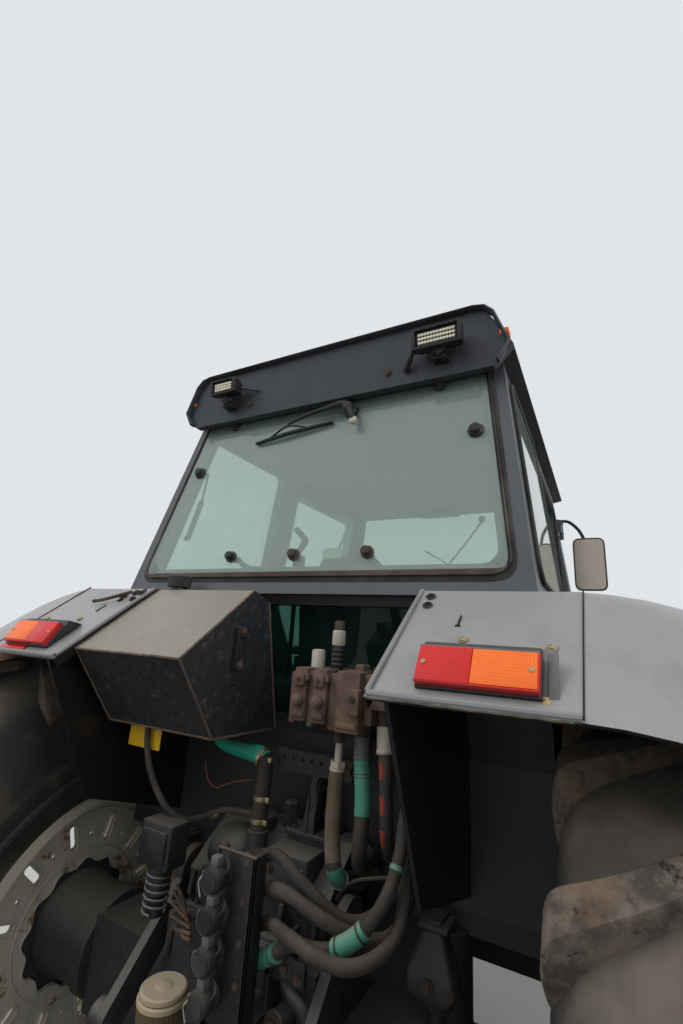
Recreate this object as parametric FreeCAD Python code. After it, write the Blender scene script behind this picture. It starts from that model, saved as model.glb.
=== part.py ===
import FreeCAD, Part
import math
import os

V = FreeCAD.Vector

# A farm tractor with a closed cab and a driven front axle, in millimetres.
# X is to the right, Y is forward and Z is up. The sizes below are measured from the ground
# under the rear axle's centre; the finished pieces are moved along Y at the end, so that the
# origin lies on the ground under the middle of the machine.

# Stance
WHEELBASE = 2740.0
REAR_TRACK = 2100.0
FRONT_TRACK = 2000.0

# Rear tyres and wheels
REAR_TYRE_R = 917.5
REAR_TYRE_W = 622.0
REAR_BEAD_R = 406.4
REAR_RIM_W = 545.0
REAR_DROP_R = 372.0
REAR_DISC_SET = -180.0
REAR_HUB_HOLE_R = 184.0
REAR_HUB_FLANGE_R = 225.0
REAR_HUB_DRUM_R = 140.0
REAR_LUGS = 20
REAR_LUG_H = 50.0
REAR_SLOTS = 12

# Front tyres and wheels
FRONT_TYRE_R = 720.0
FRONT_TYRE_W = 467.0
FRONT_BEAD_R = 330.2
FRONT_RIM_W = 430.0
FRONT_DROP_R = 300.0
FRONT_DISC_SET = -50.0
FRONT_HUB_HOLE_R = 120.0
FRONT_HUB_FLANGE_R = 165.0
FRONT_HUB_DRUM_R = 110.0
FRONT_LUGS = 19
FRONT_LUG_H = 42.0
FRONT_SLOTS = 10

# A tyre's lugs from the middle line outwards, as shares of the tyre's half width (top, ground and
# trail, which is the set-back round the tyre) and in lug heights (the drops below the tyre's radius
# and half the lug's thickness)
LUG_STATIONS = [
    # top, ground, top drop, ground drop, half thickness, trail
    (0.000, 0.000, 0.00, 1.05, 0.45, 0.00),
    (0.930, 0.860, 0.55, 1.80, 0.58, 0.66),
    (0.965, 0.965, 3.30, 3.30, 0.60, 0.72),
]

TYRE_WALL = 32.0

# Wheels in general
RIM_T = 12.0
FLANGE_H = 25.0
BEAD_FIT = 0.3
DISC_T = 14.0
WHEEL_SHAFT_R = 45.0
SLOT_W = 34.0
SLOT_EDGE = 68.0
HUB_FLANGE_T = 24.0
HUB_CAP_T = 40.0
RUNNING_FIT = 0.05
WHEEL_GAP = 6.0

# How near a piece lies to the face that carries it
SEAT = 0.3

# Driveline: half-widths, lengths along Y and heights along Z
HOUSING_HW = 230.0
HOUSING_Y = (-220.0, 450.0)
HOUSING_Z = (600.0, 1200.0)
TRUMPET_H = 125.0
TRUMPET_D = 115.0
TRUMPET_END_R = 150.0
TRUMPET_END_X = 690.0
GEARBOX_HW = 200.0
GEARBOX_Y1 = 1550.0
TANKS_Y1 = 1542.0
GEARBOX_Z = (640.0, 1170.0)
ENGINE_HW = 240.0
ENGINE_Y = (1640.0, WHEELBASE - 180.0)
ENGINE_Z = (740.0, 1560.0)
SUMP_Y1 = WHEELBASE - 320.0
SUMP_TOP_Z = 1020.0
BELL_TOP_Z = 1230.0
FRAME_HW = 225.0
FRAME_Y1 = WHEELBASE + 700.0
FRAME_Z = (880.0, 1130.0)

# Front axle and steering
KING_PIN_X = 700.0
KING_PIN_R = 25.0
KING_BOSS_R = 60.0
KING_BOSS_H = 110.0
FORK_GAP = 5.0
FORK_T = 30.0
FORK_WALL_X = (75.0, 105.0)
HUB_DRUM_R = 125.0
HUB_DRUM_X = 165.0
STEER_ARM = 170.0
STEER_ROD_R = 18.0
STEER_EYE_R = 32.0
STEER_EYE_T = 30.0
STEER_TUBE_R = 38.0
STEER_TUBE_HL = 180.0
BEAM_D = 60.0
BEAM_H = 75.0

# Three-point linkage
LIFT_COVER_Y1 = 38.0
ROCKSHAFT_Y = -120.0
ROCKSHAFT_Z = 1265.0
ROCKSHAFT_R = 32.0
LIFT_ARM_X = 252.0
LIFT_ARM_T = 25.0
LIFT_ARM_L = 330.0
LIFT_ARM_DROP = 47.0
LIFT_PIN_R = 14.0
LINK_PIVOT_Y = -60.0
LINK_PIVOT_Z = 600.0
LINK_PIVOT_R = 18.0
LINK_X = 412.5
LINK_T = 30.0
LINK_H = 62.0
LINK_L = 900.0
LINK_DROP = 13.0
LINK_BALL_BORE_R = 14.35
LINK_BALL_R = 38.0
LIFT_ROD_AT = 430.0
LIFT_ROD_R = 16.0
LIFT_ROD_EYE_R = 30.0
LIFT_ROD_EYE_T = 24.0

# Rear attachments
PTO_R = 17.4
PTO_NECK_R = 24.0
PTO_NECK_OUT = 4.0
PTO_Z = 700.0
PTO_OUT = 100.0
DRAWBAR_HW = 40.0
DRAWBAR_T = 32.0
DRAWBAR_Z = 440.0
DRAWBAR_END = -830.0
DRAWBAR_HOLE_R = 16.0
TOP_LINK_BORE_R = 12.9
TOP_LINK_Z = 1010.0

# Cab
CAB_HW = 715.0
CAB_TOP_HW = 622.0
CAB_FLOOR_Z = 1300.0
CAB_FLOOR_T = 50.0
CAB_WAIST_Z = 2050.0
CAB_TOP_Z = 2800.0
CAB_WALL = 45.0
CAB_FRONT_Y = 1610.0
CAB_FRONT_TOP_Y = 1520.0
REAR_FOOT_Y = -145.0
REAR_HEAD_Y = 22.0
PANEL_STEP_Y = -65.0
PANEL_FOOT_Y = 45.0
PANEL_FOOT_Z = 1640.0
REAR_GLASS_HW = (652.0, 570.0)
REAR_GLASS_Z = (CAB_WAIST_Z + 58.0, CAB_TOP_Z - 22.0)
SIDE_GLASS_TOP_Z = CAB_TOP_Z - 65.0
SCREEN_FOOT_Z = 1880.0
FRONT_BEND_Z = 1750.0
GLASS_T = 6.0
GLASS_LAND = 25.0
WINDOW_ROUND = 40.0
GLASS_ROUND = 48.0
QUARTER_ROUND = 30.0
QUARTER_LAND = 18.0
DOOR_ROUND = 45.0
DOOR_GAP = 9.0
DOOR_FRONT_GAP = 15.0
DOOR_T = 36.0
DOOR_RAIL = 55.0
DOOR_EDGE_Y = 1440.0
HINGE_Y = 1453.0
HINGE_OUT = 16.0
HINGE_ZS = (1470.0, CAB_TOP_Z - 210.0)
HINGE_PIN_R = 6.0
HINGE_BARREL_R = 11.0
HINGE_BARREL_L = 60.0

# Seat and console: the heights of the cushion's foot, its top and the back's head, and the wheel's hub
SEAT_Z = (1560.0, 1690.0, 2240.0)
CONSOLE_HW = 230.0
STEER_HUB = V(0, 1215, 1985)
STEER_FOOT = V(0, 1420, 1760)
STEER_WHEEL_R = 205.0

# Roof
ROOF_TOP_Z = CAB_TOP_Z + 167.0
ROOF_TOP_HW = 582.0
ROOF_EAVE_HW = 665.0
ROOF_EAVE_Z = CAB_TOP_Z + 10.0
ROOF_REAR_Y = -17.0
ROOF_FRONT_Y = 1640.0
ROOF_ROUND = 50.0
VISOR_T = 30.0
VISOR_FOOT_Z = CAB_TOP_Z - 55.0

# Fenders
FENDER_IN_X = 462.0
FENDER_SEAM_X = 812.0
FENDER_WALL_X = 498.0
FENDER_FOLD = 26.0
FENDER_T = 8.0
FENDER_TOP_Z = CAB_WAIST_Z - SEAT
FENDER_LINE = [(-535.0, 1828.0), (-240.0, FENDER_TOP_Z), (330.0, FENDER_TOP_Z), (760.0, 1770.0),
               (985.0, 1290.0)]
EXT_DROPS = [(0.0, 0.0), (240.0, 40.0), (498.0, 150.0)]

# Oil tank: side outline as (y, z), and its two sides
TANK_X = (-455.0, -54.0)
TANK_LINE = [(-484.0, 1855.0), (-227.0, 2049.0), (-153.0, 2022.0), (-63.0, 1656.0), (-332.0, 1658.0)]

# Valve block, section by section: left and right side, foot and head, and how far it stands out
VALVE_Y = (-250.0, -120.0)
VALVE_SECTIONS = [
    # left, right, foot, head, out
    (115.0, 134.0, 1713.0, 1838.0, 0.0),
    (134.0, 172.0, 1722.0, 1850.0, 14.0),
    (172.0, 190.0, 1710.0, 1842.0, 4.0),
    (190.0, 232.0, 1722.0, 1850.0, 16.0),
    (232.0, 256.0, 1710.0, 1842.0, 4.0),
    (256.0, 322.0, 1710.0, 1850.0, 12.0),
    (322.0, 345.0, 1730.0, 1846.0, -10.0),
]
VALVE_SHELF_Z = 1710.0

# Hydraulic couplers: their heights on the upright plate
COUPLER_ROWS = [1402.0, 1328.0, 1254.0, 1180.0]
COUPLER_X = 55.0
COUPLER_PLATE = (32.0, 137.0)
COUPLER_PLATE_Y = -360.0

# Hoses and pipes behind the cab, each by its radius, its bends' radius and its corners
HOSE_R = 13.5
HOSES = [
    # radius, bend, corners as (x, y, z)
    (HOSE_R, 45.0, [(55, -299.7, 1402), (55, -252, 1402), (135, -292, 1438), (185, -326, 1450),
        (250, -336, 1418), (338, -288, 1346), (393, -212, 1373), (430, -130, 1450), (425, -110, 1540),
        (302, -142, 1640), (302, -142, 1709.7)]),
    (HOSE_R, 45.0, [(55, -299.7, 1328), (55, -252, 1328), (130, -292, 1370), (210, -350, 1406),
        (300, -366, 1391), (345, -326, 1358), (425, -266, 1335), (442, -190, 1410), (440, -170, 1580),
        (425, -60, 1690), (330, -60, 1790), (330, -119.7, 1790)]),
    (HOSE_R, 45.0, [(55, -299.7, 1254), (55, -252, 1254), (142, -288, 1308), (205, -352, 1336),
        (268, -388, 1347), (330, -401, 1343), (400, -392, 1341), (452, -330, 1368), (458, -290, 1420),
        (447, -250, 1480), (430, -203, 1560), (415, -180, 1640), (408, -140, 1748),
        (345.3, -140, 1748)]),
    (HOSE_R, 45.0, [(55, -299.7, 1180), (55, -252, 1180), (130, -292, 1236), (198, -325, 1284),
        (238, -340, 1317), (285, -350, 1323), (338, -356, 1339), (395, -354, 1380), (432, -328, 1432),
        (446, -288, 1500), (438, -258, 1555), (447, -205, 1660), (430, -140, 1805),
        (345.3, -140, 1805)]),
    (18.0, 40.0, [(238, -190, 1709.7), (238, -190, 1650), (233, -194, 1560), (240, -205, 1450),
        (262, -218, 1392), (256, -130, 1362), (262, -50, 1332), (215.3, -50, 1332)]),
    (18.0, 40.0, [(300, -190, 1709.7), (300, -190, 1650), (320, -206, 1550), (316, -216, 1450),
        (292, -150, 1398), (275, -2, 1380), (215.3, -2, 1380)]),
    (15.5, 40.0, [(362, -200, 1764.7), (362, -200, 1715), (386, -228, 1570), (390, -230, 1490),
        (370, -120, 1415), (285, 21, 1330), (215.3, 21, 1330)]),
    (21.5, 40.0, [(-240, -110, 1655.7), (-240, -110, 1600), (-120, -116, 1592), (-26, -121, 1592),
        (-38, -121, 1480), (-38, -121, 1405.3)]),
]

# Hood
HOOD_HW = 345.0
HOOD_T = 12.0
HOOD_Y = (1640.0, WHEELBASE + 740.0)
HOOD_TOP_Z = (1900.0, 1730.0)
HOOD_FOOT_Z = 1180.0
HOOD_HINGE_Y = 1700.0
HOOD_HINGE_Z = 1835.0
HOOD_PIN_R = 10.0
HOOD_LUG_X = (220.0, 234.0)
HOOD_ROUND = 60.0
GRILLE_BARS = 8
GRILLE_PITCH = 21.0
GRILLE_BAR_T = 9.0

# Steps, tanks and what stands under the hood
STEP_X = (640.0, 860.0)
STEP_Y = (1080.0, 1410.0)
STEP_ZS = (570.0, 800.0, 1030.0)
FUEL_TANK_OUT_X = 600.0
FUEL_TANK_Y0 = 700.0
FUEL_TANK_Z = (660.0, 1180.0)
BATTERY_OUT_X = 590.0
BATTERY_Y0 = 1050.0
BATTERY_Z = (700.0, 1120.0)
RADIATOR_TOP_Z = 1620.0

# Exhaust
EXHAUST_X = 480.0
EXHAUST_Y = CAB_FRONT_Y + 130.0
EXHAUST_FOOT_Z = 1110.0
EXHAUST_TOP_Z = CAB_TOP_Z + 130.0

# Front weights
WEIGHT_COUNT = 10
WEIGHT_T = 58.0
WEIGHT_PITCH = 62.0
WEIGHT_Y = (FRAME_Y1 + 60.0, FRAME_Y1 + 400.0)
WEIGHT_Z = (700.0, 1180.0)


def block(xs, ys, zs):
    """A box between two limits on each axis."""
    return Part.makeBox(xs[1] - xs[0], ys[1] - ys[0], zs[1] - zs[0], V(xs[0], ys[0], zs[0]))


def rod(radius, start, end):
    """A round bar from one point to another."""
    axis = end - start
    return Part.makeCylinder(radius, axis.Length, start, axis)


def tube_x(outer_r, inner_r, xs, y, z):
    """A ring or tube whose axis lies along X."""
    outer = rod(outer_r, V(xs[0], y, z), V(xs[1], y, z))
    return outer.cut(rod(inner_r, V(xs[0] - 1, y, z), V(xs[1] + 1, y, z)))


def outline(points):
    """A closed face from three-dimensional corner points."""
    return Part.Face(Part.makePolygon(points + [points[0]]))


def slab_yz(points, xs):
    """A plate drawn as (y, z) corners, between two values of x."""
    return outline([V(xs[0], y, z) for y, z in points]).extrude(V(xs[1] - xs[0], 0, 0))


def slab_xz(points, ys):
    """A plate drawn as (x, z) corners, between two values of y."""
    return outline([V(x, ys[0], z) for x, z in points]).extrude(V(0, ys[1] - ys[0], 0))


def soft(shape, radius, axis):
    """A straight-sided piece with its edges along an axis rounded."""
    edges = []
    for edge in shape.Edges:
        along = edge.tangentAt(edge.FirstParameter)
        if abs(along.dot(axis)) > 0.99:
            edges.append(edge)
    return shape.makeFillet(radius, edges)


def pipe(points, radius, bend):
    """A round pipe of straight runs, with a tangent arc at each corner."""
    line = [V(*p) for p in points]
    edges = []
    start = line[0]
    for before, corner, after in zip(line, line[1:], line[2:]):
        back = (before - corner).normalize()
        ahead = (after - corner).normalize()
        half = back.getAngle(ahead) / 2
        shortest = min((before - corner).Length, (after - corner).Length)
        reach = min(bend / math.tan(half), 0.45 * shortest)
        first = corner + back * reach
        last = corner + ahead * reach
        centre = corner + (back + ahead).normalize() * (reach / math.cos(half))
        middle = centre + (corner - centre).normalize() * (reach * math.tan(half))
        edges.append(Part.LineSegment(start, first).toShape())
        edges.append(Part.Arc(first, middle, last).toShape())
        start = last
    edges.append(Part.LineSegment(start, line[-1]).toShape())
    ring = Part.Wire(Part.makeCircle(radius, line[0], line[1] - line[0]))
    return Part.Wire(edges).makePipeShell([ring], True, False)


def facets(triangles):
    """A closed solid from triangles of points."""
    numbers = {}
    points = []
    corners = []
    for triangle in triangles:
        row = []
        for p in triangle:
            key = (round(p.x, 3), round(p.y, 3), round(p.z, 3))
            if key not in numbers:
                numbers[key] = len(points)
                points.append(p)
            row.append(numbers[key])
        corners.append(tuple(row))
    skin = Part.Shape()
    skin.makeShapeFromMesh((points, corners), 0.01)
    solid = Part.makeSolid(skin)
    if solid.Volume < 0:
        solid.reverse()
    return solid


def stitch(first, second):
    """The triangles between two rows of points."""
    i, j = 0, 0
    triangles = []
    while i < len(first) - 1 or j < len(second) - 1:
        if j * (len(first) - 1) >= i * (len(second) - 1) and i < len(first) - 1:
            triangles.append((first[i], first[i + 1], second[j]))
            i += 1
        else:
            triangles.append((first[i], second[j + 1], second[j]))
            j += 1
    return triangles


def join(shapes):
    """Touching or overlapping solids made into one."""
    return shapes[0].multiFuse(shapes[1:]).removeSplitter()


def mirrored(shape):
    """The same piece on the other side of the machine."""
    return shape.mirror(V(0, 0, 0), V(1, 0, 0))


def pair(shape):
    """A right-hand piece and its mirror image, as solids that stay apart."""
    return Part.makeCompound([shape, mirrored(shape)])


def spun(points, turn=360):
    """A body of revolution about the X axis from (x, radius) corners."""
    return outline([V(x, 0, r) for x, r in points]).revolve(V(0, 0, 0), V(1, 0, 0), turn)


def inset(points, distance):
    """A closed outline drawn in by a distance, as corners."""
    face = outline([V(a, b, 0) for a, b in points]).makeOffset2D(-distance, 2)
    wire = face.OuterWire
    return [(v.Point.x, v.Point.y) for v in wire.OrderedVertexes]


def strip(points, thickness):
    """The closed outline of a bent sheet: its line, then the line at its thickness below."""
    lower = []
    for i, (y, z) in enumerate(points):
        normals = []
        for a, b in ((i - 1, i), (i, i + 1)):
            if a < 0 or b >= len(points):
                continue
            dy = points[b][0] - points[a][0]
            dz = points[b][1] - points[a][1]
            length = math.hypot(dy, dz)
            normals.append((dz / length, -dy / length))
        ny = sum(n[0] for n in normals) / len(normals)
        nz = sum(n[1] for n in normals) / len(normals)
        square = ny * ny + nz * nz
        lower.append((y + thickness * ny / square, z + thickness * nz / square))
    return points + lower[::-1]


# Tyres and wheels, built about the X axis for the right side

def on_wheel(x, r, angle):
    """The point at a radius and an angle from the top towards the front."""
    return V(x, r * math.sin(angle), r * math.cos(angle))


def tread_patch(outer_r, half_w, lug_h, side, middle, pitch):
    """One lug and the ground up to the next, with the row of points at their feet."""
    tops = []
    ground = []
    for top, low, top_drop, low_drop, half_t, trail in LUG_STATIONS:
        centre = middle - trail * half_w / outer_r
        half = half_t * lug_h / outer_r
        high_r = (outer_r - top_drop * lug_h) / math.cos(half)
        low_r = (outer_r - low_drop * lug_h) / math.cos(half)
        angles = (centre - half, centre + half, centre - half + pitch)
        tops.append([on_wheel(side * top * half_w, high_r, a) for a in angles[:2]])
        ground.append([on_wheel(side * low * half_w, low_r, a) for a in angles])
    tops[2] = ground[2][:2]
    half = LUG_STATIONS[0][4] * lug_h / outer_r
    nose_r = (outer_r - LUG_STATIONS[0][3] * lug_h) / math.cos(half)
    facing = [on_wheel(0, nose_r, middle + pitch / 2 + turn) for turn in (-half, half)]
    triangles = stitch(tops[0], ground[0][:2]) + stitch(tops[0], tops[1]) + stitch(tops[1], tops[2])
    for k in (0, 1):
        triangles += stitch([tops[0][k], tops[1][k]], [ground[0][k], ground[1][k]])
        triangles.append((tops[1][k], ground[1][k], ground[2][k]))
    triangles += stitch([ground[0][1]] + facing + [ground[0][2]], ground[1][1:])
    triangles += stitch(ground[1][1:], ground[2][1:])
    return triangles, ground[2]


def tyre(outer_r, width, bead_r, rim_w, lugs, lug_h):
    """A tyre with two staggered rows of lugs, in flat facets, open towards the rim."""
    half_w = width / 2
    flange_r = bead_r + FLANGE_H + 6
    wall_r = flange_r + 0.50 * (outer_r - flange_r)
    heel_x = rim_w / 2 - RIM_T - BEAD_FIT
    toe_x = heel_x - 38
    pitch = 2 * math.pi / lugs
    fine = math.cos(pitch / 4)
    coarse = math.cos(pitch / 2)
    rings = [(half_w, wall_r / fine), (heel_x, flange_r / fine), (heel_x, (bead_r + BEAD_FIT) / fine)]
    inner = [(toe_x, (bead_r + BEAD_FIT) / coarse), (half_w - TYRE_WALL, wall_r),
             (0.72 * half_w, outer_r - 2.5 * lug_h)]
    triangles = []
    for i in range(lugs):
        edges = []
        for side, middle in ((1, i * pitch), (-1, (i + 0.5) * pitch)):
            patch, row = tread_patch(outer_r, half_w, lug_h, side, middle, pitch)
            triangles += patch
            start = middle - LUG_STATIONS[2][5] * half_w / outer_r - pitch / 4
            for x, r in rings:
                following = [on_wheel(side * x, r, start + step * pitch / 2) for step in (0, 1, 2)]
                triangles += stitch(row, following)
                row = following
            for x, r in inner:
                following = [on_wheel(side * x, r, start + step * pitch) for step in (0, 1)]
                triangles += stitch(row, following)
                row = following
            edges.append(row)
        triangles.append((edges[0][0], edges[0][1], edges[1][0]))
        triangles.append((edges[1][0], edges[0][1], edges[1][1]))
    return facets(triangles)


def rim(bead_r, drop_r, rim_w):
    """A rim with its flanges, bead seats and well."""
    edge = rim_w / 2
    flange_r = bead_r + FLANGE_H
    half = [
        (edge - 92, drop_r),
        (edge - 58, bead_r),
        (edge - RIM_T, bead_r),
        (edge - RIM_T, flange_r),
        (edge, flange_r),
        (edge, bead_r - RIM_T),
        (edge - 52, bead_r - RIM_T),
        (edge - 86, drop_r - RIM_T),
    ]
    top = half[:5]
    under = half[5:]
    loop = [(-x, r) for x, r in top[::-1]] + top + under + [(-x, r) for x, r in under[::-1]]
    return spun(loop)


def disc_slots(inner_r, outer_r, width, count, xs):
    """Long holes that point at the hub, spaced round a wheel disc."""
    slots = []
    for i in range(count):
        hole = block(xs, (-width / 2, width / 2), (inner_r, outer_r))
        for r in (inner_r, outer_r):
            hole = hole.fuse(rod(width / 2, V(xs[0], 0, r), V(xs[1], 0, r)))
        hole.rotate(V(0, 0, 0), V(1, 0, 0), (i + 0.5) * 360 / count)
        slots.append(hole)
    return slots


def wheel(bead_r, drop_r, rim_w, disc_set, hub_hole_r, flange_r, drum_r, drum_in, shaft_in, slots):
    """A rim with its disc, hub flange, drum and the shaft that runs in the axle's bore."""
    disc_x = (disc_set, disc_set + DISC_T)
    disc = tube_x(drop_r - RIM_T / 2, hub_hole_r, disc_x, 0, 0)
    cut_x = (disc_x[0] - 1, disc_x[1] + 1)
    for slot in disc_slots(hub_hole_r + SLOT_EDGE, drop_r - SLOT_EDGE, SLOT_W, slots, cut_x):
        disc = disc.cut(slot)
    flange_x = disc_x[1] + HUB_FLANGE_T
    flange = rod(flange_r, V(disc_x[1], 0, 0), V(flange_x, 0, 0))
    drum = rod(drum_r, V(drum_in, 0, 0), V(disc_x[1], 0, 0))
    cap = rod(drum_r * 0.7, V(flange_x, 0, 0), V(flange_x + HUB_CAP_T, 0, 0))
    shaft = rod(WHEEL_SHAFT_R, V(shaft_in, 0, 0), V(drum_in, 0, 0))
    return join([rim(bead_r, drop_r, rim_w), disc, flange, drum, cap, shaft])


def rear_wheel_pieces():
    """The right rear wheel and tyre at their place."""
    place = V(REAR_TRACK / 2, 0, REAR_TYRE_R)
    drum_in = TRUMPET_END_X + WHEEL_GAP - REAR_TRACK / 2
    shaft_in = drum_in - WHEEL_GAP - 90
    body = wheel(REAR_BEAD_R, REAR_DROP_R, REAR_RIM_W, REAR_DISC_SET, REAR_HUB_HOLE_R,
                 REAR_HUB_FLANGE_R, REAR_HUB_DRUM_R, drum_in, shaft_in, REAR_SLOTS)
    cover = tyre(REAR_TYRE_R, REAR_TYRE_W, REAR_BEAD_R, REAR_RIM_W, REAR_LUGS, REAR_LUG_H)
    body.translate(place)
    cover.translate(place)
    return body, cover


def front_wheel_pieces():
    """The right front wheel and tyre at their place."""
    place = V(FRONT_TRACK / 2, WHEELBASE, FRONT_TYRE_R)
    drum_in = KING_PIN_X + HUB_DRUM_X + WHEEL_GAP - FRONT_TRACK / 2
    shaft_in = drum_in - WHEEL_GAP - 60
    body = wheel(FRONT_BEAD_R, FRONT_DROP_R, FRONT_RIM_W, FRONT_DISC_SET, FRONT_HUB_HOLE_R,
                 FRONT_HUB_FLANGE_R, FRONT_HUB_DRUM_R, drum_in, shaft_in, FRONT_SLOTS)
    cover = tyre(FRONT_TYRE_R, FRONT_TYRE_W, FRONT_BEAD_R, FRONT_RIM_W, FRONT_LUGS, FRONT_LUG_H)
    body.translate(place)
    cover.translate(place)
    return body, cover


# Driveline and frame

def rear_housing():
    """The rear transmission housing with its two axle trumpets and the linkage brackets."""
    centre_z = REAR_TYRE_R
    body = block((-HOUSING_HW, HOUSING_HW), HOUSING_Y, HOUSING_Z)
    pieces = [body]
    for side in (1, -1):
        x_in = side * (HOUSING_HW - 10)
        x_neck = side * (TRUMPET_END_X - 60)
        x_end = side * TRUMPET_END_X
        xs = tuple(sorted((x_in, x_neck)))
        pieces.append(block(xs, (-TRUMPET_D, TRUMPET_D), (centre_z - TRUMPET_H, centre_z + TRUMPET_H)))
        end = rod(TRUMPET_END_R, V(x_neck, 0, centre_z), V(x_end, 0, centre_z))
        pieces.append(end)
        for inner in (LINK_X - LINK_T / 2 - 5 - 25, LINK_X + LINK_T / 2 + 5):
            xs = tuple(sorted((side * inner, side * (inner + 25))))
            ear = [(-TRUMPET_D, centre_z - TRUMPET_H + 5), (20, centre_z - TRUMPET_H + 5),
                   (LINK_PIVOT_Y + 40, LINK_PIVOT_Z - 40), (LINK_PIVOT_Y - 40, LINK_PIVOT_Z - 40)]
            pieces.append(slab_yz(ear, xs))
        pin_x = (LINK_X - LINK_T / 2 - 20, LINK_X + LINK_T / 2 + 20)
        pieces.append(rod(LINK_PIVOT_R, V(side * pin_x[0], LINK_PIVOT_Y, LINK_PIVOT_Z),
                          V(side * pin_x[1], LINK_PIVOT_Y, LINK_PIVOT_Z)))
    for x in (-45, 25):
        ear = [(HOUSING_Y[0] - 90, TOP_LINK_Z - 30), (HOUSING_Y[0] - 90, TOP_LINK_Z + 30),
               (HOUSING_Y[0] + 5, TOP_LINK_Z + 80), (HOUSING_Y[0] + 5, TOP_LINK_Z - 80)]
        pieces.append(slab_yz(ear, (x, x + 20)))
    guard = slab_xz([(-130, PTO_Z + 60), (-110, PTO_Z + 130), (110, PTO_Z + 130), (130, PTO_Z + 60),
                     (118, PTO_Z + 60), (102, PTO_Z + 118), (-102, PTO_Z + 118), (-118, PTO_Z + 60)],
                    (HOUSING_Y[0] - 150, HOUSING_Y[0] + 5))
    pieces.append(guard)
    for side in (1, -1):
        xs = tuple(sorted((side * (DRAWBAR_HW + 5), side * (DRAWBAR_HW + 30))))
        pieces.append(block(xs, (-180, -60), (DRAWBAR_Z - 30, HOUSING_Z[0] + 5)))
    pieces.append(block((-DRAWBAR_HW - 30, DRAWBAR_HW + 30), (-180, -60), (DRAWBAR_Z - 50, DRAWBAR_Z)))
    whole = join(pieces)
    for side in (1, -1):
        bore_in = TRUMPET_END_X - 100
        whole = whole.cut(rod(WHEEL_SHAFT_R + RUNNING_FIT, V(side * bore_in, 0, centre_z),
                              V(side * (TRUMPET_END_X + 1), 0, centre_z)))
    bore_y = HOUSING_Y[0] - 60
    whole = whole.cut(rod(TOP_LINK_BORE_R, V(-60, bore_y, TOP_LINK_Z), V(60, bore_y, TOP_LINK_Z)))
    pto_y = HOUSING_Y[0]
    return whole.cut(rod(PTO_NECK_R + RUNNING_FIT, V(0, pto_y - 1, PTO_Z), V(0, pto_y + 60, PTO_Z)))


def pto_shaft():
    """The power take-off stub, turning in the housing's rear face."""
    face = HOUSING_Y[0]
    neck = rod(PTO_NECK_R, V(0, face + 59, PTO_Z), V(0, face - PTO_NECK_OUT, PTO_Z))
    return join([neck, rod(PTO_R, V(0, face, PTO_Z), V(0, face - PTO_OUT, PTO_Z))])


def lift_cover():
    """The hydraulic lift's cover on the housing, with the rockshaft's bores and the lug on top."""
    line = [(-150, HOUSING_Z[1]), (-175, 1290), (-120, 1340), (-30, 1400), (LIFT_COVER_Y1, 1400),
            (LIFT_COVER_Y1, HOUSING_Z[1])]
    body = slab_yz(line, (-215, 215))
    lug = slab_yz([(-70, 1340), (-70, 1540), (-45, 1560), (5, 1560), (30, 1540), (30, 1340)], (92, 110))
    lug = lug.cut(slab_yz([(-48, 1440), (-48, 1520), (8, 1520), (8, 1440)], (80, 120)))
    foot = block((70, 150), (-75, LIFT_COVER_Y1), (1330, 1410))
    port = rod(28, V(-38, -121, 1300), V(-38, -121, 1405))
    whole = join([body, lug, foot, port])
    return whole.cut(rod(ROCKSHAFT_R + RUNNING_FIT, V(-300, ROCKSHAFT_Y, ROCKSHAFT_Z),
                         V(300, ROCKSHAFT_Y, ROCKSHAFT_Z)))


def arm_end():
    """Where the lift arms' end pins lie at rest, as (y, z)."""
    drop = math.radians(LIFT_ARM_DROP)
    return ROCKSHAFT_Y - LIFT_ARM_L * math.cos(drop), ROCKSHAFT_Z - LIFT_ARM_L * math.sin(drop)


def link_point(distance):
    """The point on a lower link at a distance from its pivot at rest, as (y, z)."""
    drop = math.radians(LINK_DROP)
    return LINK_PIVOT_Y - distance * math.cos(drop), LINK_PIVOT_Z - distance * math.sin(drop)


def bar_yz(start, end, height, xs):
    """A flat bar between two (y, z) points with round ends."""
    dy = end[0] - start[0]
    dz = end[1] - start[1]
    length = math.hypot(dy, dz)
    ny = -dz / length * height / 2
    nz = dy / length * height / 2
    corners = [(start[0] + ny, start[1] + nz), (end[0] + ny, end[1] + nz),
               (end[0] - ny, end[1] - nz), (start[0] - ny, start[1] - nz)]
    pieces = [slab_yz(corners, xs)]
    for y, z in (start, end):
        pieces.append(rod(height / 2, V(xs[0], y, z), V(xs[1], y, z)))
    return join(pieces)


def lift_arms():
    """The rockshaft with both lift arms and their end pins."""
    y, z = arm_end()
    shaft_y, shaft_z = ROCKSHAFT_Y, ROCKSHAFT_Z
    pieces = [rod(ROCKSHAFT_R, V(-LIFT_ARM_X, shaft_y, shaft_z), V(LIFT_ARM_X, shaft_y, shaft_z))]
    for side in (1, -1):
        xs = tuple(sorted((side * (LIFT_ARM_X - LIFT_ARM_T / 2), side * (LIFT_ARM_X + LIFT_ARM_T / 2))))
        pieces.append(bar_yz((ROCKSHAFT_Y, ROCKSHAFT_Z), (y, z), 70, xs))
        pieces.append(rod(58, V(xs[0], ROCKSHAFT_Y, ROCKSHAFT_Z), V(xs[1], ROCKSHAFT_Y, ROCKSHAFT_Z)))
        tip = LIFT_ARM_X + LIFT_ARM_T / 2 + 5 + LIFT_ROD_EYE_T + 8
        pieces.append(rod(LIFT_PIN_R, V(side * LIFT_ARM_X, y, z), V(side * tip, y, z)))
    return join(pieces)


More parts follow.
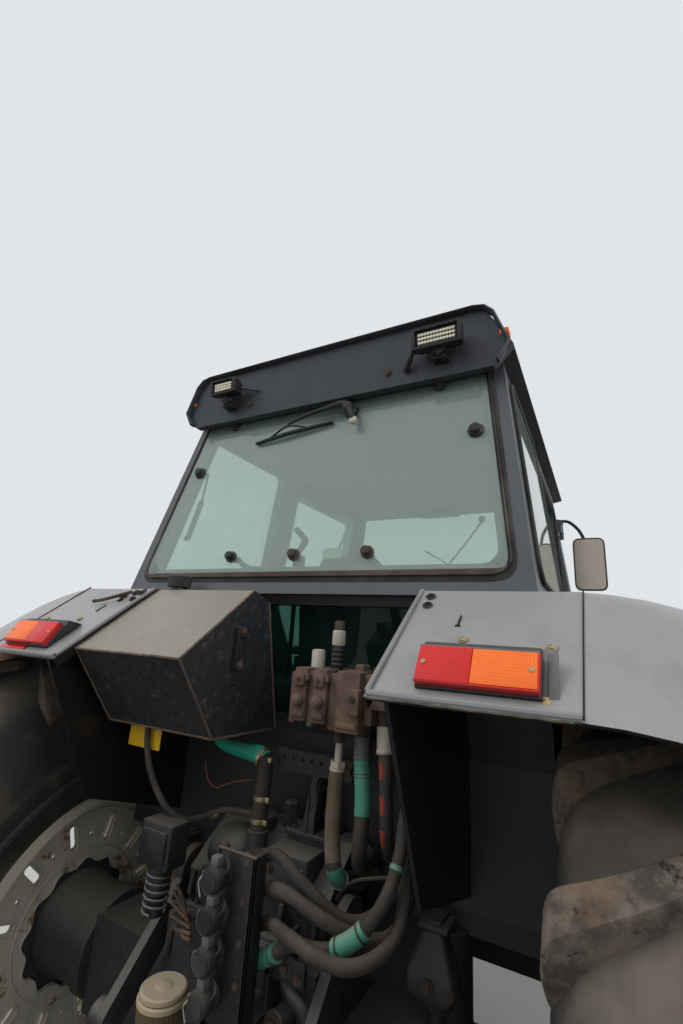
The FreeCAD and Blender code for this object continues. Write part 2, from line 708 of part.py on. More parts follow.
def lift_rods():
    """The two lift rods, hung on the lift arms' pins and reaching down beside the lower links."""
    top_y, top_z = arm_end()
    low_y, low_z = link_point(LIFT_ROD_AT)
    top_x = LIFT_ARM_X + LIFT_ARM_T / 2 + 5
    low_x = LINK_X - LINK_T / 2 - SEAT
    top_eye = tube_x(LIFT_ROD_EYE_R, LIFT_PIN_R + RUNNING_FIT, (top_x, top_x + LIFT_ROD_EYE_T), top_y, top_z)
    low_eye = rod(LIFT_ROD_EYE_R, V(low_x - LIFT_ROD_EYE_T, low_y, low_z), V(low_x, low_y, low_z))
    start = V(top_x + LIFT_ROD_EYE_T / 2, top_y, top_z)
    end = V(low_x - LIFT_ROD_R - 2, low_y, low_z)
    along = (end - start).normalize()
    bar = rod(LIFT_ROD_R, start + along * (LIFT_PIN_R + 8), end)
    turnbuckle = rod(LIFT_ROD_R + 8, start + along * 120, start + along * 330)
    return pair(join([top_eye, low_eye, bar, turnbuckle]))


def lower_links():
    """The two lower links with the eyes for the implement's pins."""
    pivot = (LINK_PIVOT_Y, LINK_PIVOT_Z)
    end = link_point(LINK_L)
    xs = (LINK_X - LINK_T / 2, LINK_X + LINK_T / 2)
    whole = bar_yz(pivot, end, LINK_H, xs)
    whole = whole.fuse(rod(LINK_BALL_R, V(xs[0] - 8, end[0], end[1]), V(xs[1] + 8, end[0], end[1])))
    whole = whole.cut(rod(LINK_PIVOT_R + RUNNING_FIT, V(xs[0] - 9, pivot[0], pivot[1]),
                          V(xs[1] + 9, pivot[0], pivot[1])))
    whole = whole.cut(rod(LINK_BALL_BORE_R, V(xs[0] - 9, end[0], end[1]), V(xs[1] + 9, end[0], end[1])))
    return pair(whole)


def drawbar():
    """The swinging drawbar, held under the housing."""
    bar = block((-DRAWBAR_HW, DRAWBAR_HW), (DRAWBAR_END, 250), (DRAWBAR_Z, DRAWBAR_Z + DRAWBAR_T))
    hanger = block((-DRAWBAR_HW, DRAWBAR_HW), (170, 250), (DRAWBAR_Z, HOUSING_Z[0]))
    whole = join([bar, hanger])
    return whole.cut(rod(DRAWBAR_HOLE_R, V(0, DRAWBAR_END + 45, DRAWBAR_Z - 1),
                         V(0, DRAWBAR_END + 45, DRAWBAR_Z + DRAWBAR_T + 1)))


def gearbox():
    """The gearbox between the rear housing and the engine."""
    return block((-GEARBOX_HW, GEARBOX_HW), (HOUSING_Y[1], GEARBOX_Y1), GEARBOX_Z)


def engine():
    """The engine as one plain block, with its sump and its bell housing."""
    head = block((-ENGINE_HW + 50, ENGINE_HW - 50), ENGINE_Y, (SUMP_TOP_Z - 60, ENGINE_Z[1]))
    sump = block((-ENGINE_HW, ENGINE_HW), (GEARBOX_Y1, SUMP_Y1), (ENGINE_Z[0], SUMP_TOP_Z))
    bell = block((-ENGINE_HW, ENGINE_HW), (GEARBOX_Y1, ENGINE_Y[0]), (SUMP_TOP_Z, BELL_TOP_Z))
    return join([head, sump, bell])


def front_frame():
    """The front frame, from the engine to the weights' carrier."""
    low, high = FRAME_Z
    pieces = [block((-FRAME_HW, FRAME_HW), (ENGINE_Y[1], FRAME_Y1), (low + 140, high)),
              block((-120, 120), (WHEELBASE - 130, WHEELBASE + 130), (low, low + 150)),
              block((-330, 330), (FRAME_Y1 - 20, FRAME_Y1 + 60), (low + 20, high - 60))]
    return join(pieces)


def front_axle():
    """The driven front axle's beam with its king pin bosses and the steering cylinder."""
    y, z = WHEELBASE, FRONT_TYRE_R
    rod_z = steer_rod_z()
    pieces = [block((-KING_PIN_X, KING_PIN_X), (y - BEAM_D, y + BEAM_D), (z - BEAM_H, z + BEAM_H)),
              rod(150, V(0, y - 150, z), V(0, y + 130, z)),
              block((-110, 110), (y - 110, y + 110), (z, FRAME_Z[0])),
              rod(STEER_TUBE_R, V(-STEER_TUBE_HL, y - STEER_ARM, rod_z),
                  V(STEER_TUBE_HL, y - STEER_ARM, rod_z)),
              block((-60, 60), (y - STEER_ARM - 20, y - 40), (rod_z, z))]
    for side in (1, -1):
        pieces.append(rod(KING_BOSS_R, V(side * KING_PIN_X, y, z - KING_BOSS_H),
                          V(side * KING_PIN_X, y, z + KING_BOSS_H)))
    whole = join(pieces)
    for side in (1, -1):
        for end in (1, -1):
            start = V(side * KING_PIN_X, y, z + end * (KING_BOSS_H - 56))
            whole = whole.cut(rod(KING_PIN_R + RUNNING_FIT, start,
                                  V(side * KING_PIN_X, y, z + end * (KING_BOSS_H + 1))))
    return whole.cut(rod(STEER_ROD_R + RUNNING_FIT, V(-STEER_TUBE_HL - 1, y - STEER_ARM, rod_z),
                         V(STEER_TUBE_HL + 1, y - STEER_ARM, rod_z)))


def fork_out():
    """How far the knuckle's fork reaches above and below the axle's centre."""
    return KING_BOSS_H + FORK_GAP + FORK_T


def steer_rod_z():
    """The height of the steering rod, whose eyes lie under the knuckles' arms."""
    return FRONT_TYRE_R - fork_out() - SEAT - STEER_EYE_T / 2


def knuckle():
    """The right knuckle: a fork round the axle's end, with the steering arm and the hub's drum."""
    x, y, z = KING_PIN_X, WHEELBASE, FRONT_TYRE_R
    out = fork_out()
    near = KING_BOSS_H + FORK_GAP
    pieces = [block((x + FORK_WALL_X[0], x + FORK_WALL_X[1]), (y - 110, y + 110), (z - out, z + out)),
              rod(HUB_DRUM_R, V(x + FORK_WALL_X[0], y, z), V(x + HUB_DRUM_X, y, z))]
    for end in (1, -1):
        zs = tuple(sorted((z + end * near, z + end * out)))
        pieces.append(rod(KING_BOSS_R, V(x, y, zs[0]), V(x, y, zs[1])))
        pieces.append(block((x, x + FORK_WALL_X[1]), (y - KING_BOSS_R, y + KING_BOSS_R), zs))
        pieces.append(rod(KING_PIN_R, V(x, y, z + end * near), V(x, y, z + end * (near - 60))))
    zs = (z - out, z - near)
    pieces.append(block((x - 32, x + 32), (y - STEER_ARM, y), zs))
    pieces.append(rod(32, V(x, y - STEER_ARM, zs[0]), V(x, y - STEER_ARM, zs[1])))
    whole = join(pieces)
    bore = rod(WHEEL_SHAFT_R + RUNNING_FIT, V(x + HUB_DRUM_X - 65, y, z), V(x + HUB_DRUM_X + 1, y, z))
    return whole.cut(bore)


def steering_rod():
    """The rod through the steering cylinder, with a flat eye under each knuckle's arm."""
    y, z = WHEELBASE - STEER_ARM, steer_rod_z()
    pieces = [rod(STEER_ROD_R, V(-KING_PIN_X, y, z), V(KING_PIN_X, y, z))]
    if STEER_EYE_T / 2 < STEER_ROD_R:
        top = block((-KING_PIN_X - 50, KING_PIN_X + 50), (y - 50, y + 50), (z + STEER_EYE_T / 2, z + 50))
        middle = block((-KING_PIN_X + 140, KING_PIN_X - 140), (y - 60, y + 60), (z, z + 60))
        pieces = [pieces[0].cut(top.cut(middle))]
    for side in (1, -1):
        pieces.append(rod(STEER_EYE_R, V(side * KING_PIN_X, y, z - STEER_EYE_T / 2),
                          V(side * KING_PIN_X, y, z + STEER_EYE_T / 2)))
    return join(pieces)


# Cab

def side_band(outer_hw, thickness):
    """The leaning wall of the cab's right side, as long as the cab, from its section in X and Z."""
    lean = (CAB_HW - CAB_TOP_HW)
    section = [(outer_hw, CAB_FLOOR_Z), (outer_hw, CAB_WAIST_Z), (outer_hw - lean, CAB_TOP_Z),
               (outer_hw - lean - thickness, CAB_TOP_Z), (outer_hw - thickness, CAB_WAIST_Z),
               (outer_hw - thickness, CAB_FLOOR_Z)]
    return slab_xz(section, (-400, 2000))


def door_outline():
    """The doorway's corners as (y, z), from the front foot round the fender to the top."""
    return [(DOOR_EDGE_Y, CAB_FLOOR_Z + 25), (1075, CAB_FLOOR_Z + 25), (860, 1800), (680, 2075),
            (680, SIDE_GLASS_TOP_Z), (DOOR_EDGE_Y, SIDE_GLASS_TOP_Z)]


def quarter_outline():
    """The quarter window's corners as (y, z)."""
    return [(-45, 2115), (585, 2115), (585, SIDE_GLASS_TOP_Z), (85, SIDE_GLASS_TOP_Z)]


def side_frame():
    """The right side's pillars and rails, with the doorway and the quarter window cut."""
    whole = [(REAR_FOOT_Y, CAB_WAIST_Z), (PANEL_FOOT_Y, CAB_WAIST_Z), (PANEL_FOOT_Y, CAB_FLOOR_Z),
             (CAB_FRONT_Y, CAB_FLOOR_Z), (CAB_FRONT_Y, FRONT_BEND_Z), (CAB_FRONT_TOP_Y, CAB_TOP_Z),
             (REAR_HEAD_Y, CAB_TOP_Z)]
    wall = side_band(CAB_HW, CAB_WALL).common(slab_yz(whole, (0, 1000)))
    wall = wall.cut(slab_yz(door_outline(), (0, 1000)))
    wall = wall.cut(soft(slab_yz(quarter_outline(), (0, 1000)), QUARTER_ROUND, V(1, 0, 0)))
    return join([wall] + hinge_pins())


def band_half_width(z):
    """The cab's outer half-width at a height."""
    share = max(0.0, (z - CAB_WAIST_Z) / (CAB_TOP_Z - CAB_WAIST_Z))
    return CAB_HW - share * (CAB_HW - CAB_TOP_HW)


def cab_section():
    """The cab's outer section as (x, z) corners."""
    return [(-CAB_HW, CAB_FLOOR_Z), (CAB_HW, CAB_FLOOR_Z), (CAB_HW, CAB_WAIST_Z), (CAB_TOP_HW, CAB_TOP_Z),
            (-CAB_TOP_HW, CAB_TOP_Z), (-CAB_HW, CAB_WAIST_Z)]


def rear_frame():
    """The frame round the rear window and the panel below it."""
    upper = [(REAR_FOOT_Y, CAB_WAIST_Z), (REAR_HEAD_Y, CAB_TOP_Z), (REAR_HEAD_Y + CAB_WALL, CAB_TOP_Z),
             (REAR_FOOT_Y + CAB_WALL, CAB_WAIST_Z)]
    lower = [(PANEL_STEP_Y, CAB_WAIST_Z + 10), (PANEL_STEP_Y, CAB_WAIST_Z - 5), (PANEL_FOOT_Y, PANEL_FOOT_Z),
             (PANEL_FOOT_Y, CAB_FLOOR_Z), (PANEL_FOOT_Y + CAB_WALL, CAB_FLOOR_Z),
             (PANEL_FOOT_Y + CAB_WALL, PANEL_FOOT_Z), (PANEL_STEP_Y + CAB_WALL, CAB_WAIST_Z + 10)]
    wall = join([slab_yz(upper, (-CAB_HW, CAB_HW)), slab_yz(lower, (-CAB_HW, CAB_HW))])
    wall = wall.common(slab_xz(cab_section(), (-500, 500)))
    low, high = REAR_GLASS_Z
    low_hw, high_hw = REAR_GLASS_HW[0] - GLASS_LAND, REAR_GLASS_HW[1] - GLASS_LAND
    window = [(-low_hw, low + GLASS_LAND), (low_hw, low + GLASS_LAND), (high_hw, high - GLASS_LAND),
              (-high_hw, high - GLASS_LAND)]
    wall = wall.cut(soft(slab_xz(window, (-500, 500)), WINDOW_ROUND, V(0, 1, 0)))
    return wall.cut(block((-330, 400), (-500, 500), (PANEL_FOOT_Z + 40, CAB_WAIST_Z - 25)))


def front_frame_cab():
    """The frame round the windscreen and the bulkhead below it."""
    wall = slab_yz([(CAB_FRONT_Y, CAB_FLOOR_Z), (CAB_FRONT_Y, FRONT_BEND_Z), (CAB_FRONT_TOP_Y, CAB_TOP_Z),
                    (CAB_FRONT_TOP_Y - CAB_WALL, CAB_TOP_Z), (CAB_FRONT_Y - CAB_WALL, FRONT_BEND_Z),
                    (CAB_FRONT_Y - CAB_WALL, CAB_FLOOR_Z)], (-CAB_HW, CAB_HW))
    wall = wall.common(slab_xz(cab_section(), (1000, 2000)))
    return wall.cut(slab_xz(windscreen_outline(0), (1000, 2000)))


def windscreen_outline(land):
    """The windscreen opening's corners as (x, z), drawn out by a land for the glass."""
    low_hw = CAB_HW - 62 + land
    high_hw = CAB_TOP_HW - 62 + land
    head_z = SIDE_GLASS_TOP_Z + land
    return [(-low_hw, SCREEN_FOOT_Z - land), (low_hw, SCREEN_FOOT_Z - land), (low_hw, CAB_WAIST_Z),
            (high_hw, head_z), (-high_hw, head_z), (-low_hw, CAB_WAIST_Z)]


def cab_frame():
    """Pillars, rails, lower rear panel and bulkhead, welded into one frame."""
    right = side_frame()
    pieces = [right, mirrored(right), rear_frame(), front_frame_cab()]
    y, z = HOOD_HINGE_Y, HOOD_HINGE_Z
    near, far = HOOD_LUG_X
    for side in (1, -1):
        xs = tuple(sorted((side * (near - 22), side * (near - 6))))
        pieces.append(slab_yz([(CAB_FRONT_Y - 12, z - 120), (CAB_FRONT_Y - 12, z - 55), (y - 15, z + 5),
                               (y - 5, z + 15), (y + 15, z + 15), (y + 15, z - 40)], xs))
        pieces.append(rod(HOOD_PIN_R, V(side * (near - 10), y, z), V(side * (far + 4), y, z)))
    return join(pieces)


def windscreen():
    """The windscreen, a plate laid on the frame's front face."""
    inner = [(CAB_FRONT_Y, FRONT_BEND_Z), (CAB_FRONT_TOP_Y, CAB_TOP_Z),
             (CAB_FRONT_TOP_Y + GLASS_T, CAB_TOP_Z), (CAB_FRONT_Y + GLASS_T, FRONT_BEND_Z)]
    plate = slab_yz(inner, (-CAB_HW, CAB_HW))
    return plate.common(slab_xz(windscreen_outline(18), (1000, 2000)))


def rear_window():
    """The rear window's glass, laid on the frame's rear face."""
    outer = [(REAR_FOOT_Y - GLASS_T, CAB_WAIST_Z), (REAR_HEAD_Y - GLASS_T, CAB_TOP_Z),
             (REAR_HEAD_Y, CAB_TOP_Z), (REAR_FOOT_Y, CAB_WAIST_Z)]
    plate = slab_yz(outer, (-CAB_HW, CAB_HW))
    low, high = REAR_GLASS_Z
    shape_xz = [(-REAR_GLASS_HW[0], low), (REAR_GLASS_HW[0], low), (REAR_GLASS_HW[1], high),
                (-REAR_GLASS_HW[1], high)]
    return plate.common(soft(slab_xz(shape_xz, (-500, 500)), GLASS_ROUND, V(0, 1, 0)))


def quarter_windows():
    """The two fixed side windows behind the doors, laid on the frame's outer faces."""
    band = side_band(CAB_HW + GLASS_T, GLASS_T)
    lines = inset(quarter_outline(), -QUARTER_LAND)
    pane = band.common(soft(slab_yz(lines, (0, 1000)), QUARTER_ROUND + QUARTER_LAND, V(1, 0, 0)))
    return pair(pane)


def lower_rear_window():
    """The small window in the panel under the rear window."""
    near = SEAT + CAB_WALL
    slope = [(PANEL_STEP_Y + near, CAB_WAIST_Z + 10), (PANEL_FOOT_Y + near, PANEL_FOOT_Z),
             (PANEL_FOOT_Y + near + GLASS_T, PANEL_FOOT_Z),
             (PANEL_STEP_Y + near + GLASS_T, CAB_WAIST_Z + 10)]
    plate = slab_yz(slope, (-350, 420))
    return plate.common(block((-348, 418), (-500, 500), (PANEL_FOOT_Z + 25, CAB_WAIST_Z - 10)))


def cab_floor():
    """The floor with its tunnel and the four mounts that it stands on."""
    floor = block((-CAB_HW, CAB_HW), (PANEL_FOOT_Y, CAB_FRONT_Y), (CAB_FLOOR_Z - CAB_FLOOR_T, CAB_FLOOR_Z))
    pieces = [floor]
    mounts = [(HOUSING_HW + 230, 60, REAR_TYRE_R + TRUMPET_H), (GEARBOX_HW - 60, 1480, GEARBOX_Z[1])]
    for x, y, foot in mounts:
        for side in (1, -1):
            pieces.append(rod(45, V(side * x, y, foot), V(side * x, y, CAB_FLOOR_Z - CAB_FLOOR_T + 5)))
    return join(pieces)


def roof():
    """The roof, as thick as its lining and its skin together, with the visor over the rear window."""
    section = [(-CAB_TOP_HW, CAB_TOP_Z), (CAB_TOP_HW, CAB_TOP_Z), (ROOF_EAVE_HW, ROOF_EAVE_Z),
               (ROOF_TOP_HW, ROOF_TOP_Z), (-ROOF_TOP_HW, ROOF_TOP_Z), (-ROOF_EAVE_HW, ROOF_EAVE_Z)]
    body = slab_xz(section, (ROOF_REAR_Y, ROOF_FRONT_Y))
    top_edges = [e for e in body.Edges if min(v.Point.z for v in e.Vertexes) > ROOF_TOP_Z - 1
                 and (e.CenterOfMass.y > ROOF_FRONT_Y - 1 or abs(e.CenterOfMass.x) > ROOF_TOP_HW - 1)]
    body = body.makeFillet(ROOF_ROUND, top_edges)
    foot_hw = CAB_TOP_HW - 15
    head_z = ROOF_TOP_Z - 12
    visor = slab_xz([(-ROOF_EAVE_HW, ROOF_EAVE_Z), (-foot_hw, VISOR_FOOT_Z), (foot_hw, VISOR_FOOT_Z),
                     (ROOF_EAVE_HW, ROOF_EAVE_Z), (ROOF_TOP_HW, head_z), (-ROOF_TOP_HW, head_z)],
                    (ROOF_REAR_Y - VISOR_T, ROOF_REAR_Y))
    return join([body, visor])


def door_pane(band, lines):
    """The part of a leaning wall inside a (y, z) outline."""
    return band.common(slab_yz(lines, (0, 1000)))


def door():
    """The right door's frame with its hinges' barrels."""
    lines = inset(door_outline(), DOOR_GAP)
    leaf = door_pane(side_band(CAB_HW, DOOR_T), lines)
    light = slab_yz(inset(door_outline(), DOOR_GAP + DOOR_RAIL), (0, 1000))
    leaf = leaf.cut(soft(light, DOOR_ROUND, V(1, 0, 0)))
    leaf = leaf.cut(block((0, 1000), (DOOR_EDGE_Y - DOOR_FRONT_GAP, DOOR_EDGE_Y), (CAB_FLOOR_Z, CAB_TOP_Z)))
    pieces = [leaf]
    for z in HINGE_ZS:
        start, end = hinge_point(z - HINGE_BARREL_L / 2), hinge_point(z + HINGE_BARREL_L / 2)
        pieces.append(rod(HINGE_BARREL_R, start, end))
        x = band_half_width(z)
        tall = HINGE_BARREL_L / 2 - 4
        out_x = x + HINGE_OUT
        pieces.append(block((x - 6, out_x + 5), (HINGE_Y - 70, HINGE_Y - 50), (z - tall, z + tall)))
        pieces.append(block((out_x - 5, out_x + 5), (HINGE_Y - 70, HINGE_Y), (z - tall, z + tall)))
    whole = join(pieces)
    for z in HINGE_ZS:
        start, end = hinge_point(z - HINGE_BARREL_L), hinge_point(z + HINGE_BARREL_L)
        whole = whole.cut(rod(HINGE_PIN_R + RUNNING_FIT, start, end))
    return whole


def hinge_point(z):
    """The point of the right door's hinge line at a height; the line leans in with the pillar."""
    low, high = HINGE_ZS
    x_low = band_half_width(low) + HINGE_OUT
    x_high = band_half_width(high) + HINGE_OUT
    return V(x_low + (z - low) / (high - low) * (x_high - x_low), HINGE_Y, z)


def hinge_pins():
    """The hinge pins on the right front pillar, each held above and below its barrel."""
    pieces = []
    for z in HINGE_ZS:
        reach = HINGE_BARREL_L / 2 + 5
        pieces.append(rod(HINGE_PIN_R, hinge_point(z - reach - 12), hinge_point(z + reach + 12)))
        for zs in ((z - reach - 14, z - reach), (z + reach, z + reach + 14)):
            x = band_half_width(z)
            pieces.append(block((x - 8, x + HINGE_OUT + 10), (HINGE_Y - 10, HINGE_Y + 35), zs))
    return pieces


def door_glass():
    """The right door's glass, laid against the inside of its frame."""
    return door_pane(side_band(CAB_HW - DOOR_T, GLASS_T), inset(door_outline(), DOOR_GAP + DOOR_RAIL - 20))


def seat():
    """The driver's seat on its pedestal."""
    foot_z, top_z, head_z = SEAT_Z
    cushion = soft(block((-250, 250), (300, 780), (foot_z, top_z)), 45, V(0, 0, 1))
    back = slab_yz([(300, top_z), (240, head_z), (340, head_z + 20), (430, top_z)], (-240, 240))
    pieces = [block((-170, 170), (380, 640), (CAB_FLOOR_Z, foot_z)), cushion, back]
    for side in (1, -1):
        rest_x = tuple(sorted((side * 250, side * 310)))
        post_x = tuple(sorted((side * 235, side * 280)))
        pieces.append(block(rest_x, (340, 640), (top_z + 170, top_z + 215)))
        pieces.append(block(post_x, (330, 380), (top_z + 40, top_z + 190)))
    return join(pieces)


def dashboard():
    """The instrument console against the bulkhead, with the steering column and wheel."""
    line = [(1564, CAB_FLOOR_Z), (1564, 1745), (1553, 1860), (1430, 1900), (1370, 1780), (1440, CAB_FLOOR_Z)]
    column = rod(28, STEER_FOOT, STEER_HUB)
    ring = Part.makeTorus(STEER_WHEEL_R, 16, STEER_HUB, STEER_FOOT - STEER_HUB)
    pieces = [slab_yz(line, (-CONSOLE_HW, CONSOLE_HW)), column, ring]
    axis = (STEER_HUB - STEER_FOOT).normalize()
    side = V(1, 0, 0)
    other = axis.cross(side)
    for spoke in (side, side * -1, other * -1):
        pieces.append(rod(13, STEER_HUB, STEER_HUB + spoke * STEER_WHEEL_R))
    return join(pieces)


# Panels outside the cab

def fender():
    """The right fender: the sheet over the wheel beside the cab, and its inner wall behind the cab."""
    line = FENDER_LINE
    sheet = slab_yz(strip(line, FENDER_T), (CAB_HW + GLASS_T + 2, FENDER_SEAM_X))
    rear = [p for p in line if p[0] < 0] + [(PANEL_STEP_Y - 5, line[1][1])]
    rear_sheet = slab_yz(strip(rear, FENDER_T), (FENDER_IN_X, FENDER_SEAM_X))
    wall_line = [(line[0][0] + 6, line[0][1] - 4), (line[1][0], line[1][1] - 4),
                 (PANEL_STEP_Y - SEAT, line[1][1] - 4), (PANEL_STEP_Y - SEAT, CAB_WAIST_Z - 10),
                 (PANEL_FOOT_Y - SEAT, PANEL_FOOT_Z), (PANEL_FOOT_Y - SEAT, 1330), (-330, 1440)]
    wall = slab_yz(wall_line, (FENDER_WALL_X, FENDER_WALL_X + FENDER_T))
    fold_line = strip([(y, z - 1) for y, z in rear], FENDER_FOLD)
    fold = slab_yz(fold_line, (FENDER_IN_X, FENDER_IN_X + 4))
    return join([sheet, rear_sheet, wall, fold])


def fender_extension():
    """The right fender's outer extension, falling away from the seam to its outer edge."""
    wires = []
    for out, drop in EXT_DROPS:
        points = [(y + drop * 0.15, z - drop) for y, z in FENDER_LINE]
        corners = [V(FENDER_SEAM_X + out, y, z) for y, z in strip(points, FENDER_T)]
        wires.append(Part.makePolygon(corners + [corners[0]]))
    return Part.makeLoft(wires, True, True)


def tail_lamps():
    """The two tail lamps on the sloping rear faces of the fenders."""
    (y0, z0), (y1, z1) = FENDER_LINE[0], FENDER_LINE[1]
    slope = math.atan2(z1 - z0, y1 - y0)
    centre_y = -445.0
    centre_z = z0 + (centre_y - y0) * math.tan(slope)
    lamp = block((540, 752), (-52, 52), (0, 46))
    lamp.rotate(V(0, 0, 0), V(1, 0, 0), math.degrees(slope))
    lamp.translate(V(0, centre_y, centre_z))
    return pair(lamp)


def oil_tank():
    """The oil tank on the cab's rear, with its filler cap and level gauge."""
    body = slab_yz(TANK_LINE, TANK_X)
    cap = rod(26, V(-400, -198, 2020), V(-400, -198, 2092))
    gauge = block((TANK_X[1] - 1, TANK_X[1] + 12), (-290, -265), (1790, 1935))
    straps = []
    for x in (TANK_X[0] + 70, TANK_X[1] - 110):
        for z in (1700, 1960):
            line = [(tank_front_y(z - 20) - 5, z - 20), (tank_front_y(z + 20) - 5, z + 20),
                    (panel_y(z + 20) - SEAT, z + 20), (panel_y(z - 20) - SEAT, z - 20)]
            straps.append(slab_yz(line, (x, x + 40)))
    return join([body, cap, gauge] + straps)


def tank_front_y(z):
    """Where the tank's forward face lies at a height."""
    (y0, z0), (y1, z1) = TANK_LINE[2], TANK_LINE[3]
    return y0 + (z - z0) / (z1 - z0) * (y1 - y0)


def panel_y(z):
    """Where the outer face of the cab's lower rear panel lies at a height."""
    share = max(0.0, (z - PANEL_FOOT_Z) / (CAB_WAIST_Z - 5 - PANEL_FOOT_Z))
    return PANEL_FOOT_Y + share * (PANEL_STEP_Y - PANEL_FOOT_Y)


def valve_block():
    """The auxiliary valve block in sections, on its bracket in front of the rear panel."""
    pieces = []
    for left, right, foot, head, out in VALVE_SECTIONS:
        pieces.append(block((left, right), (VALVE_Y[0] - out, VALVE_Y[1]), (foot, head)))
    pieces.append(rod(22, V(228, -190, 1845), V(228, -190, 1975)))
    pieces.append(rod(22, V(165, -190, 1845), V(165, -190, 1896)))
    for x in (153, 211):
        pieces.append(rod(15, V(x, VALVE_Y[0] - 30, 1772), V(x, VALVE_Y[0], 1772)))
    pieces.append(block((310, 380), (-240, -160), (1765, 1830)))
    low, high = VALVE_SHELF_Z - 15, VALVE_SHELF_Z + 15
    near = VALVE_Y[1] - 5
    shelf = [(near, low), (near, high), (panel_y(high) - SEAT, high), (panel_y(low) - SEAT, low)]
    pieces.append(slab_yz(shelf, (150, 280)))
    return join(pieces)


def coupler_bank():
    """The folded upright plate with the hydraulic couplers and their dust caps."""
    left, right = COUPLER_PLATE
    back = COUPLER_PLATE_Y
    carrier_y = HOUSING_Y[0] - SEAT
    pieces = [block((left, right), (back, back + 8), (1115, 1448)),
              block((right - 8, right), (back, back + 45), (1115, 1448)),
              block((left, left + 16), (back, carrier_y), (1115, 1150)),
              block((left, right), (back, carrier_y), (1115, 1131))]
    for z in COUPLER_ROWS:
        pieces.append(rod(20, V(COUPLER_X, back - 40, z), V(COUPLER_X, back + 60, z)))
        pieces.append(rod(26, V(COUPLER_X, back - 52, z), V(COUPLER_X, back - 26, z)))
    return join(pieces)


def hydraulic_hoses():
    """The hoses between the couplers, the valve block and the lift, and the suction pipe."""
    return Part.makeCompound([pipe(points, radius, bend) for radius, bend, points in HOSES])


def work_lights():
    """The light bar and the smaller lamp on the visor, on their brackets."""
    z = ROOF_EAVE_Z
    right = block((395, 545), (-110, -60), (z + 28, z + 95))
    right_foot = block((450, 490), (-64, ROOF_REAR_Y - VISOR_T), (z - 20, z + 70))
    left = block((-520, -400), (-110, -60), (z + 28, z + 80))
    left_foot = block((-480, -445), (-64, ROOF_REAR_Y - VISOR_T), (z - 20, z + 50))
    return Part.makeCompound([join([right, right_foot]), join([left, left_foot])])


def mirrors():
    """The two mirrors on their arms at the front pillars."""
    top = CAB_TOP_Z - 145
    head = block((715, 868), (1480, 1515), (top - 393, top - 110))
    arm = [V(band_half_width(top) - 5, 1500, top), V(675, 1530, top), V(740, 1530, top - 55),
           V(790, 1512, top - 135)]
    pieces = [head]
    for start, end in zip(arm, arm[1:]):
        pieces.append(rod(9, start, end))
        pieces.append(Part.makeSphere(9, end))
    return pair(join(pieces).cut(side_band(CAB_HW + SEAT, CAB_WALL)))


def exhaust():
    """The silencer and stack in front of the right pillar."""
    x, y = EXHAUST_X, EXHAUST_Y
    pieces = [rod(85, V(x, y, 1560), V(x, y, 2320)),
              rod(36, V(x, y, 2300), V(x, y, EXHAUST_TOP_Z)),
              rod(40, V(x, y, EXHAUST_FOOT_Z), V(x, y, 1570)),
              rod(36, V(ENGINE_HW - 50, y, EXHAUST_FOOT_Z), V(x, y, EXHAUST_FOOT_Z)),
              Part.makeSphere(40, V(x, y, EXHAUST_FOOT_Z)),
              block((x - 30, x + 30), (CAB_FRONT_Y + SEAT, y), (1700, 1730))]
    return join(pieces)


def steps():
    """The steps on both sides, hung from the cab's floor."""
    pieces = []
    for y in STEP_Y:
        pieces.append(block(STEP_X, (y, y + 10), (STEP_ZS[0] - 10, CAB_FLOOR_Z - CAB_FLOOR_T)))
    for z in STEP_ZS:
        pieces.append(block((STEP_X[0] + 20, STEP_X[1]), (STEP_Y[0] + 5, STEP_Y[1] + 5), (z, z + 25)))
    return pair(join(pieces))


def fuel_tank():
    """The fuel tank low on the left, beside the gearbox."""
    tank = block((-FUEL_TANK_OUT_X, -GEARBOX_HW), (FUEL_TANK_Y0, TANKS_Y1), FUEL_TANK_Z)
    edges = [e for e in tank.Edges if e.CenterOfMass.x < -500]
    return tank.makeFillet(50, edges)


def battery_box():
    """The battery box low on the right, beside the gearbox."""
    return block((GEARBOX_HW, BATTERY_OUT_X), (BATTERY_Y0, TANKS_Y1), BATTERY_Z)


# Hood and front

def hood_line():
    """The hood's outer line as (y, z) corners."""
    return [(HOOD_Y[0], HOOD_FOOT_Z), (HOOD_Y[0], HOOD_TOP_Z[0]), (HOOD_Y[1] - 160, HOOD_TOP_Z[1]),
            (HOOD_Y[1], HOOD_TOP_Z[1] - 130), (HOOD_Y[1], HOOD_FOOT_Z)]


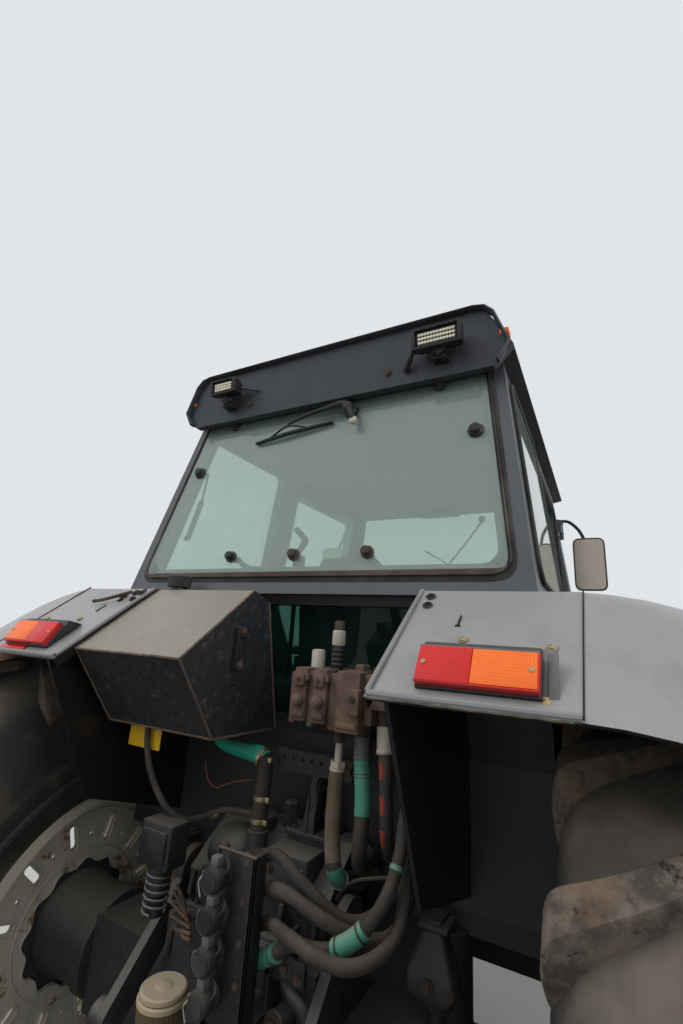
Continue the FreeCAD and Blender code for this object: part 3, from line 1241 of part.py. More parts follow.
def hood():
    """The hood, open below and behind, with the grille's opening in its nose."""
    outer = slab_yz(hood_line(), (-HOOD_HW, HOOD_HW))
    long_edges = [e for e in outer.Edges if abs(e.CenterOfMass.x) > HOOD_HW - 1
                  and e.CenterOfMass.z > HOOD_TOP_Z[1] - 90 and HOOD_Y[0] + 1 < e.CenterOfMass.y]
    outer = outer.makeFillet(HOOD_ROUND, long_edges)
    (y0, z0), (y1, z1), (y2, z2), (y3, z3), (y4, z4) = hood_line()
    t = HOOD_T
    hollow = slab_yz([(y0 - 1, z0 - 1), (y1 - 1, z1 - t), (y2 - t / 2, z2 - t), (y3 - t, z3 - t / 2),
                      (y4 - t, z4 - 1)], (-HOOD_HW + t, HOOD_HW - t))
    long_edges = [e for e in hollow.Edges if abs(e.CenterOfMass.x) > HOOD_HW - t - 1
                  and e.CenterOfMass.z > HOOD_TOP_Z[1] - 110 and HOOD_Y[0] + 1 < e.CenterOfMass.y]
    hollow = hollow.makeFillet(HOOD_ROUND - t, long_edges)
    shell = outer.cut(hollow)
    shell = shell.cut(block((-270, 270), (HOOD_Y[1] - 60, HOOD_Y[1] + 1), (1250, 1560)))
    y, z = HOOD_HINGE_Y, HOOD_HINGE_Z
    pieces = [shell]
    for side in (1, -1):
        xs = tuple(sorted(side * x for x in HOOD_LUG_X))
        pieces.append(block(xs, (y - 20, y + 20), (z - 20, HOOD_TOP_Z[0] - t - 4)))
    whole = join(pieces)
    return whole.cut(rod(HOOD_PIN_R + RUNNING_FIT, V(-HOOD_LUG_X[1] - 1, y, z), V(HOOD_LUG_X[1] + 1, y, z)))


def grille():
    """The grille in the hood's nose."""
    front = HOOD_Y[1] - HOOD_T - SEAT
    pieces = [block((-285, 285), (front - 12, front), (1235, 1575))]
    for i in range(GRILLE_BARS):
        z = 1262 + i * GRILLE_PITCH
        pieces.append(block((-262, 262), (front - 1, front + 9), (z, z + GRILLE_BAR_T)))
    return join(pieces)


def head_lamps():
    """The two head lamps above the grille's ends."""
    lamp = block((150, 262), (HOOD_Y[1] - HOOD_T, HOOD_Y[1] + 10), (1440, 1540))
    return pair(lamp)


def radiator():
    """The radiator in front of the engine, on the front frame."""
    return block((-270, 270), (WHEELBASE + 400, WHEELBASE + 520), (FRAME_Z[1], RADIATOR_TOP_Z))


def front_weights():
    """The row of weights hung on the carrier."""
    plates = []
    for i in range(WEIGHT_COUNT):
        x = (i - (WEIGHT_COUNT - 1) / 2) * WEIGHT_PITCH
        y0, y1 = WEIGHT_Y
        z0, z1 = WEIGHT_Z
        line = [(y0, z0 + 60), (y0, z1), (y1 - 60, z1), (y1, z1 - 90), (y1, z0 + 60), (y1 - 70, z0),
                (y0 + 60, z0)]
        plates.append(slab_yz(line, (x - WEIGHT_T / 2, x + WEIGHT_T / 2)))
    return Part.makeCompound(plates)


def build():
    """Every piece by the name of its node."""
    rear_wheel, rear_tyre = rear_wheel_pieces()
    front_wheel, front_tyre = front_wheel_pieces()
    right_door = door()
    right_glass = door_glass()
    right_fender = fender()
    right_ext = fender_extension()
    right_knuckle = knuckle()
    parts = {
        "rear_axle_housing": rear_housing(),
        "gearbox": gearbox(),
        "engine": engine(),
        "front_frame": front_frame(),
        "front_axle": front_axle(),
        "radiator": radiator(),
        "fuel_tank": fuel_tank(),
        "battery_box": battery_box(),
        "steps": steps(),
        "cab_floor": cab_floor(),
        "cab_frame": cab_frame(),
        "roof": roof(),
        "windscreen": windscreen(),
        "rear_window": rear_window(),
        "quarter_windows": quarter_windows(),
        "lower_rear_window": lower_rear_window(),
        "seat": seat(),
        "dashboard": dashboard(),
        "fender_right": right_fender,
        "fender_left": mirrored(right_fender),
        "fender_extension_right": right_ext,
        "fender_extension_left": mirrored(right_ext),
        "tail_lamps": tail_lamps(),
        "work_lights": work_lights(),
        "mirrors": mirrors(),
        "oil_tank": oil_tank(),
        "valve_block": valve_block(),
        "coupler_bank": coupler_bank(),
        "hydraulic_hoses": hydraulic_hoses(),
        "lift_cover": lift_cover(),
        "drawbar": drawbar(),
        "exhaust": exhaust(),
        "front_weights": front_weights(),
        "hood": hood(),
        "grille": grille(),
        "head_lamps": head_lamps(),
        "door_right": right_door,
        "door_left": mirrored(right_door),
        "door_glass_right": right_glass,
        "door_glass_left": mirrored(right_glass),
        "knuckle_right": right_knuckle,
        "knuckle_left": mirrored(right_knuckle),
        "steering_rod": steering_rod(),
        "front_wheel_right": front_wheel,
        "front_wheel_left": mirrored(front_wheel),
        "front_tyre_right": front_tyre,
        "front_tyre_left": mirrored(front_tyre),
        "rear_wheel_right": rear_wheel,
        "rear_wheel_left": mirrored(rear_wheel),
        "rear_tyre_right": rear_tyre,
        "rear_tyre_left": mirrored(rear_tyre),
        "lift_arms": lift_arms(),
        "lift_rods": lift_rods(),
        "lower_links": lower_links(),
        "pto_shaft": pto_shaft(),
    }
    return parts


def centred(parts):
    """The pieces moved along Y, so that the origin is under the middle of the machine."""
    lowest = min(shape.BoundBox.YMin for shape in parts.values())
    highest = max(shape.BoundBox.YMax for shape in parts.values())
    shift = -(lowest + highest) / 2
    for shape in parts.values():
        shape.translate(V(0, shift, 0))
    return shift


PARTS = build()
SHIFT_Y = centred(PARTS)

os.makedirs("parts", exist_ok=True)
for node, shape in PARTS.items():
    shape.exportStep("parts/" + node + ".step")
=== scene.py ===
import bmesh
import bpy
import math
import random
from mathutils import Matrix, Vector, noise
from mathutils.geometry import convex_hull_2d, tessellate_polygon


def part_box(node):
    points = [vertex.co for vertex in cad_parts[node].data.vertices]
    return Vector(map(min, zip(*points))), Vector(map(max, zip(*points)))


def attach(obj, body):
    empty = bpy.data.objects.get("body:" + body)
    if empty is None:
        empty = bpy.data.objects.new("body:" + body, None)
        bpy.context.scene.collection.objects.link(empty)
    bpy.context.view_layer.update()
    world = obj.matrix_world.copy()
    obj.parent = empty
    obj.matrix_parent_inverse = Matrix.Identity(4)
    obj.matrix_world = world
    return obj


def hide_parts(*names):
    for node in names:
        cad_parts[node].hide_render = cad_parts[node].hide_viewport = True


# The looks of a used farm tractor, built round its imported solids. Sizes are in metres.
# Places are measured from the ground under the rear axle's middle: X right, Y forward, Z up.

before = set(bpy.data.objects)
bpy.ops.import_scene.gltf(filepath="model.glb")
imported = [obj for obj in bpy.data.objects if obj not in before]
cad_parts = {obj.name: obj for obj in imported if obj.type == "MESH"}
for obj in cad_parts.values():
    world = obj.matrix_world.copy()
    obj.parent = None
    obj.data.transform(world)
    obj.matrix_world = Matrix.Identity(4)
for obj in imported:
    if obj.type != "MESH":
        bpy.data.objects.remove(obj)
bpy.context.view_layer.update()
random.seed(7)


def node_middle(node):
    """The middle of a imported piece's box."""
    low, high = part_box(node)
    return (low + high) / 2


AXLE = Vector((0, node_middle("rear_wheel_right").y, 0))


def box_of(node):
    """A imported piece's lowest and highest corners, measured from the rear axle's ground point."""
    low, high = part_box(node)
    return low - AXLE, high - AXLE


# Camera, at the photograph's place and angle

CAMERA_AT = Vector((0.8517, -1.3505, 1.9168))
CAMERA_YAW = 0.5123
CAMERA_PITCH = 0.2667
CAMERA_ROLL = 0.0658
CAMERA_FOCUS_PX = 477.44
IMAGE_HEIGHT_PX = 1024
SENSOR = 36.0


def add_camera():
    """The camera that sees the tractor as the photograph does."""
    flat_ahead = Vector((-math.sin(CAMERA_YAW), math.cos(CAMERA_YAW), 0))
    flat_right = Vector((math.cos(CAMERA_YAW), math.sin(CAMERA_YAW), 0))
    up = Vector((0, 0, 1))
    ahead = flat_ahead * math.cos(CAMERA_PITCH) + up * math.sin(CAMERA_PITCH)
    raised = up * math.cos(CAMERA_PITCH) - flat_ahead * math.sin(CAMERA_PITCH)
    right = flat_right * math.cos(CAMERA_ROLL) + raised * math.sin(CAMERA_ROLL)
    above = raised * math.cos(CAMERA_ROLL) - flat_right * math.sin(CAMERA_ROLL)
    data = bpy.data.cameras.new("camera")
    data.sensor_width = SENSOR
    data.lens = CAMERA_FOCUS_PX / IMAGE_HEIGHT_PX * SENSOR
    data.clip_start = 0.02
    data.clip_end = 200
    camera = bpy.data.objects.new("camera", data)
    bpy.context.scene.collection.objects.link(camera)
    turn = Matrix((right, above, -ahead)).transposed()
    camera.matrix_world = Matrix.Translation(CAMERA_AT + AXLE) @ turn.to_4x4()
    bpy.context.scene.camera = camera


# Colours and materials

def rgb(red, green, blue):
    """The linear colour of screen values from 0 to 255."""
    linear = []
    for value in (red / 255, green / 255, blue / 255):
        linear.append(value / 12.92 if value <= 0.04045 else ((value + 0.055) / 1.055) ** 2.4)
    return (*linear, 1.0)


def shade(colour, factor):
    """A colour made darker or lighter."""
    return (*[min(1.0, c * factor) for c in colour[:3]], 1.0)


DUST = rgb(140, 133, 122)
RUST = rgb(94, 60, 42)
PALE_RUST = rgb(140, 104, 78)
GRIME = rgb(24, 22, 20)


class Finish:
    """A procedural material being put together from nodes."""

    def __init__(self, name):
        self.material = bpy.data.materials.new(name)
        self.material.use_nodes = True
        self.tree = self.material.node_tree
        self.shader = self.tree.nodes["Principled BSDF"]
        self.place = self.add("ShaderNodeTexCoord").outputs["Object"]
        self.heights = []

    def add(self, kind, inputs=None, **settings):
        """A node of a kind, with its settings and its inputs by name or number."""
        node = self.tree.nodes.new(kind)
        for key, value in settings.items():
            setattr(node, key, value)
        for key, value in (inputs or {}).items():
            self.put(node.inputs[key], value)
        return node

    def put(self, socket, value):
        """Sets a socket to a value, or links it to another socket."""
        if isinstance(value, bpy.types.NodeSocket):
            self.tree.links.new(value, socket)
        else:
            socket.default_value = value

    def noise(self, scale, detail=4, rough=0.6, stretch=(1, 1, 1)):
        """Noise from 0 to 1 at a number of lumps a metre."""
        place = self.add("ShaderNodeMapping", {"Vector": self.place, "Scale": stretch}).outputs[0]
        return self.add("ShaderNodeTexNoise", {"Vector": place, "Scale": scale, "Detail": detail,
                                               "Roughness": rough}).outputs["Fac"]

    def band(self, value, low, high):
        """0 below low, 1 above high and a soft step between."""
        return self.add("ShaderNodeMapRange", {"Value": value, "From Min": low, "From Max": high},
                        interpolation_type="SMOOTHSTEP").outputs[0]

    def maths(self, operation, a, b=0.0):
        """A sum, product or the like of two values."""
        return self.add("ShaderNodeMath", {0: a, 1: b}, operation=operation, use_clamp=False).outputs[0]

    def mix(self, share, a, b):
        """Colour a, going over to b as share goes from 0 to 1."""
        return self.add("ShaderNodeMix", {0: share, 6: a, 7: b}, data_type="RGBA").outputs[2]

    def blend(self, share, a, b):
        """Number a, going over to b as share goes from 0 to 1."""
        return self.add("ShaderNodeMix", {0: share, 2: a, 3: b}, data_type="FLOAT").outputs[0]

    def facing_up(self, low=0.1, high=0.9):
        """1 on faces that look up and 0 on those that look to the side or down."""
        normal = self.add("ShaderNodeNewGeometry").outputs["Normal"]
        return self.band(self.add("ShaderNodeSeparateXYZ", {0: normal}).outputs[2], low, high)

    def bump(self, height, distance):
        """Adds relief of a height map that is so many metres deep."""
        before = self.heights[-1] if self.heights else None
        node = self.add("ShaderNodeBump", {"Height": height, "Distance": distance, "Strength": 1.0})
        if before is not None:
            self.put(node.inputs["Normal"], before)
        self.heights.append(node.outputs[0])

    def done(self, colour=None, rough=None, metal=None, **fixed):
        """Links the colour, roughness and relief to the shader."""
        if colour is not None:
            self.put(self.shader.inputs["Base Color"], colour)
        if rough is not None:
            self.put(self.shader.inputs["Roughness"], rough)
        if metal is not None:
            self.put(self.shader.inputs["Metallic"], metal)
        for key, value in fixed.items():
            self.shader.inputs[key.replace("_", " ")].default_value = value
        if self.heights:
            self.put(self.shader.inputs["Normal"], self.heights[-1])
        return self.material


def painted(name, base, dust=0.5, rust=0.1, rough=0.45, lumps=0.0, grain=0.0002, dust_colour=DUST, spread=0.18,
            painted_side_shade=None, shade_and_grime_below=None, scratches=0.0):
    """Old paint: uneven colour, dust on what faces up, grime in streaks and rust in spots.

    One argument gives the colour of what doesn't face up, which is painted shade; another gives the heights between
    which the colour darkens downwards, which is painted shade with grime.
    """
    f = Finish(name)
    broad = f.noise(2.3, 5)
    fine = f.noise(45, 6, 0.7)
    colour = f.mix(broad, shade(base, 1 - spread), shade(base, 1 + spread))
    streaks = f.band(f.noise(3.0, 6, 0.7, (3, 3, 0.5)), 0.48, 0.75)
    colour = f.mix(f.maths("MULTIPLY", streaks, 0.45), colour, shade(base, 0.55))
    settled = f.maths("MULTIPLY", f.facing_up(), f.blend(broad, dust * 0.6, dust * 1.2))
    settled = f.maths("ADD", settled, f.maths("MULTIPLY", f.band(fine, 0.5, 0.8), dust * 0.35))
    colour = f.mix(settled, colour, dust_colour)
    spots = f.noise(11, 9, 0.72)
    mask = f.band(spots, 0.74 - 0.22 * rust, 0.80 - 0.22 * rust)
    colour = f.mix(mask, colour, f.mix(fine, RUST, PALE_RUST))
    roughness = f.blend(mask, f.blend(fine, rough - 0.06, rough + 0.14), 0.9)
    if scratches:
        marks = f.band(f.noise(16, 8, 0.8, (1.0, 9.0, 7.0)), 0.60, 0.66)
        colour = f.mix(f.maths("MULTIPLY", marks, scratches), colour, shade(dust_colour, 0.85))
    # Painted shade: faces that don't face up take on the dark colour given, as if they were in shadow.
    if painted_side_shade:
        side = f.maths("SUBTRACT", 1.0, f.facing_up(0.2, 0.45))
        colour = f.mix(side, colour, f.mix(fine, shade(painted_side_shade, 0.8), shade(painted_side_shade, 1.25)))
    # Painted shade with grime: below the given heights the colour darkens towards near-black.
    if shade_and_grime_below:
        height = f.add("ShaderNodeSeparateXYZ", {0: f.place}).outputs[2]
        low = f.maths("SUBTRACT", 1.0, f.band(height, *shade_and_grime_below))
        colour = f.mix(f.maths("MULTIPLY", low, 0.72), colour, f.mix(fine, shade(GRIME, 0.7), shade(GRIME, 1.3)))
    if lumps:
        f.bump(f.noise(30, 4), lumps)
    f.bump(fine, grain)
    return f.done(colour, roughness)


def rusty(name, base, metal=0.35, rough=0.6, share=0.5):
    """Bare steel or iron gone brown, with worn grey places."""
    f = Finish(name)
    broad = f.noise(9, 6, 0.65)
    fine = f.noise(70, 8, 0.75)
    brown = f.mix(fine, shade(base, 0.6), shade(base, 1.35))
    bare = f.band(broad, 0.75 - share * 0.5, 0.95 - share * 0.5)
    colour = f.mix(bare, brown, f.mix(fine, RUST, PALE_RUST))
    grime = f.band(f.noise(5, 5), 0.5, 0.72)
    colour = f.mix(f.maths("MULTIPLY", grime, 0.6), colour, GRIME)
    f.bump(fine, 0.0006)
    return f.done(colour, f.blend(fine, rough, 0.95), f.blend(bare, metal, 0.0))


def rubber(name, base, dust=0.4, rough=0.75, grain=0.0003, dust_colour=DUST):
    """Rubber with dust on it."""
    f = Finish(name)
    fine = f.noise(60, 7, 0.7)
    broad = f.noise(6, 6, 0.65)
    colour = f.mix(fine, shade(base, 0.8), shade(base, 1.25))
    patches = f.maths("MULTIPLY", f.band(broad, 0.38, 0.72), dust)
    patches = f.maths("ADD", patches, f.maths("MULTIPLY", f.facing_up(0.2, 1.0), dust * 0.5))
    colour = f.mix(patches, colour, dust_colour)
    f.bump(fine, grain)
    return f.done(colour, f.blend(patches, rough, 0.95))


def worn_tread(name, base, worn):
    """Tyre lugs worn flat: stained brown-grey rubber with cracks, chips and dark pits."""
    f = Finish(name)
    fine = f.noise(120, 8, 0.8)
    lumps = f.noise(22, 8, 0.75)
    broad = f.noise(5, 6, 0.7)
    colour = f.mix(fine, shade(base, 0.6), shade(base, 1.5))
    rubbed = f.band(lumps, 0.36, 0.62)
    colour = f.mix(f.maths("MULTIPLY", rubbed, 0.75), colour, f.mix(fine, shade(worn, 0.7), shade(worn, 1.2)))
    stain = f.maths("MULTIPLY", f.band(broad, 0.50, 0.62), 0.45)
    colour = f.mix(stain, colour, shade(rgb(112, 84, 60), 1.0))
    cracks = f.add("ShaderNodeTexVoronoi", {"Vector": f.place, "Scale": 6.0, "Randomness": 1.0},
                   feature="DISTANCE_TO_EDGE").outputs["Distance"]
    uneven = f.maths("ADD", cracks, f.maths("MULTIPLY", lumps, 0.16))
    line = f.maths("SUBTRACT", 1.0, f.band(uneven, 0.066, 0.080))
    line = f.maths("MULTIPLY", line, f.band(f.noise(4, 3, 0.5), 0.50, 0.56))
    pits = f.band(f.noise(26, 7, 0.75), 0.60, 0.70)
    dark = f.maths("MAXIMUM", f.maths("MULTIPLY", line, 0.8), f.maths("MULTIPLY", pits, 0.8))
    colour = f.mix(dark, colour, GRIME)
    f.bump(lumps, 0.006)
    f.bump(fine, 0.0022)
    f.bump(f.maths("SUBTRACT", 1.0, dark), 0.004)
    return f.done(colour, 0.93)


def moulded(name, base, rough=0.4, grain=0.0001, dust=0.15, **fixed):
    """Moulded plastic."""
    f = Finish(name)
    fine = f.noise(90, 5, 0.6)
    colour = f.mix(fine, shade(base, 0.88), shade(base, 1.12))
    settled = f.maths("MULTIPLY", f.facing_up(), f.maths("MULTIPLY", f.noise(7, 5), dust * 1.6))
    colour = f.mix(settled, colour, DUST)
    f.bump(fine, grain)
    return f.done(colour, f.blend(fine, rough - 0.05, rough + 0.1), **fixed)


def metal(name, base, rough=0.3, spots=0.1):
    """Bare or plated metal, a little stained."""
    f = Finish(name)
    fine = f.noise(80, 6, 0.7)
    stain = f.band(f.noise(25, 7, 0.7), 0.72 - spots * 0.4, 0.9 - spots * 0.4)
    colour = f.mix(stain, f.mix(fine, shade(base, 0.85), shade(base, 1.1)), RUST)
    f.bump(fine, 0.00015)
    return f.done(colour, f.blend(stain, f.blend(fine, rough, rough + 0.2), 0.85), f.blend(stain, 0.95, 0.1))


def glass(name, tint, rough=0.02, film=0.0):
    """Tinted pane glass that lets the lamps through, under a film of dust."""
    f = Finish(name)
    smear = f.noise(5, 6, 0.6)
    f.shader.inputs["Roughness"].default_value = rough
    f.put(f.shader.inputs["Base Color"], f.mix(smear, tint, shade(tint, 0.94)))
    f.shader.inputs["Transmission Weight"].default_value = 1.0 - film
    f.shader.inputs["IOR"].default_value = 1.45
    output = f.tree.nodes["Material Output"]
    clear = f.add("ShaderNodeBsdfTransparent", {0: tint})
    shadow = f.add("ShaderNodeLightPath").outputs["Is Shadow Ray"]
    mixed = f.add("ShaderNodeMixShader", {0: shadow, 1: f.shader.outputs[0], 2: clear.outputs[0]})
    f.put(output.inputs["Surface"], mixed.outputs[0])
    return f.material


def lens(name, base):
    """A moulded lamp lens with fine upright and level ribs behind its face."""
    f = Finish(name)
    waves = []
    for direction in ("X", "Z"):
        waves.append(f.add("ShaderNodeTexWave", {"Vector": f.place, "Scale": 60.0}, bands_direction=direction,
                           wave_profile="SIN").outputs["Fac"])
    grid = f.maths("MULTIPLY", waves[0], waves[1])
    fine = f.noise(30, 5, 0.6)
    colour = f.mix(grid, shade(base, 0.84), shade(base, 1.08))
    colour = f.mix(f.maths("MULTIPLY", f.band(fine, 0.45, 0.8), 0.3), colour, shade(base, 0.5))
    f.bump(grid, 0.0003)
    return f.done(colour, f.blend(fine, 0.25, 0.42), Coat_Weight=0.2, Coat_Roughness=0.15)


def woven(name, base, other):
    """Upholstery cloth with a visible weave."""
    f = Finish(name)
    waves = []
    for direction, scale in (("X", 260.0), ("Z", 240.0), ("Y", 240.0)):
        waves.append(f.add("ShaderNodeTexWave", {"Vector": f.place, "Scale": scale / 6.28, "Distortion": 0.4},
                           bands_direction=direction, wave_profile="SIN").outputs["Fac"])
    weave = f.maths("MULTIPLY", waves[0], f.maths("ADD", waves[1], waves[2]))
    colour = f.mix(weave, base, other)
    colour = f.mix(f.maths("MULTIPLY", f.band(f.noise(6, 5), 0.5, 0.8), 0.35), colour, DUST)
    f.bump(weave, 0.0006)
    return f.done(colour, 0.92, Sheen_Weight=0.25)


# The fenders' sides and undersides are near-black: painted shade.
FENDER = painted("fender_grey", rgb(128, 129, 133), dust=0.28, rust=0.10, rough=0.30, painted_side_shade=rgb(24, 24, 26))
LIP = painted("fender_edge", rgb(112, 113, 117), dust=0.3, rust=0.20, rough=0.4)
# The cab darkens towards its foot: painted shade with grime.
CAB = painted("cab_grey", rgb(72, 75, 80), dust=0.25, rust=0.04, rough=0.40, shade_and_grime_below=(1.60, 2.05))
VISOR = painted("roof_grey", rgb(47, 51, 57), dust=0.35, rust=0.05, rough=0.5)
TANK = painted("tank_black", rgb(40, 43, 47), dust=0.85, rust=0.12, rough=0.42, scratches=0.45)
CAST = painted("cast_grey", rgb(50, 51, 53), dust=0.45, rust=0.22, rough=0.55, lumps=0.0025, grain=0.0008)
FRAME_BLACK = painted("satin_black", rgb(26, 27, 29), dust=0.30, rust=0.18, rough=0.42)
WHEEL = painted("wheel_grey", rgb(176, 171, 158), dust=0.35, rust=0.75, rough=0.5, grain=0.0005,
                dust_colour=rgb(160, 146, 122))
HOOD = painted("hood_grey", rgb(74, 78, 84), dust=0.22, rust=0.0, rough=0.32)
WEIGHT = painted("weight_grey", rgb(54, 56, 59), dust=0.35, rust=0.25, rough=0.6, lumps=0.002)
VALVE = rusty("valve_brown", rgb(104, 84, 72), metal=0.0, rough=0.75, share=0.30)
IRON = rusty("iron_brown", rgb(78, 66, 58), share=0.40)
EDGE_RUST = rusty("weld_brown", rgb(98, 80, 68), metal=0.1, share=0.42)
LINK = painted("link_grey", rgb(46, 47, 50), dust=0.35, rust=0.62, rough=0.5, lumps=0.001)
TREAD = worn_tread("tread", rgb(66, 61, 56), rgb(122, 110, 98))
SIDEWALL = rubber("sidewall", rgb(44, 42, 40), dust=0.65, dust_colour=rgb(100, 92, 82), grain=0.0016)
HOSE = rubber("hose_black", rgb(38, 36, 35), dust=0.40, dust_colour=rgb(98, 86, 72), grain=0.0005)
SEAL = rubber("seal_brown", rgb(58, 45, 38), dust=0.3, rough=0.6)
BLACK_RUBBER = rubber("rubber_black", rgb(24, 24, 25), dust=0.18, rough=0.6)
GAP_BLACK = rubber("gap_black", rgb(10, 10, 10), dust=0.05, rough=0.9)
SCUFF = rusty("scuffed_edge", rgb(134, 126, 116), metal=0.1, rough=0.6, share=0.25)
TEAL = moulded("sleeve_teal", rgb(28, 158, 132), rough=0.45, dust=0.2)
SLEEVE = moulded("sleeve_green", rgb(62, 122, 102), rough=0.6, dust=0.45)
OLIVE = rubber("sleeve_olive", rgb(80, 68, 48), dust=0.35)
PALE = moulded("sleeve_white", rgb(168, 162, 148), rough=0.6, dust=0.4)
PLASTIC = moulded("plastic_black", rgb(28, 29, 31), rough=0.5, dust=0.25)
GREY_PLASTIC = moulded("plastic_grey", rgb(84, 85, 86), rough=0.55, dust=0.3)
CREAM = moulded("plastic_cream", rgb(158, 142, 114), rough=0.55, dust=0.4)
YELLOW = moulded("tag_yellow", rgb(214, 170, 24), rough=0.5, dust=0.2)
LENS_RED = lens("lens_red", rgb(196, 4, 6))
LENS_ORANGE = lens("lens_orange", rgb(238, 104, 0))
CHROME = metal("plated", rgb(200, 196, 182), rough=0.25, spots=0.05)
ZINC = metal("zinc", rgb(186, 172, 132), rough=0.35, spots=0.2)
STEEL = metal("steel", rgb(140, 138, 134), rough=0.4, spots=0.3)
MIRROR = metal("mirror_glass", rgb(170, 160, 148), rough=0.10, spots=0.0)
PANE = glass("pane_green", (0.66, 0.77, 0.72, 1.0), film=0.16)
DARK_PANE = glass("pane_dark", (0.08, 0.20, 0.17, 1.0), film=0.10)
CLEAR = glass("lamp_glass", (0.92, 0.94, 0.94, 1.0))
CLOTH = woven("seat_cloth", rgb(40, 41, 45), rgb(74, 76, 82))
VINYL = moulded("seat_vinyl", rgb(34, 34, 37), rough=0.55, grain=0.0004)
LINING = moulded("lining_grey", rgb(118, 116, 110), rough=0.8, dust=0.2)
TILE_RED = moulded("mark_red", rgb(118, 46, 30), rough=0.7, dust=0.3)
LED = moulded("led_pale", rgb(216, 212, 190), rough=0.3, dust=0.0)


# Shapes

class Form:
    """Faces gathered for one piece, in metres from the rear axle's ground point."""

    def __init__(self):
        self.points = []
        self.faces = []
        self.slots = []

    def add(self, points, faces, slot=0, edge=0.0):
        """Adds points and faces, with their sharp edges rounded by a radius."""
        if edge:
            points, faces = rounded(points, faces, edge)
        base = len(self.points)
        self.points += [tuple(p) for p in points]
        self.faces += [tuple(base + i for i in face) for face in faces]
        self.slots += [slot] * len(faces)

    def box(self, low, high, slot=0, edge=0.003, turn=None, about=None):
        """A block between two corners, turned by a matrix about a point if one is given."""
        points = [Vector((x, y, z)) for x in (low[0], high[0]) for y in (low[1], high[1]) for z in (low[2], high[2])]
        if turn is not None:
            centre = Vector(about) if about is not None else sum(points, Vector()) / 8
            points = [centre + turn @ (p - centre) for p in points]
        faces = [(0, 1, 3, 2), (4, 6, 7, 5), (0, 4, 5, 1), (2, 3, 7, 6), (0, 2, 6, 4), (1, 5, 7, 3)]
        self.add(points, faces, slot, edge)

    def loft(self, rings, slot=0, caps=True, closed=False, edge=0.0):
        """A skin over rings that have the same number of points."""
        count = len(rings[0])
        faces = []
        steps = len(rings) if closed else len(rings) - 1
        for i in range(steps):
            near = i * count
            far = ((i + 1) % len(rings)) * count
            for j in range(count):
                k = (j + 1) % count
                faces.append((near + j, near + k, far + k, far + j))
        if caps and not closed:
            faces.append(tuple(reversed(range(count))))
            faces.append(tuple(range((len(rings) - 1) * count, len(rings) * count)))
        self.add([p for ring in rings for p in ring], faces, slot, edge)

    def lathe(self, profile, start, axis, sides=32, slot=0, caps=True, closed=False):
        """A turned body from (distance along the axis, radius) corners."""
        along, side, other = axes_of(axis)
        rings = []
        for distance, radius in profile:
            centre = Vector(start) + along * distance
            ring = []
            for j in range(sides):
                angle = 2 * math.pi * j / sides
                ring.append(centre + (side * math.cos(angle) + other * math.sin(angle)) * max(radius, 1e-5))
            rings.append(ring)
        self.loft(rings, slot, caps, closed)

    def rod(self, start, end, radius, sides=20, slot=0, edge=0.0015):
        """A round bar with its ends' edges broken."""
        start, end = Vector(start), Vector(end)
        length = (end - start).length
        edge = min(edge, radius * 0.4, length * 0.4)
        profile = [(0, radius - edge), (edge, radius), (length - edge, radius), (length, radius - edge)]
        self.lathe(profile, start, end - start, sides, slot)

    def tube(self, points, radius, sides=14, slot=0, closed=False, smooth=6, caps=True):
        """A hose, wire or bent bar through points, of one radius or of one for each point."""
        line, radii = smoothed(points, radius, smooth, closed)
        self.loft(rings_along(line, radii, sides, closed), slot, caps, closed)

    def plate(self, outlines, place, depth, slot=0, edge=0.0):
        """A flat plate of an outline and its holes, drawn in a matrix's X and Y and as deep as its Z."""
        flat = [[Vector((a, b, 0)) for a, b in line] for line in outlines]
        corners = [p for line in flat for p in line]
        low = [place @ p for p in corners]
        high = [place @ Vector((p.x, p.y, depth)) for p in corners]
        count = len(corners)
        faces = []
        if len(outlines) == 1:
            faces.append(tuple(reversed(range(count))))
            faces.append(tuple(range(count, 2 * count)))
        else:
            for a, b, c in tessellate_polygon(flat):
                faces.append((a, b, c))
                faces.append((c + count, b + count, a + count))
        base = 0
        for line in flat:
            for j in range(len(line)):
                k = (j + 1) % len(line)
                faces.append((base + j, base + k, base + k + count, base + j + count))
            base += len(line)
        self.add(low + high, faces, slot, edge)

    def bolt(self, at, axis, radius=0.009, height=0.007, slot=0, washer=True):
        """A six-sided bolt head on its washer."""
        start = Vector(at)
        if washer:
            self.lathe([(0, radius * 1.5), (0.0018, radius * 1.5)], start, axis, 14, slot)
        self.lathe([(0, radius), (height * 0.8, radius), (height, radius * 0.82)], start, axis, 6, slot)

    def screw(self, at, axis, radius=0.008, slot=0):
        """A domed screw head."""
        profile = [(0, radius), (radius * 0.3, radius * 0.92), (radius * 0.5, radius * 0.6), (radius * 0.55, 0.0)]
        self.lathe(profile, Vector(at), axis, 14, slot)

    def mirrored(self):
        """The same form on the other side of the machine."""
        other = Form()
        other.points = [(-x, y, z) for x, y, z in self.points]
        other.faces = [tuple(reversed(face)) for face in self.faces]
        other.slots = list(self.slots)
        return other

    def join(self, other):
        """Adds all the faces of another form."""
        base = len(self.points)
        self.points += other.points
        self.faces += [tuple(base + i for i in face) for face in other.faces]
        self.slots += other.slots


def axes_of(axis):
    """A unit vector along an axis and two that are square to it."""
    along = Vector(axis).normalized()
    guide = Vector((0, 0, 1)) if abs(along.z) < 0.9 else Vector((0, 1, 0))
    side = along.cross(guide).normalized()
    return along, side, along.cross(side)


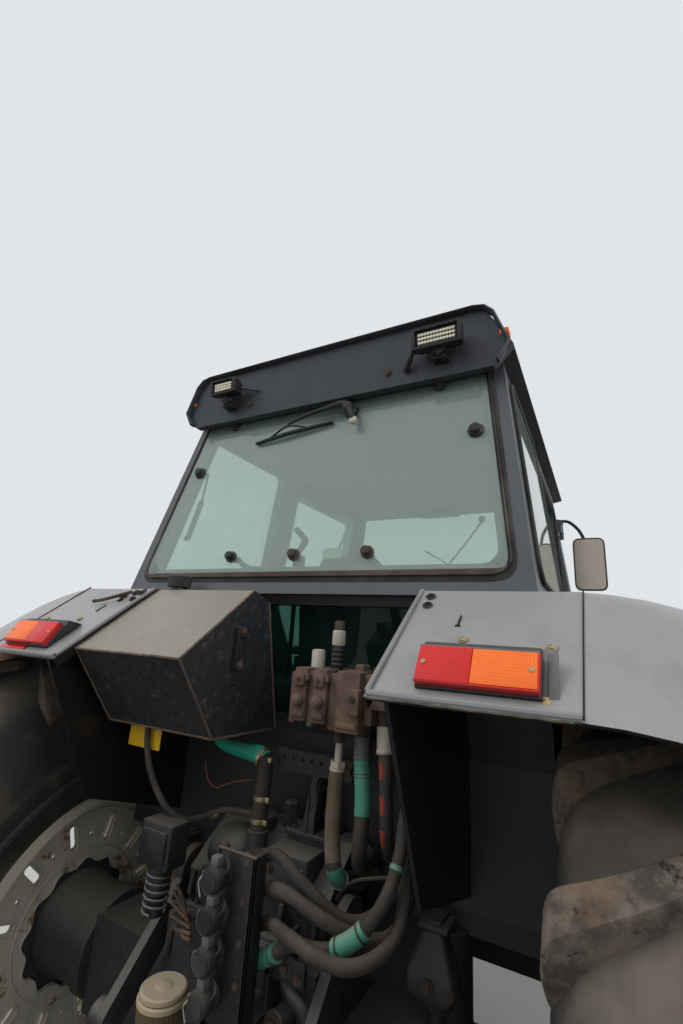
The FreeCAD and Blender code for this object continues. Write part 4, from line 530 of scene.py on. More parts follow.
def rounded(points, faces, edge):
    """Points and faces with the sharp edges bevelled in two steps."""
    mesh = bmesh.new()
    verts = [mesh.verts.new(p) for p in points]
    for face in faces:
        mesh.faces.new([verts[i] for i in face])
    bmesh.ops.recalc_face_normals(mesh, faces=mesh.faces)
    sharp = [e for e in mesh.edges if len(e.link_faces) == 2 and e.calc_face_angle() > math.radians(28)]
    bmesh.ops.bevel(mesh, geom=sharp, offset=edge, segments=2, profile=0.5, affect="EDGES", clamp_overlap=True)
    mesh.verts.index_update()
    result = [v.co.copy() for v in mesh.verts], [tuple(v.index for v in f.verts) for f in mesh.faces]
    mesh.free()
    return result


def smoothed(points, radius, steps, closed=False):
    """A curve through points in short steps, with a radius at each."""
    points = [Vector(p) for p in points]
    count = len(points)
    radii = list(radius) if hasattr(radius, "__len__") else [radius] * count
    if steps < 2 or count < 3:
        return points, radii
    line, sizes = [], []
    spans = count if closed else count - 1
    for i in range(spans):
        picks = []
        for j in (i - 1, i, i + 1, i + 2):
            picks.append(j % count if closed else min(max(j, 0), count - 1))
        p0, p1, p2, p3 = [points[j] for j in picks]
        for k in range(steps):
            t = k / steps
            bend = (p1 * 2 + (p2 - p0) * t + (p0 * 2 - p1 * 5 + p2 * 4 - p3) * t ** 2
                    + (p1 * 3 - p0 - p2 * 3 + p3) * t ** 3) * 0.5
            line.append(bend)
            sizes.append(radii[picks[1]] * (1 - t) + radii[picks[2]] * t)
    if not closed:
        line.append(points[-1])
        sizes.append(radii[-1])
    return line, sizes


def rings_along(line, radii, sides, closed=False):
    """Round rings square to a line, turned as little as possible from one to the next."""
    count = len(line)
    ways = []
    for i in range(count):
        before = line[i - 1] if closed or i else line[0]
        after = line[(i + 1) % count] if closed or i < count - 1 else line[-1]
        ways.append((after - before).normalized())
    side = axes_of(ways[0])[1]
    rings = []
    for centre, way, radius in zip(line, ways, radii):
        side = (side - way * side.dot(way)).normalized()
        other = way.cross(side)
        ring = []
        for j in range(sides):
            angle = 2 * math.pi * j / sides
            ring.append(centre + (side * math.cos(angle) + other * math.sin(angle)) * radius)
        rings.append(ring)
    return rings


def upright(x_axis, y_axis, at):
    """A placing matrix from two directions that are square to each other and a point."""
    a = Vector(x_axis).normalized()
    b = Vector(y_axis).normalized()
    turn = Matrix((a, b, a.cross(b))).transposed()
    return Matrix.Translation(Vector(at)) @ turn.to_4x4()


def ring_line(radius, sides, centre=(0, 0), start=0.0):
    """The corners of a round outline."""
    line = []
    for i in range(sides):
        angle = start + 2 * math.pi * i / sides
        line.append((centre[0] + radius * math.cos(angle), centre[1] + radius * math.sin(angle)))
    return line


def soft_corners(corners, radius, steps=5):
    """A closed outline with its corners rounded."""
    result = []
    count = len(corners)
    for i in range(count):
        before, here, after = (Vector(corners[j % count]) for j in (i - 1, i, i + 1))
        way_in = (before - here).normalized()
        way_out = (after - here).normalized()
        half = way_in.angle(way_out) / 2
        back = radius / math.tan(half)
        start, end = here + way_in * back, here + way_out * back
        for k in range(steps + 1):
            t = k / steps
            result.append(start.lerp(here, t).lerp(here.lerp(end, t), t))
    return result


def piece(name, form, finishes, body="root", smooth=34):
    """Makes the object of a form with its finishes in its slots, and lets it ride on a body."""
    mesh = bpy.data.meshes.new(name)
    mesh.from_pydata([Vector(p) + AXLE for p in form.points], [], form.faces)
    finishes = finishes if isinstance(finishes, (list, tuple)) else [finishes]
    for material in finishes:
        mesh.materials.append(material)
    mesh.polygons.foreach_set("material_index", form.slots)
    work = bmesh.new()
    work.from_mesh(mesh)
    bmesh.ops.recalc_face_normals(work, faces=work.faces)
    work.to_mesh(mesh)
    work.free()
    mesh.shade_smooth()
    mesh.set_sharp_from_angle(angle=math.radians(smooth))
    made = bpy.data.objects.new(name, mesh)
    bpy.context.scene.collection.objects.link(made)
    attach(made, body)
    return made


# Wheels and tyres

# One side of a lug, from its nose on the middle line to its foot on the shoulder. Columns: outer place and
# inner place along the axle as shares of the tyre's half width, their drops below the tyre's radius and the
# half thickness in lug heights, and the set-back round the tyre as a share of the half width.
LUG_LINE = [
    # outer, drop, inner, drop, set-back, half thickness
    (-0.05, 0.04, -0.05, 0.90, 0.00, 0.46),
    (0.10, 0.02, 0.10, 0.90, 0.11, 0.54),
    (0.30, 0.05, 0.30, 0.92, 0.30, 0.58),
    (0.52, 0.12, 0.52, 1.00, 0.47, 0.60),
    (0.75, 0.24, 0.73, 1.20, 0.60, 0.64),
    (0.91, 0.42, 0.84, 1.50, 0.67, 0.70),
    (0.965, 0.95, 0.88, 1.85, 0.70, 0.74),
    (0.985, 1.90, 0.92, 2.45, 0.72, 0.72),
    (0.978, 3.00, 0.945, 3.45, 0.73, 0.60),
]

# The tyre's outer side without lugs. Columns: place as a share of the half width, drop in lug heights.
TREAD_LINE = [(0.0, 0.70), (0.25, 0.72), (0.5, 0.82), (0.72, 1.02), (0.84, 1.35), (0.905, 1.85), (0.945, 2.5),
              (0.962, 3.3)]

# The sidewall down to the rim. Columns: place as a share of the half width, drop as a share of the sidewall.
SIDE_LINE = [(0.985, 0.43), (1.0, 0.52), (0.994, 0.60), (0.982, 0.66), (0.988, 0.67), (0.984, 0.685), (0.965, 0.74),
             (0.945, 0.79), (0.962, 0.805), (0.962, 0.835), (0.935, 0.85), (0.90, 0.93)]

FIT = 0.0003

# Columns: radius, width, bead radius, rim width, lugs a side and lug height; then the rim's well radius, the
# disc's place, the hub hole's radius, the slots, the hub flange's and the drum's radius.
AXLES = {
    "rear": {"radius": 0.9175, "width": 0.622, "bead": 0.4064, "rim": 0.545, "lugs": 20, "lug": 0.050,
             "well": 0.372, "disc": -0.180, "hole": 0.184, "slots": 12, "flange": 0.225, "drum": 0.140,
             "drum_in": -0.354, "shaft_in": -0.450},
    "front": {"radius": 0.720, "width": 0.467, "bead": 0.3302, "rim": 0.430, "lugs": 19, "lug": 0.042,
              "well": 0.300, "disc": -0.050, "hole": 0.120, "slots": 10, "flange": 0.165, "drum": 0.110,
              "drum_in": -0.129, "shaft_in": -0.195},
}
DISC_DEPTH = 0.014
RIM_WALL = 0.012
FLANGE_RISE = 0.025


def around(hub, x, radius, angle):
    """A point on a wheel: a place along the axle, a radius, and an angle from the top towards the front."""
    return Vector((hub.x + x, hub.y + radius * math.sin(angle), hub.z + radius * math.cos(angle)))


def both_sides(half):
    """A half profile from the middle outwards, with its mirror image before it."""
    return [(-x, r) for x, r in reversed(half[1:])] + half if half[0][0] == 0 else \
        [(-x, r) for x, r in reversed(half)] + half


def tyre_form(hub, size):
    """The carcass with its sidewall ribs, and the two staggered rows of lugs."""
    half_width, radius, high = size["width"] / 2, size["radius"], size["lug"]
    flange = size["bead"] + FLANGE_RISE + 0.006
    heel = size["rim"] / 2 - RIM_WALL - FIT
    toe = heel - 0.038
    outer = [(share * half_width, radius - drop * high) for share, drop in TREAD_LINE]
    outer += [(share * half_width, radius - drop * (radius - flange)) for share, drop in SIDE_LINE]
    outer += [(heel + 0.004, flange + 0.004), (heel, flange), (heel, size["bead"] + FIT), (toe, size["bead"] + FIT)]
    inner = [(toe, flange + 0.03), (half_width - 0.034, flange + (radius - flange) * 0.5),
             (half_width - 0.085, radius - high * 2.4)]
    loop = both_sides(outer) + inner + [(-x, r) for x, r in reversed(inner)]
    form = Form()
    form.lathe(loop, hub, (1, 0, 0), 120, 0, closed=True)
    for side in (1, -1):
        for i in range(size["lugs"]):
            middle = 2 * math.pi * (i + (0.5 if side < 0 else 0)) / size["lugs"]
            form.loft(lug_rings(hub, size, side, middle), 1)
    return form


def lug_rings(hub, size, side, middle):
    """The sections of one lug across the tyre."""
    half_width, radius, high = size["width"] / 2, size["radius"], size["lug"]
    line, _ = smoothed([Vector(row[:3]) for row in LUG_LINE], 0, 3)
    rest, _ = smoothed([Vector(row[3:]) for row in LUG_LINE], 0, 3)
    rings = []
    for (out_x, out_drop, in_x), (in_drop, back, thick) in zip(line, rest):
        top = Vector((out_x * half_width, radius - out_drop * high))
        foot = Vector((in_x * half_width, radius - in_drop * high))
        ring = []
        for across, down in ((-1.35, 1.0), (-1.05, 0.14), (-0.86, 0.0), (0.86, 0.0), (1.05, 0.14), (1.35, 1.0)):
            x, r = top.lerp(foot, down)
            angle = middle - (back * half_width - across * thick * high) / radius
            ring.append(around(hub, side * x, r, angle))
        rings.append(ring)
    return rings


def slot_line(near, far, width, angle):
    """The outline of a long hole that points at the hub."""
    corners = [(near, -width / 2), (far, -width / 2), (far, width / 2), (near, width / 2)]
    cos, sin = math.cos(angle), math.sin(angle)
    return [(a * cos - b * sin, a * sin + b * cos) for a, b in soft_corners(corners, width * 0.49, 5)]


def wheel_form(hub, size):
    """A rim with a slotted disc, its hub, bolts and cap."""
    form = Form()
    edge, bead, well = size["rim"] / 2, size["bead"], size["well"]
    top = [(edge - 0.092, well), (edge - 0.078, well + 0.006), (edge - 0.062, bead - 0.006), (edge - 0.052, bead),
           (edge - RIM_WALL, bead), (edge - RIM_WALL, bead + FLANGE_RISE - 0.006),
           (edge - 0.008, bead + FLANGE_RISE), (edge - 0.001, bead + FLANGE_RISE - 0.003), (edge, bead + 0.004),
           (edge, bead - RIM_WALL + 0.003), (edge - 0.004, bead - RIM_WALL), (edge - 0.048, bead - RIM_WALL),
           (edge - 0.060, bead - RIM_WALL - 0.006), (edge - 0.074, well - 0.004), (edge - 0.088, well - RIM_WALL)]
    form.lathe([(-x, r) for x, r in reversed(top)] + top, hub, (1, 0, 0), 96, 0, closed=True)
    disc = size["disc"]
    place = upright((0, 1, 0), (0, 0, 1), hub + Vector((disc, 0, 0)))
    near, far, count = size["hole"] + 0.052, well - 0.048, size["slots"]
    hole = []
    for j in range(count * 12):
        angle = 2 * math.pi * j / (count * 12)
        hole.append((size["hole"] + 0.009 * math.cos(angle * count)) * Vector((math.cos(angle), math.sin(angle))))
    slots = [slot_line(near, far, 0.034, 2 * math.pi * (i + 0.5) / count) for i in range(count)]
    dots = []
    for i in range(count):
        angle = 2 * math.pi * i / count
        dots.append(ring_line(0.008, 10, (math.cos(angle) * (near + 0.03), math.sin(angle) * (near + 0.03))))
    form.plate([ring_line(well - 0.006, 96), hole] + slots + dots, place, DISC_DEPTH, 0)
    for line in [hole] + slots:
        form.tube([place @ Vector((a, b, -0.001)) for a, b in line], 0.0045, 6, 0, closed=True, smooth=1)
        form.tube([place @ Vector((a, b, DISC_DEPTH + 0.001)) for a, b in line], 0.004, 6, 0, closed=True, smooth=1)
    for radius in (size["hole"] + 0.034, well - 0.028):
        form.tube([place @ Vector((a, b, 0.0)) for a, b in ring_line(radius, 72)], 0.005, 6, 0, closed=True, smooth=1)
    form.tube([place @ Vector((a, b, 0.0)) for a, b in ring_line(well - 0.007, 72)], 0.007, 6, 0, closed=True, smooth=1)
    face = disc + DISC_DEPTH
    cap = size["drum"] * 0.7
    form.lathe([(size["shaft_in"], 0.040), (size["shaft_in"] + 0.004, 0.045), (size["drum_in"], 0.045),
                (size["drum_in"], size["drum"] - 0.006), (size["drum_in"] + 0.006, size["drum"]),
                (disc - 0.03, size["drum"]), (disc - 0.012, size["drum"] + 0.012), (face, size["drum"] + 0.012),
                (face, size["flange"]), (face + 0.018, size["flange"]), (face + 0.024, size["flange"] - 0.008),
                (face + 0.024, cap + 0.02), (face + 0.034, cap), (face + 0.058, cap - 0.004),
                (face + 0.064, cap - 0.014), (face + 0.064, 0.0)], hub, (1, 0, 0), 48, 2)
    for i in range(count - 2):
        angle = 2 * math.pi * i / (count - 2)
        at = around(hub, face + 0.024, size["flange"] - 0.032, angle)
        form.bolt(at, (1, 0, 0), 0.016, 0.018, 1)
        form.rod(around(hub, face + 0.04, size["flange"] - 0.032, angle),
                 around(hub, face + 0.052, size["flange"] - 0.032, angle), 0.009, 10, 1)
    for i in range(8):
        at = around(hub, face + 0.064, cap - 0.030, 2 * math.pi * (i + 0.5) / 8)
        form.bolt(at, (1, 0, 0), 0.008, 0.006, 1)
    form.bolt(around(hub, face + 0.064, 0, 0), (1, 0, 0), 0.014, 0.010, 1)
    valve = around(hub, edge - 0.10, well - 0.02, 1.2)
    form.rod(valve, valve + Vector((0.045, 0, -0.012)), 0.005, 10, 1)
    return form


def add_wheels():
    """The four wheels with their tyres."""
    for axle, size in AXLES.items():
        low, high = box_of(axle + "_wheel_right")
        hub = Vector((high.x - size["rim"] / 2, (low.y + high.y) / 2, size["radius"]))
        tyre, wheel = tyre_form(hub, size), wheel_form(hub, size)
        for side, pair in (("right", (tyre, wheel)), ("left", (tyre.mirrored(), wheel.mirrored()))):
            name = axle + "_tyre_" + side
            made = piece("lugged_" + name, pair[0], [SIDEWALL, TREAD], axle + "_wheel_" + side)
            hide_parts(name)
            name = axle + "_wheel_" + side
            made = piece("dressed_" + name, pair[1], [WHEEL, IRON, CAST], name)
            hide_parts(name)


# Rear window: places on the glass are given by x and z

GLASS_FOOT = Vector((0, -0.145, 2.050))
GLASS_UP = Vector((0, 0.167, 0.750)).normalized()
GLASS_OUT = Vector((1, 0, 0)).cross(GLASS_UP)
GLASS_DEPTH = 0.0058
GLASS_CORNERS = [(-0.652, 2.108), (0.652, 2.108), (0.570, 2.778), (-0.570, 2.778)]


def on_glass(x, z, out=0.0):
    """The point of the rear glass's outer face at a place, moved out from it by a distance."""
    return GLASS_FOOT + Vector((x, 0, 0)) + GLASS_UP * ((z - GLASS_FOOT.z) / GLASS_UP.z) \
        + GLASS_OUT * (GLASS_DEPTH + out)


def glass_line(grow, corner):
    """The rear glass's rounded outline on its own plane, drawn out by a distance."""
    corners = []
    for x, z in GLASS_CORNERS:
        up = (z - GLASS_FOOT.z) / GLASS_UP.z
        corners.append((x + math.copysign(grow, x), up + (grow if z > 2.4 else -grow)))
    return soft_corners(corners, corner, 7)


def add_rear_window():
    """The rear glass with its rubber edge, hinges, wiper, handle and gas struts."""
    place = upright((1, 0, 0), GLASS_UP, GLASS_FOOT)
    pane = Form()
    pane.plate([glass_line(0.0, 0.045)], place, GLASS_DEPTH)
    made = piece("rear_glass", pane, PANE)
    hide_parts("rear_window")
    edge = Form()
    edge.plate([glass_line(0.007, 0.052), list(reversed(glass_line(-0.009, 0.036)))],
               place @ Matrix.Translation((0, 0, -0.001)), GLASS_DEPTH + 0.006, 0, 0.003)
    piece("rear_glass_edge", edge, SEAL)
    dark = Form()
    dark.plate([glass_line(0.022, 0.060), list(reversed(glass_line(0.0, 0.045)))], place, 0.002, 0, 0.0008)
    piece("rear_glass_rebate", dark, BLACK_RUBBER)
    fittings = Form()
    for x, slot in ((-0.255, 0), (0.0, 1), (0.256, 1)):
        at = on_glass(x, 2.172)
        fittings.lathe([(0, 0.020), (0.004, 0.020), (0.006, 0.013), (0.020, 0.014), (0.024, 0.010), (0.024, 0)], at,
                       GLASS_OUT, 20, slot)
        fittings.lathe([(0, 0.018), (-0.005, 0.018), (-0.005, 0.009), (-0.030, 0.009)],
                       at - GLASS_OUT * GLASS_DEPTH, GLASS_OUT, 16, 0)
    for x, z in ((0.551, 2.543), (-0.543, 2.535)):
        fittings.lathe([(0, 0.024), (0.005, 0.024), (0.012, 0.017), (0.020, 0.016), (0.023, 0.012), (0.023, 0)],
                       on_glass(x, z), GLASS_OUT, 20, 0)
    for side in (1, -1):
        x = side * 0.430
        top = on_glass(x, 2.790, 0.006)
        fittings.box(top + Vector((-0.040, -0.020, -0.006)), top + Vector((0.040, 0.045, 0.026)), 0, 0.005)
        fittings.rod(top + Vector((-0.052, 0.004, 0.006)), top + Vector((0.052, 0.004, 0.006)), 0.011, 16, 1)
        wing = [(-0.042, 0.0), (0.042, 0.0), (0.036, -0.022), (0.010, -0.062), (-0.010, -0.062), (-0.036, -0.022)]
        at = upright((1, 0, 0), GLASS_UP, on_glass(x, 2.780, -0.001))
        fittings.plate([soft_corners(wing, 0.006, 3)], at, 0.014, 0, 0.003)
        fittings.bolt(on_glass(x, 2.742, 0.013), GLASS_OUT, 0.010, 0.008, 1)
        fittings.box(on_glass(x + 0.045, 2.752, -0.014), on_glass(x + 0.100, 2.768, -0.004), 0, 0.002)
    piece("rear_glass_fittings", fittings, [PLASTIC, IRON])
    bar = Form()
    inside = -GLASS_DEPTH - 0.024
    bar.tube([on_glass(-0.250, 2.176, inside), on_glass(-0.215, 2.152, inside - 0.010),
              on_glass(-0.150, 2.142, inside - 0.014), on_glass(0.0, 2.140, inside - 0.014),
              on_glass(0.170, 2.142, inside - 0.014), on_glass(0.225, 2.150, inside - 0.010),
              on_glass(0.254, 2.174, inside)], 0.0095, 14)
    bar.box(on_glass(-0.020, 2.150, inside - 0.018), on_glass(0.020, 2.178, inside + 0.004), 0, 0.003)
    piece("rear_glass_handle", bar, PLASTIC)
    wiper = Form()
    hub = on_glass(0.112, 2.700, 0.012)
    wiper.lathe([(-0.012, 0.026), (0.004, 0.026), (0.010, 0.020), (0.030, 0.018), (0.036, 0.012), (0.036, 0)], hub,
                GLASS_OUT, 20, 0)
    wiper.tube([on_glass(0.112, 2.702, 0.034), on_glass(0.130, 2.668, 0.034), on_glass(0.142, 2.640, 0.030)],
               [0.013, 0.011, 0.010], 12, 0)
    wiper.lathe([(0, 0.014), (0.012, 0.014), (0.016, 0.008), (0.016, 0)], on_glass(0.142, 2.640, 0.024), GLASS_OUT, 14, 1)
    wiper.tube([on_glass(0.112, 2.705, 0.036), on_glass(0.085, 2.716, 0.038), on_glass(0.030, 2.712, 0.036),
                on_glass(-0.060, 2.700, 0.032), on_glass(-0.140, 2.680, 0.026)], [0.012, 0.011, 0.009, 0.007, 0.005], 10)
    blade = [on_glass(-0.285, 2.628, 0.012), on_glass(-0.140, 2.645, 0.016), on_glass(0.045, 2.666, 0.012)]
    wiper.tube(blade, [0.004, 0.008, 0.004], 8)
    wiper.tube([p - GLASS_OUT * 0.009 for p in blade], 0.003, 6)
    wiper.tube([on_glass(-0.210, 2.640, 0.018), on_glass(-0.135, 2.668, 0.030), on_glass(-0.060, 2.656, 0.018)], 0.004, 8)
    piece("rear_wiper", wiper, [PLASTIC, PALE])
    for side, name in ((1, "right"), (-1, "left")):
        strut = Form()
        strut.rod((side * 0.625, 0.02, 2.290), (side * 0.610, 0.050, 2.450), 0.011, 16, 0)
        strut.rod((side * 0.610, 0.050, 2.450), (side * 0.560, 0.018, 2.560), 0.005, 12, 1)
        strut.lathe([(0, 0.010), (0.02, 0.010)], (side * 0.640, 0.02, 2.286), (-side, 0, 0), 12, 0)
        piece("gas_strut_" + name, strut, [PLASTIC, STEEL])


# Lamps

FENDER_SLOPE = math.radians(37.2)
FENDER_UP = Vector((0, math.cos(FENDER_SLOPE), math.sin(FENDER_SLOPE)))
FENDER_AT = Vector((0, -0.445, 1.8972))
LAMP_TILT = math.radians(58)
LAMP_UP = Vector((0, math.cos(LAMP_TILT), math.sin(LAMP_TILT)))
LAMP_AT = Vector((0, -0.492, 1.8925))


def tilted_block(form, place, xs, ups, outs, slot, edge):
    """A block on a tilted plane, between limits across, up the plane and out from it."""
    corners = [(xs[0], ups[0]), (xs[1], ups[0]), (xs[1], ups[1]), (xs[0], ups[1])]
    form.plate([corners], place @ Matrix.Translation((0, 0, outs[0])), outs[1] - outs[0], slot, edge)


def add_tail_lamps():
    """Both tail lamps on their brackets: red inside, orange outside."""
    form = Form()
    face = upright((1, 0, 0), LAMP_UP, LAMP_AT)
    slope = upright((1, 0, 0), FENDER_UP, FENDER_AT)
    out = face.to_3x3() @ Vector((0, 0, 1))
    raised = slope.to_3x3() @ Vector((0, 0, 1))
    tilted_block(form, face, (0.5500, 0.6446), (-0.041, 0.0275), (-0.004, 0.014), 0, 0.002)
    tilted_block(form, face, (0.6450, 0.7500), (-0.039, 0.0262), (-0.003, 0.014), 1, 0.002)
    tilted_block(form, face, (0.5490, 0.7520), (-0.0425, -0.0392), (-0.004, 0.0125), 0, 0.001)
    tilted_block(form, face, (0.5490, 0.7530), (0.0264, 0.0300), (-0.008, 0.0120), 4, 0.001)
    tilted_block(form, face, (0.7495, 0.7525), (-0.0425, 0.0275), (-0.004, 0.0125), 0, 0.001)
    tilted_block(form, face, (0.5470, 0.7550), (-0.046, 0.0295), (-0.014, -0.003), 3, 0.003)
    side = [(-0.5075, 1.8530), (-0.4600, 1.9300), (-0.4150, 1.9215), (-0.4950, 1.8600)]
    form.plate([side], upright((0, 1, 0), (0, 0, 1), (0.548, 0, 0)), 0.204, 3, 0.003)
    tab = soft_corners([(0.745, -0.050), (0.779, -0.050), (0.777, 0.050), (0.745, 0.050)], 0.008, 4)
    form.plate([tab], face @ Matrix.Translation((0, 0, -0.0155)), 0.003, 4, 0.001)
    form.tube([face @ Vector((0.7655, -0.042, -0.0122)), face @ Vector((0.7650, 0.040, -0.0122))], 0.0026, 6, 4, smooth=1)
    for x in (0.561, 0.741):
        form.lathe([(0, 0.0048), (0.0015, 0.0046), (0.0025, 0.0025), (0.0025, 0)], face @ Vector((x, -0.006, 0.0138)), out,
                   14, 2)
    for spot, way in ((slope @ Vector((0.602, 0.066, 0.0)), raised), (slope @ Vector((0.7625, 0.057, 0.0)), raised),
                      (face @ Vector((0.7600, -0.046, -0.0120)), out)):
        form.lathe([(0, 0.0095), (0.002, 0.0095)], spot, way, 16, 2)
        form.screw(spot + way * 0.002, way, 0.0065, 2)
    lamps = Form()
    lamps.join(form)
    lamps.join(form.mirrored())
    made = piece("dressed_tail_lamps", lamps, [LENS_RED, LENS_ORANGE, ZINC, PLASTIC, GREY_PLASTIC])
    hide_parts("tail_lamps")


def add_fender_trim():
    """The fenders' rolled edges, joints, screws, slots, the latch rod and the reflector."""
    form = Form()
    low, high = box_of("fender_right")
    rear = [(0.468, -0.5325, 1.8335), (0.640, -0.5325, 1.8335), (0.810, -0.5325, 1.8335)]
    form.tube([Vector(p) for p in rear], 0.0075, 10, 0, smooth=1)
    inner = [(0.4655, -0.530, 1.836), (0.4655, -0.420, 1.919), (0.4655, -0.300, 2.008), (0.4655, -0.240, 2.050)]
    form.tube([Vector(p) for p in inner], 0.0055, 10, 0, smooth=1)
    slope = upright((1, 0, 0), FENDER_UP, FENDER_AT)
    raised = slope.to_3x3() @ Vector((0, 0, 1))
    tilted_block(form, slope, (0.8106, 0.8132), (-0.108, 0.262), (-0.004, 0.0008), 1, 0.0)
    for x, up in ((0.495, 0.225), (0.497, 0.188)):
        at = slope @ Vector((x, up, 0.0))
        form.lathe([(0, 0.0115), (0.002, 0.0115)], at, raised, 16, 2)
        form.lathe([(0.002, 0.008), (0.005, 0.0075), (0.005, 0.003), (0.003, 0.003), (0.003, 0)], at, raised, 12, 1)
    tilted_block(form, slope, (0.5795, 0.5830), (0.118, 0.150), (-0.002, 0.0006), 1, 0.0)
    tilted_block(form, slope, (0.5760, 0.5870), (0.112, 0.116), (-0.002, 0.0006), 1, 0.0)
    both = Form()
    both.join(form)
    both.join(form.mirrored())
    left = upright((1, 0, 0), FENDER_UP, FENDER_AT)
    for x, up in ((-0.560, 0.205), (-0.520, 0.225)):
        both.bolt(left @ Vector((x, up, 0.0)), raised, 0.010, 0.008, 3)
    rod = [(-0.640, 0.150, 0.012), (-0.600, 0.162, 0.012), (-0.555, 0.190, 0.012), (-0.525, 0.215, 0.010)]
    both.tube([left @ Vector(p) for p in rod], 0.0055, 10, 3)
    for x, up in ((-0.548, 0.180), (-0.500, 0.240)):
        both.lathe([(0, 0.010), (0.0008, 0.010)], left @ Vector((x, up, 0.0)), raised, 14, 1)
    tilted_block(both, left, (-0.760, -0.640), (-0.098, -0.078), (0.0, 0.004), 4, 0.001)
    low_edge = [Vector((-0.800, -0.5345, 1.8290)), Vector((-0.468, -0.5345, 1.8290))]
    both.tube(bead_line(*low_edge), 0.0042, 6, 5, smooth=1)
    both.tube([Vector((-p.x, p.y, p.z)) for p in reversed(bead_line(*low_edge))], 0.0042, 6, 5, smooth=1)
    piece("fender_trim", both, [LIP, GAP_BLACK, IRON, IRON, LENS_RED, SCUFF])


CAB_SIDE = (0.715, 0.622)
CAB_LEVELS = (2.050, 2.800)


def cab_side(z):
    """How far out the cab's side stands at a height."""
    share = min(max((z - CAB_LEVELS[0]) / (CAB_LEVELS[1] - CAB_LEVELS[0]), 0), 1)
    return CAB_SIDE[0] * (1 - share) + CAB_SIDE[1] * share


def add_mirrors():
    """The mirrors' rounded shells, glasses, arms and brackets."""
    form = Form()
    low, high = box_of("mirrors")
    width, height = 0.153, 0.283
    middle = Vector((high.x - width / 2, 0, low.z + height / 2))
    outline = soft_corners([(-width / 2, -height / 2), (width / 2, -height / 2), (width / 2, height / 2),
                            (-width / 2, height / 2)], 0.034, 7)
    rings = []
    for y, share in ((1.4800, 0.955), (1.4812, 0.985), (1.486, 1.0), (1.498, 0.995), (1.508, 0.93), (1.513, 0.80),
                     (1.5145, 0.55)):
        rings.append([(middle.x + a * share, y, middle.z + b * share) for a, b in outline])
    form.loft(rings, 0)
    glass_line = [(a * 0.93, b * 0.955) for a, b in outline]
    form.plate([glass_line], upright((1, 0, 0), (0, 0, 1), (middle.x, 1.4812, middle.z)), 0.0018, 1)
    form.tube([(middle.x + a * 0.955, 1.4808, middle.z + b * 0.97) for a, b in outline], 0.0042, 8, 0, closed=True,
              smooth=1)
    top = high.z - 0.009
    post = cab_side(top)
    form.tube([(post - 0.004, 1.500, top), (post + 0.020, 1.518, top), (0.700, 1.530, top - 0.004),
               (0.745, 1.529, top - 0.050), (0.772, 1.522, top - 0.110), (middle.x, 1.508, top - 0.160)], 0.0088, 12, 0,
              smooth=6)
    form.box((post - 0.002, 1.484, top - 0.040), (post + 0.010, 1.516, top + 0.002), 2, 0.003)
    form.box((middle.x - 0.020, 1.506, middle.z - 0.010), (middle.x + 0.020, 1.5145, middle.z + 0.080), 0, 0.003)
    both = Form()
    both.join(form)
    both.join(form.mirrored())
    made = piece("dressed_mirrors", both, [PLASTIC, MIRROR, FRAME_BLACK])
    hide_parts("mirrors")


def led_bar(form, centre, width, height, tilt):
    """A light bar of small lamps in a finned housing, turned down by an angle."""
    turn = Matrix.Rotation(tilt, 3, "X")
    w, h = width / 2, height / 2

    def put(low, high, slot, edge):
        form.box([c + o for c, o in zip(low, centre)], [c + o for c, o in zip(high, centre)], slot, edge, turn, centre)

    put((-w, -0.010, -h), (w, 0.028, h), 0, 0.005)
    put((-w - 0.006, -0.024, -h - 0.003), (-w + 0.006, 0.010, h + 0.003), 0, 0.003)
    put((w - 0.006, -0.024, -h - 0.003), (w + 0.006, 0.010, h + 0.003), 0, 0.003)
    put((-w, -0.024, h - 0.003), (w, 0.010, h + 0.004), 0, 0.002)
    put((-w, -0.024, -h - 0.004), (w, 0.010, -h + 0.003), 0, 0.002)
    put((-w + 0.010, -0.016, -h + 0.006), (w - 0.010, -0.012, h - 0.006), 1, 0.001)
    rows, columns = 3, max(4, round(width / 0.012))
    for i in range(rows):
        for j in range(columns):
            x = -w + 0.014 + (j + 0.5) * (2 * w - 0.028) / columns
            z = -h + 0.010 + (i + 0.5) * (2 * h - 0.020) / rows
            at = Vector(centre) + turn @ Vector((x, -0.016, z))
            form.lathe([(0, 0.0052), (0.002, 0.0048), (0.0035, 0.002), (0.0035, 0)], at, turn @ Vector((0, -1, 0)), 8, 2)
    for k in range(7):
        x = -w + (k + 0.5) * 2 * w / 7
        put((x - 0.002, 0.026, -h + 0.004), (x + 0.002, 0.040, h - 0.004), 0, 0.001)


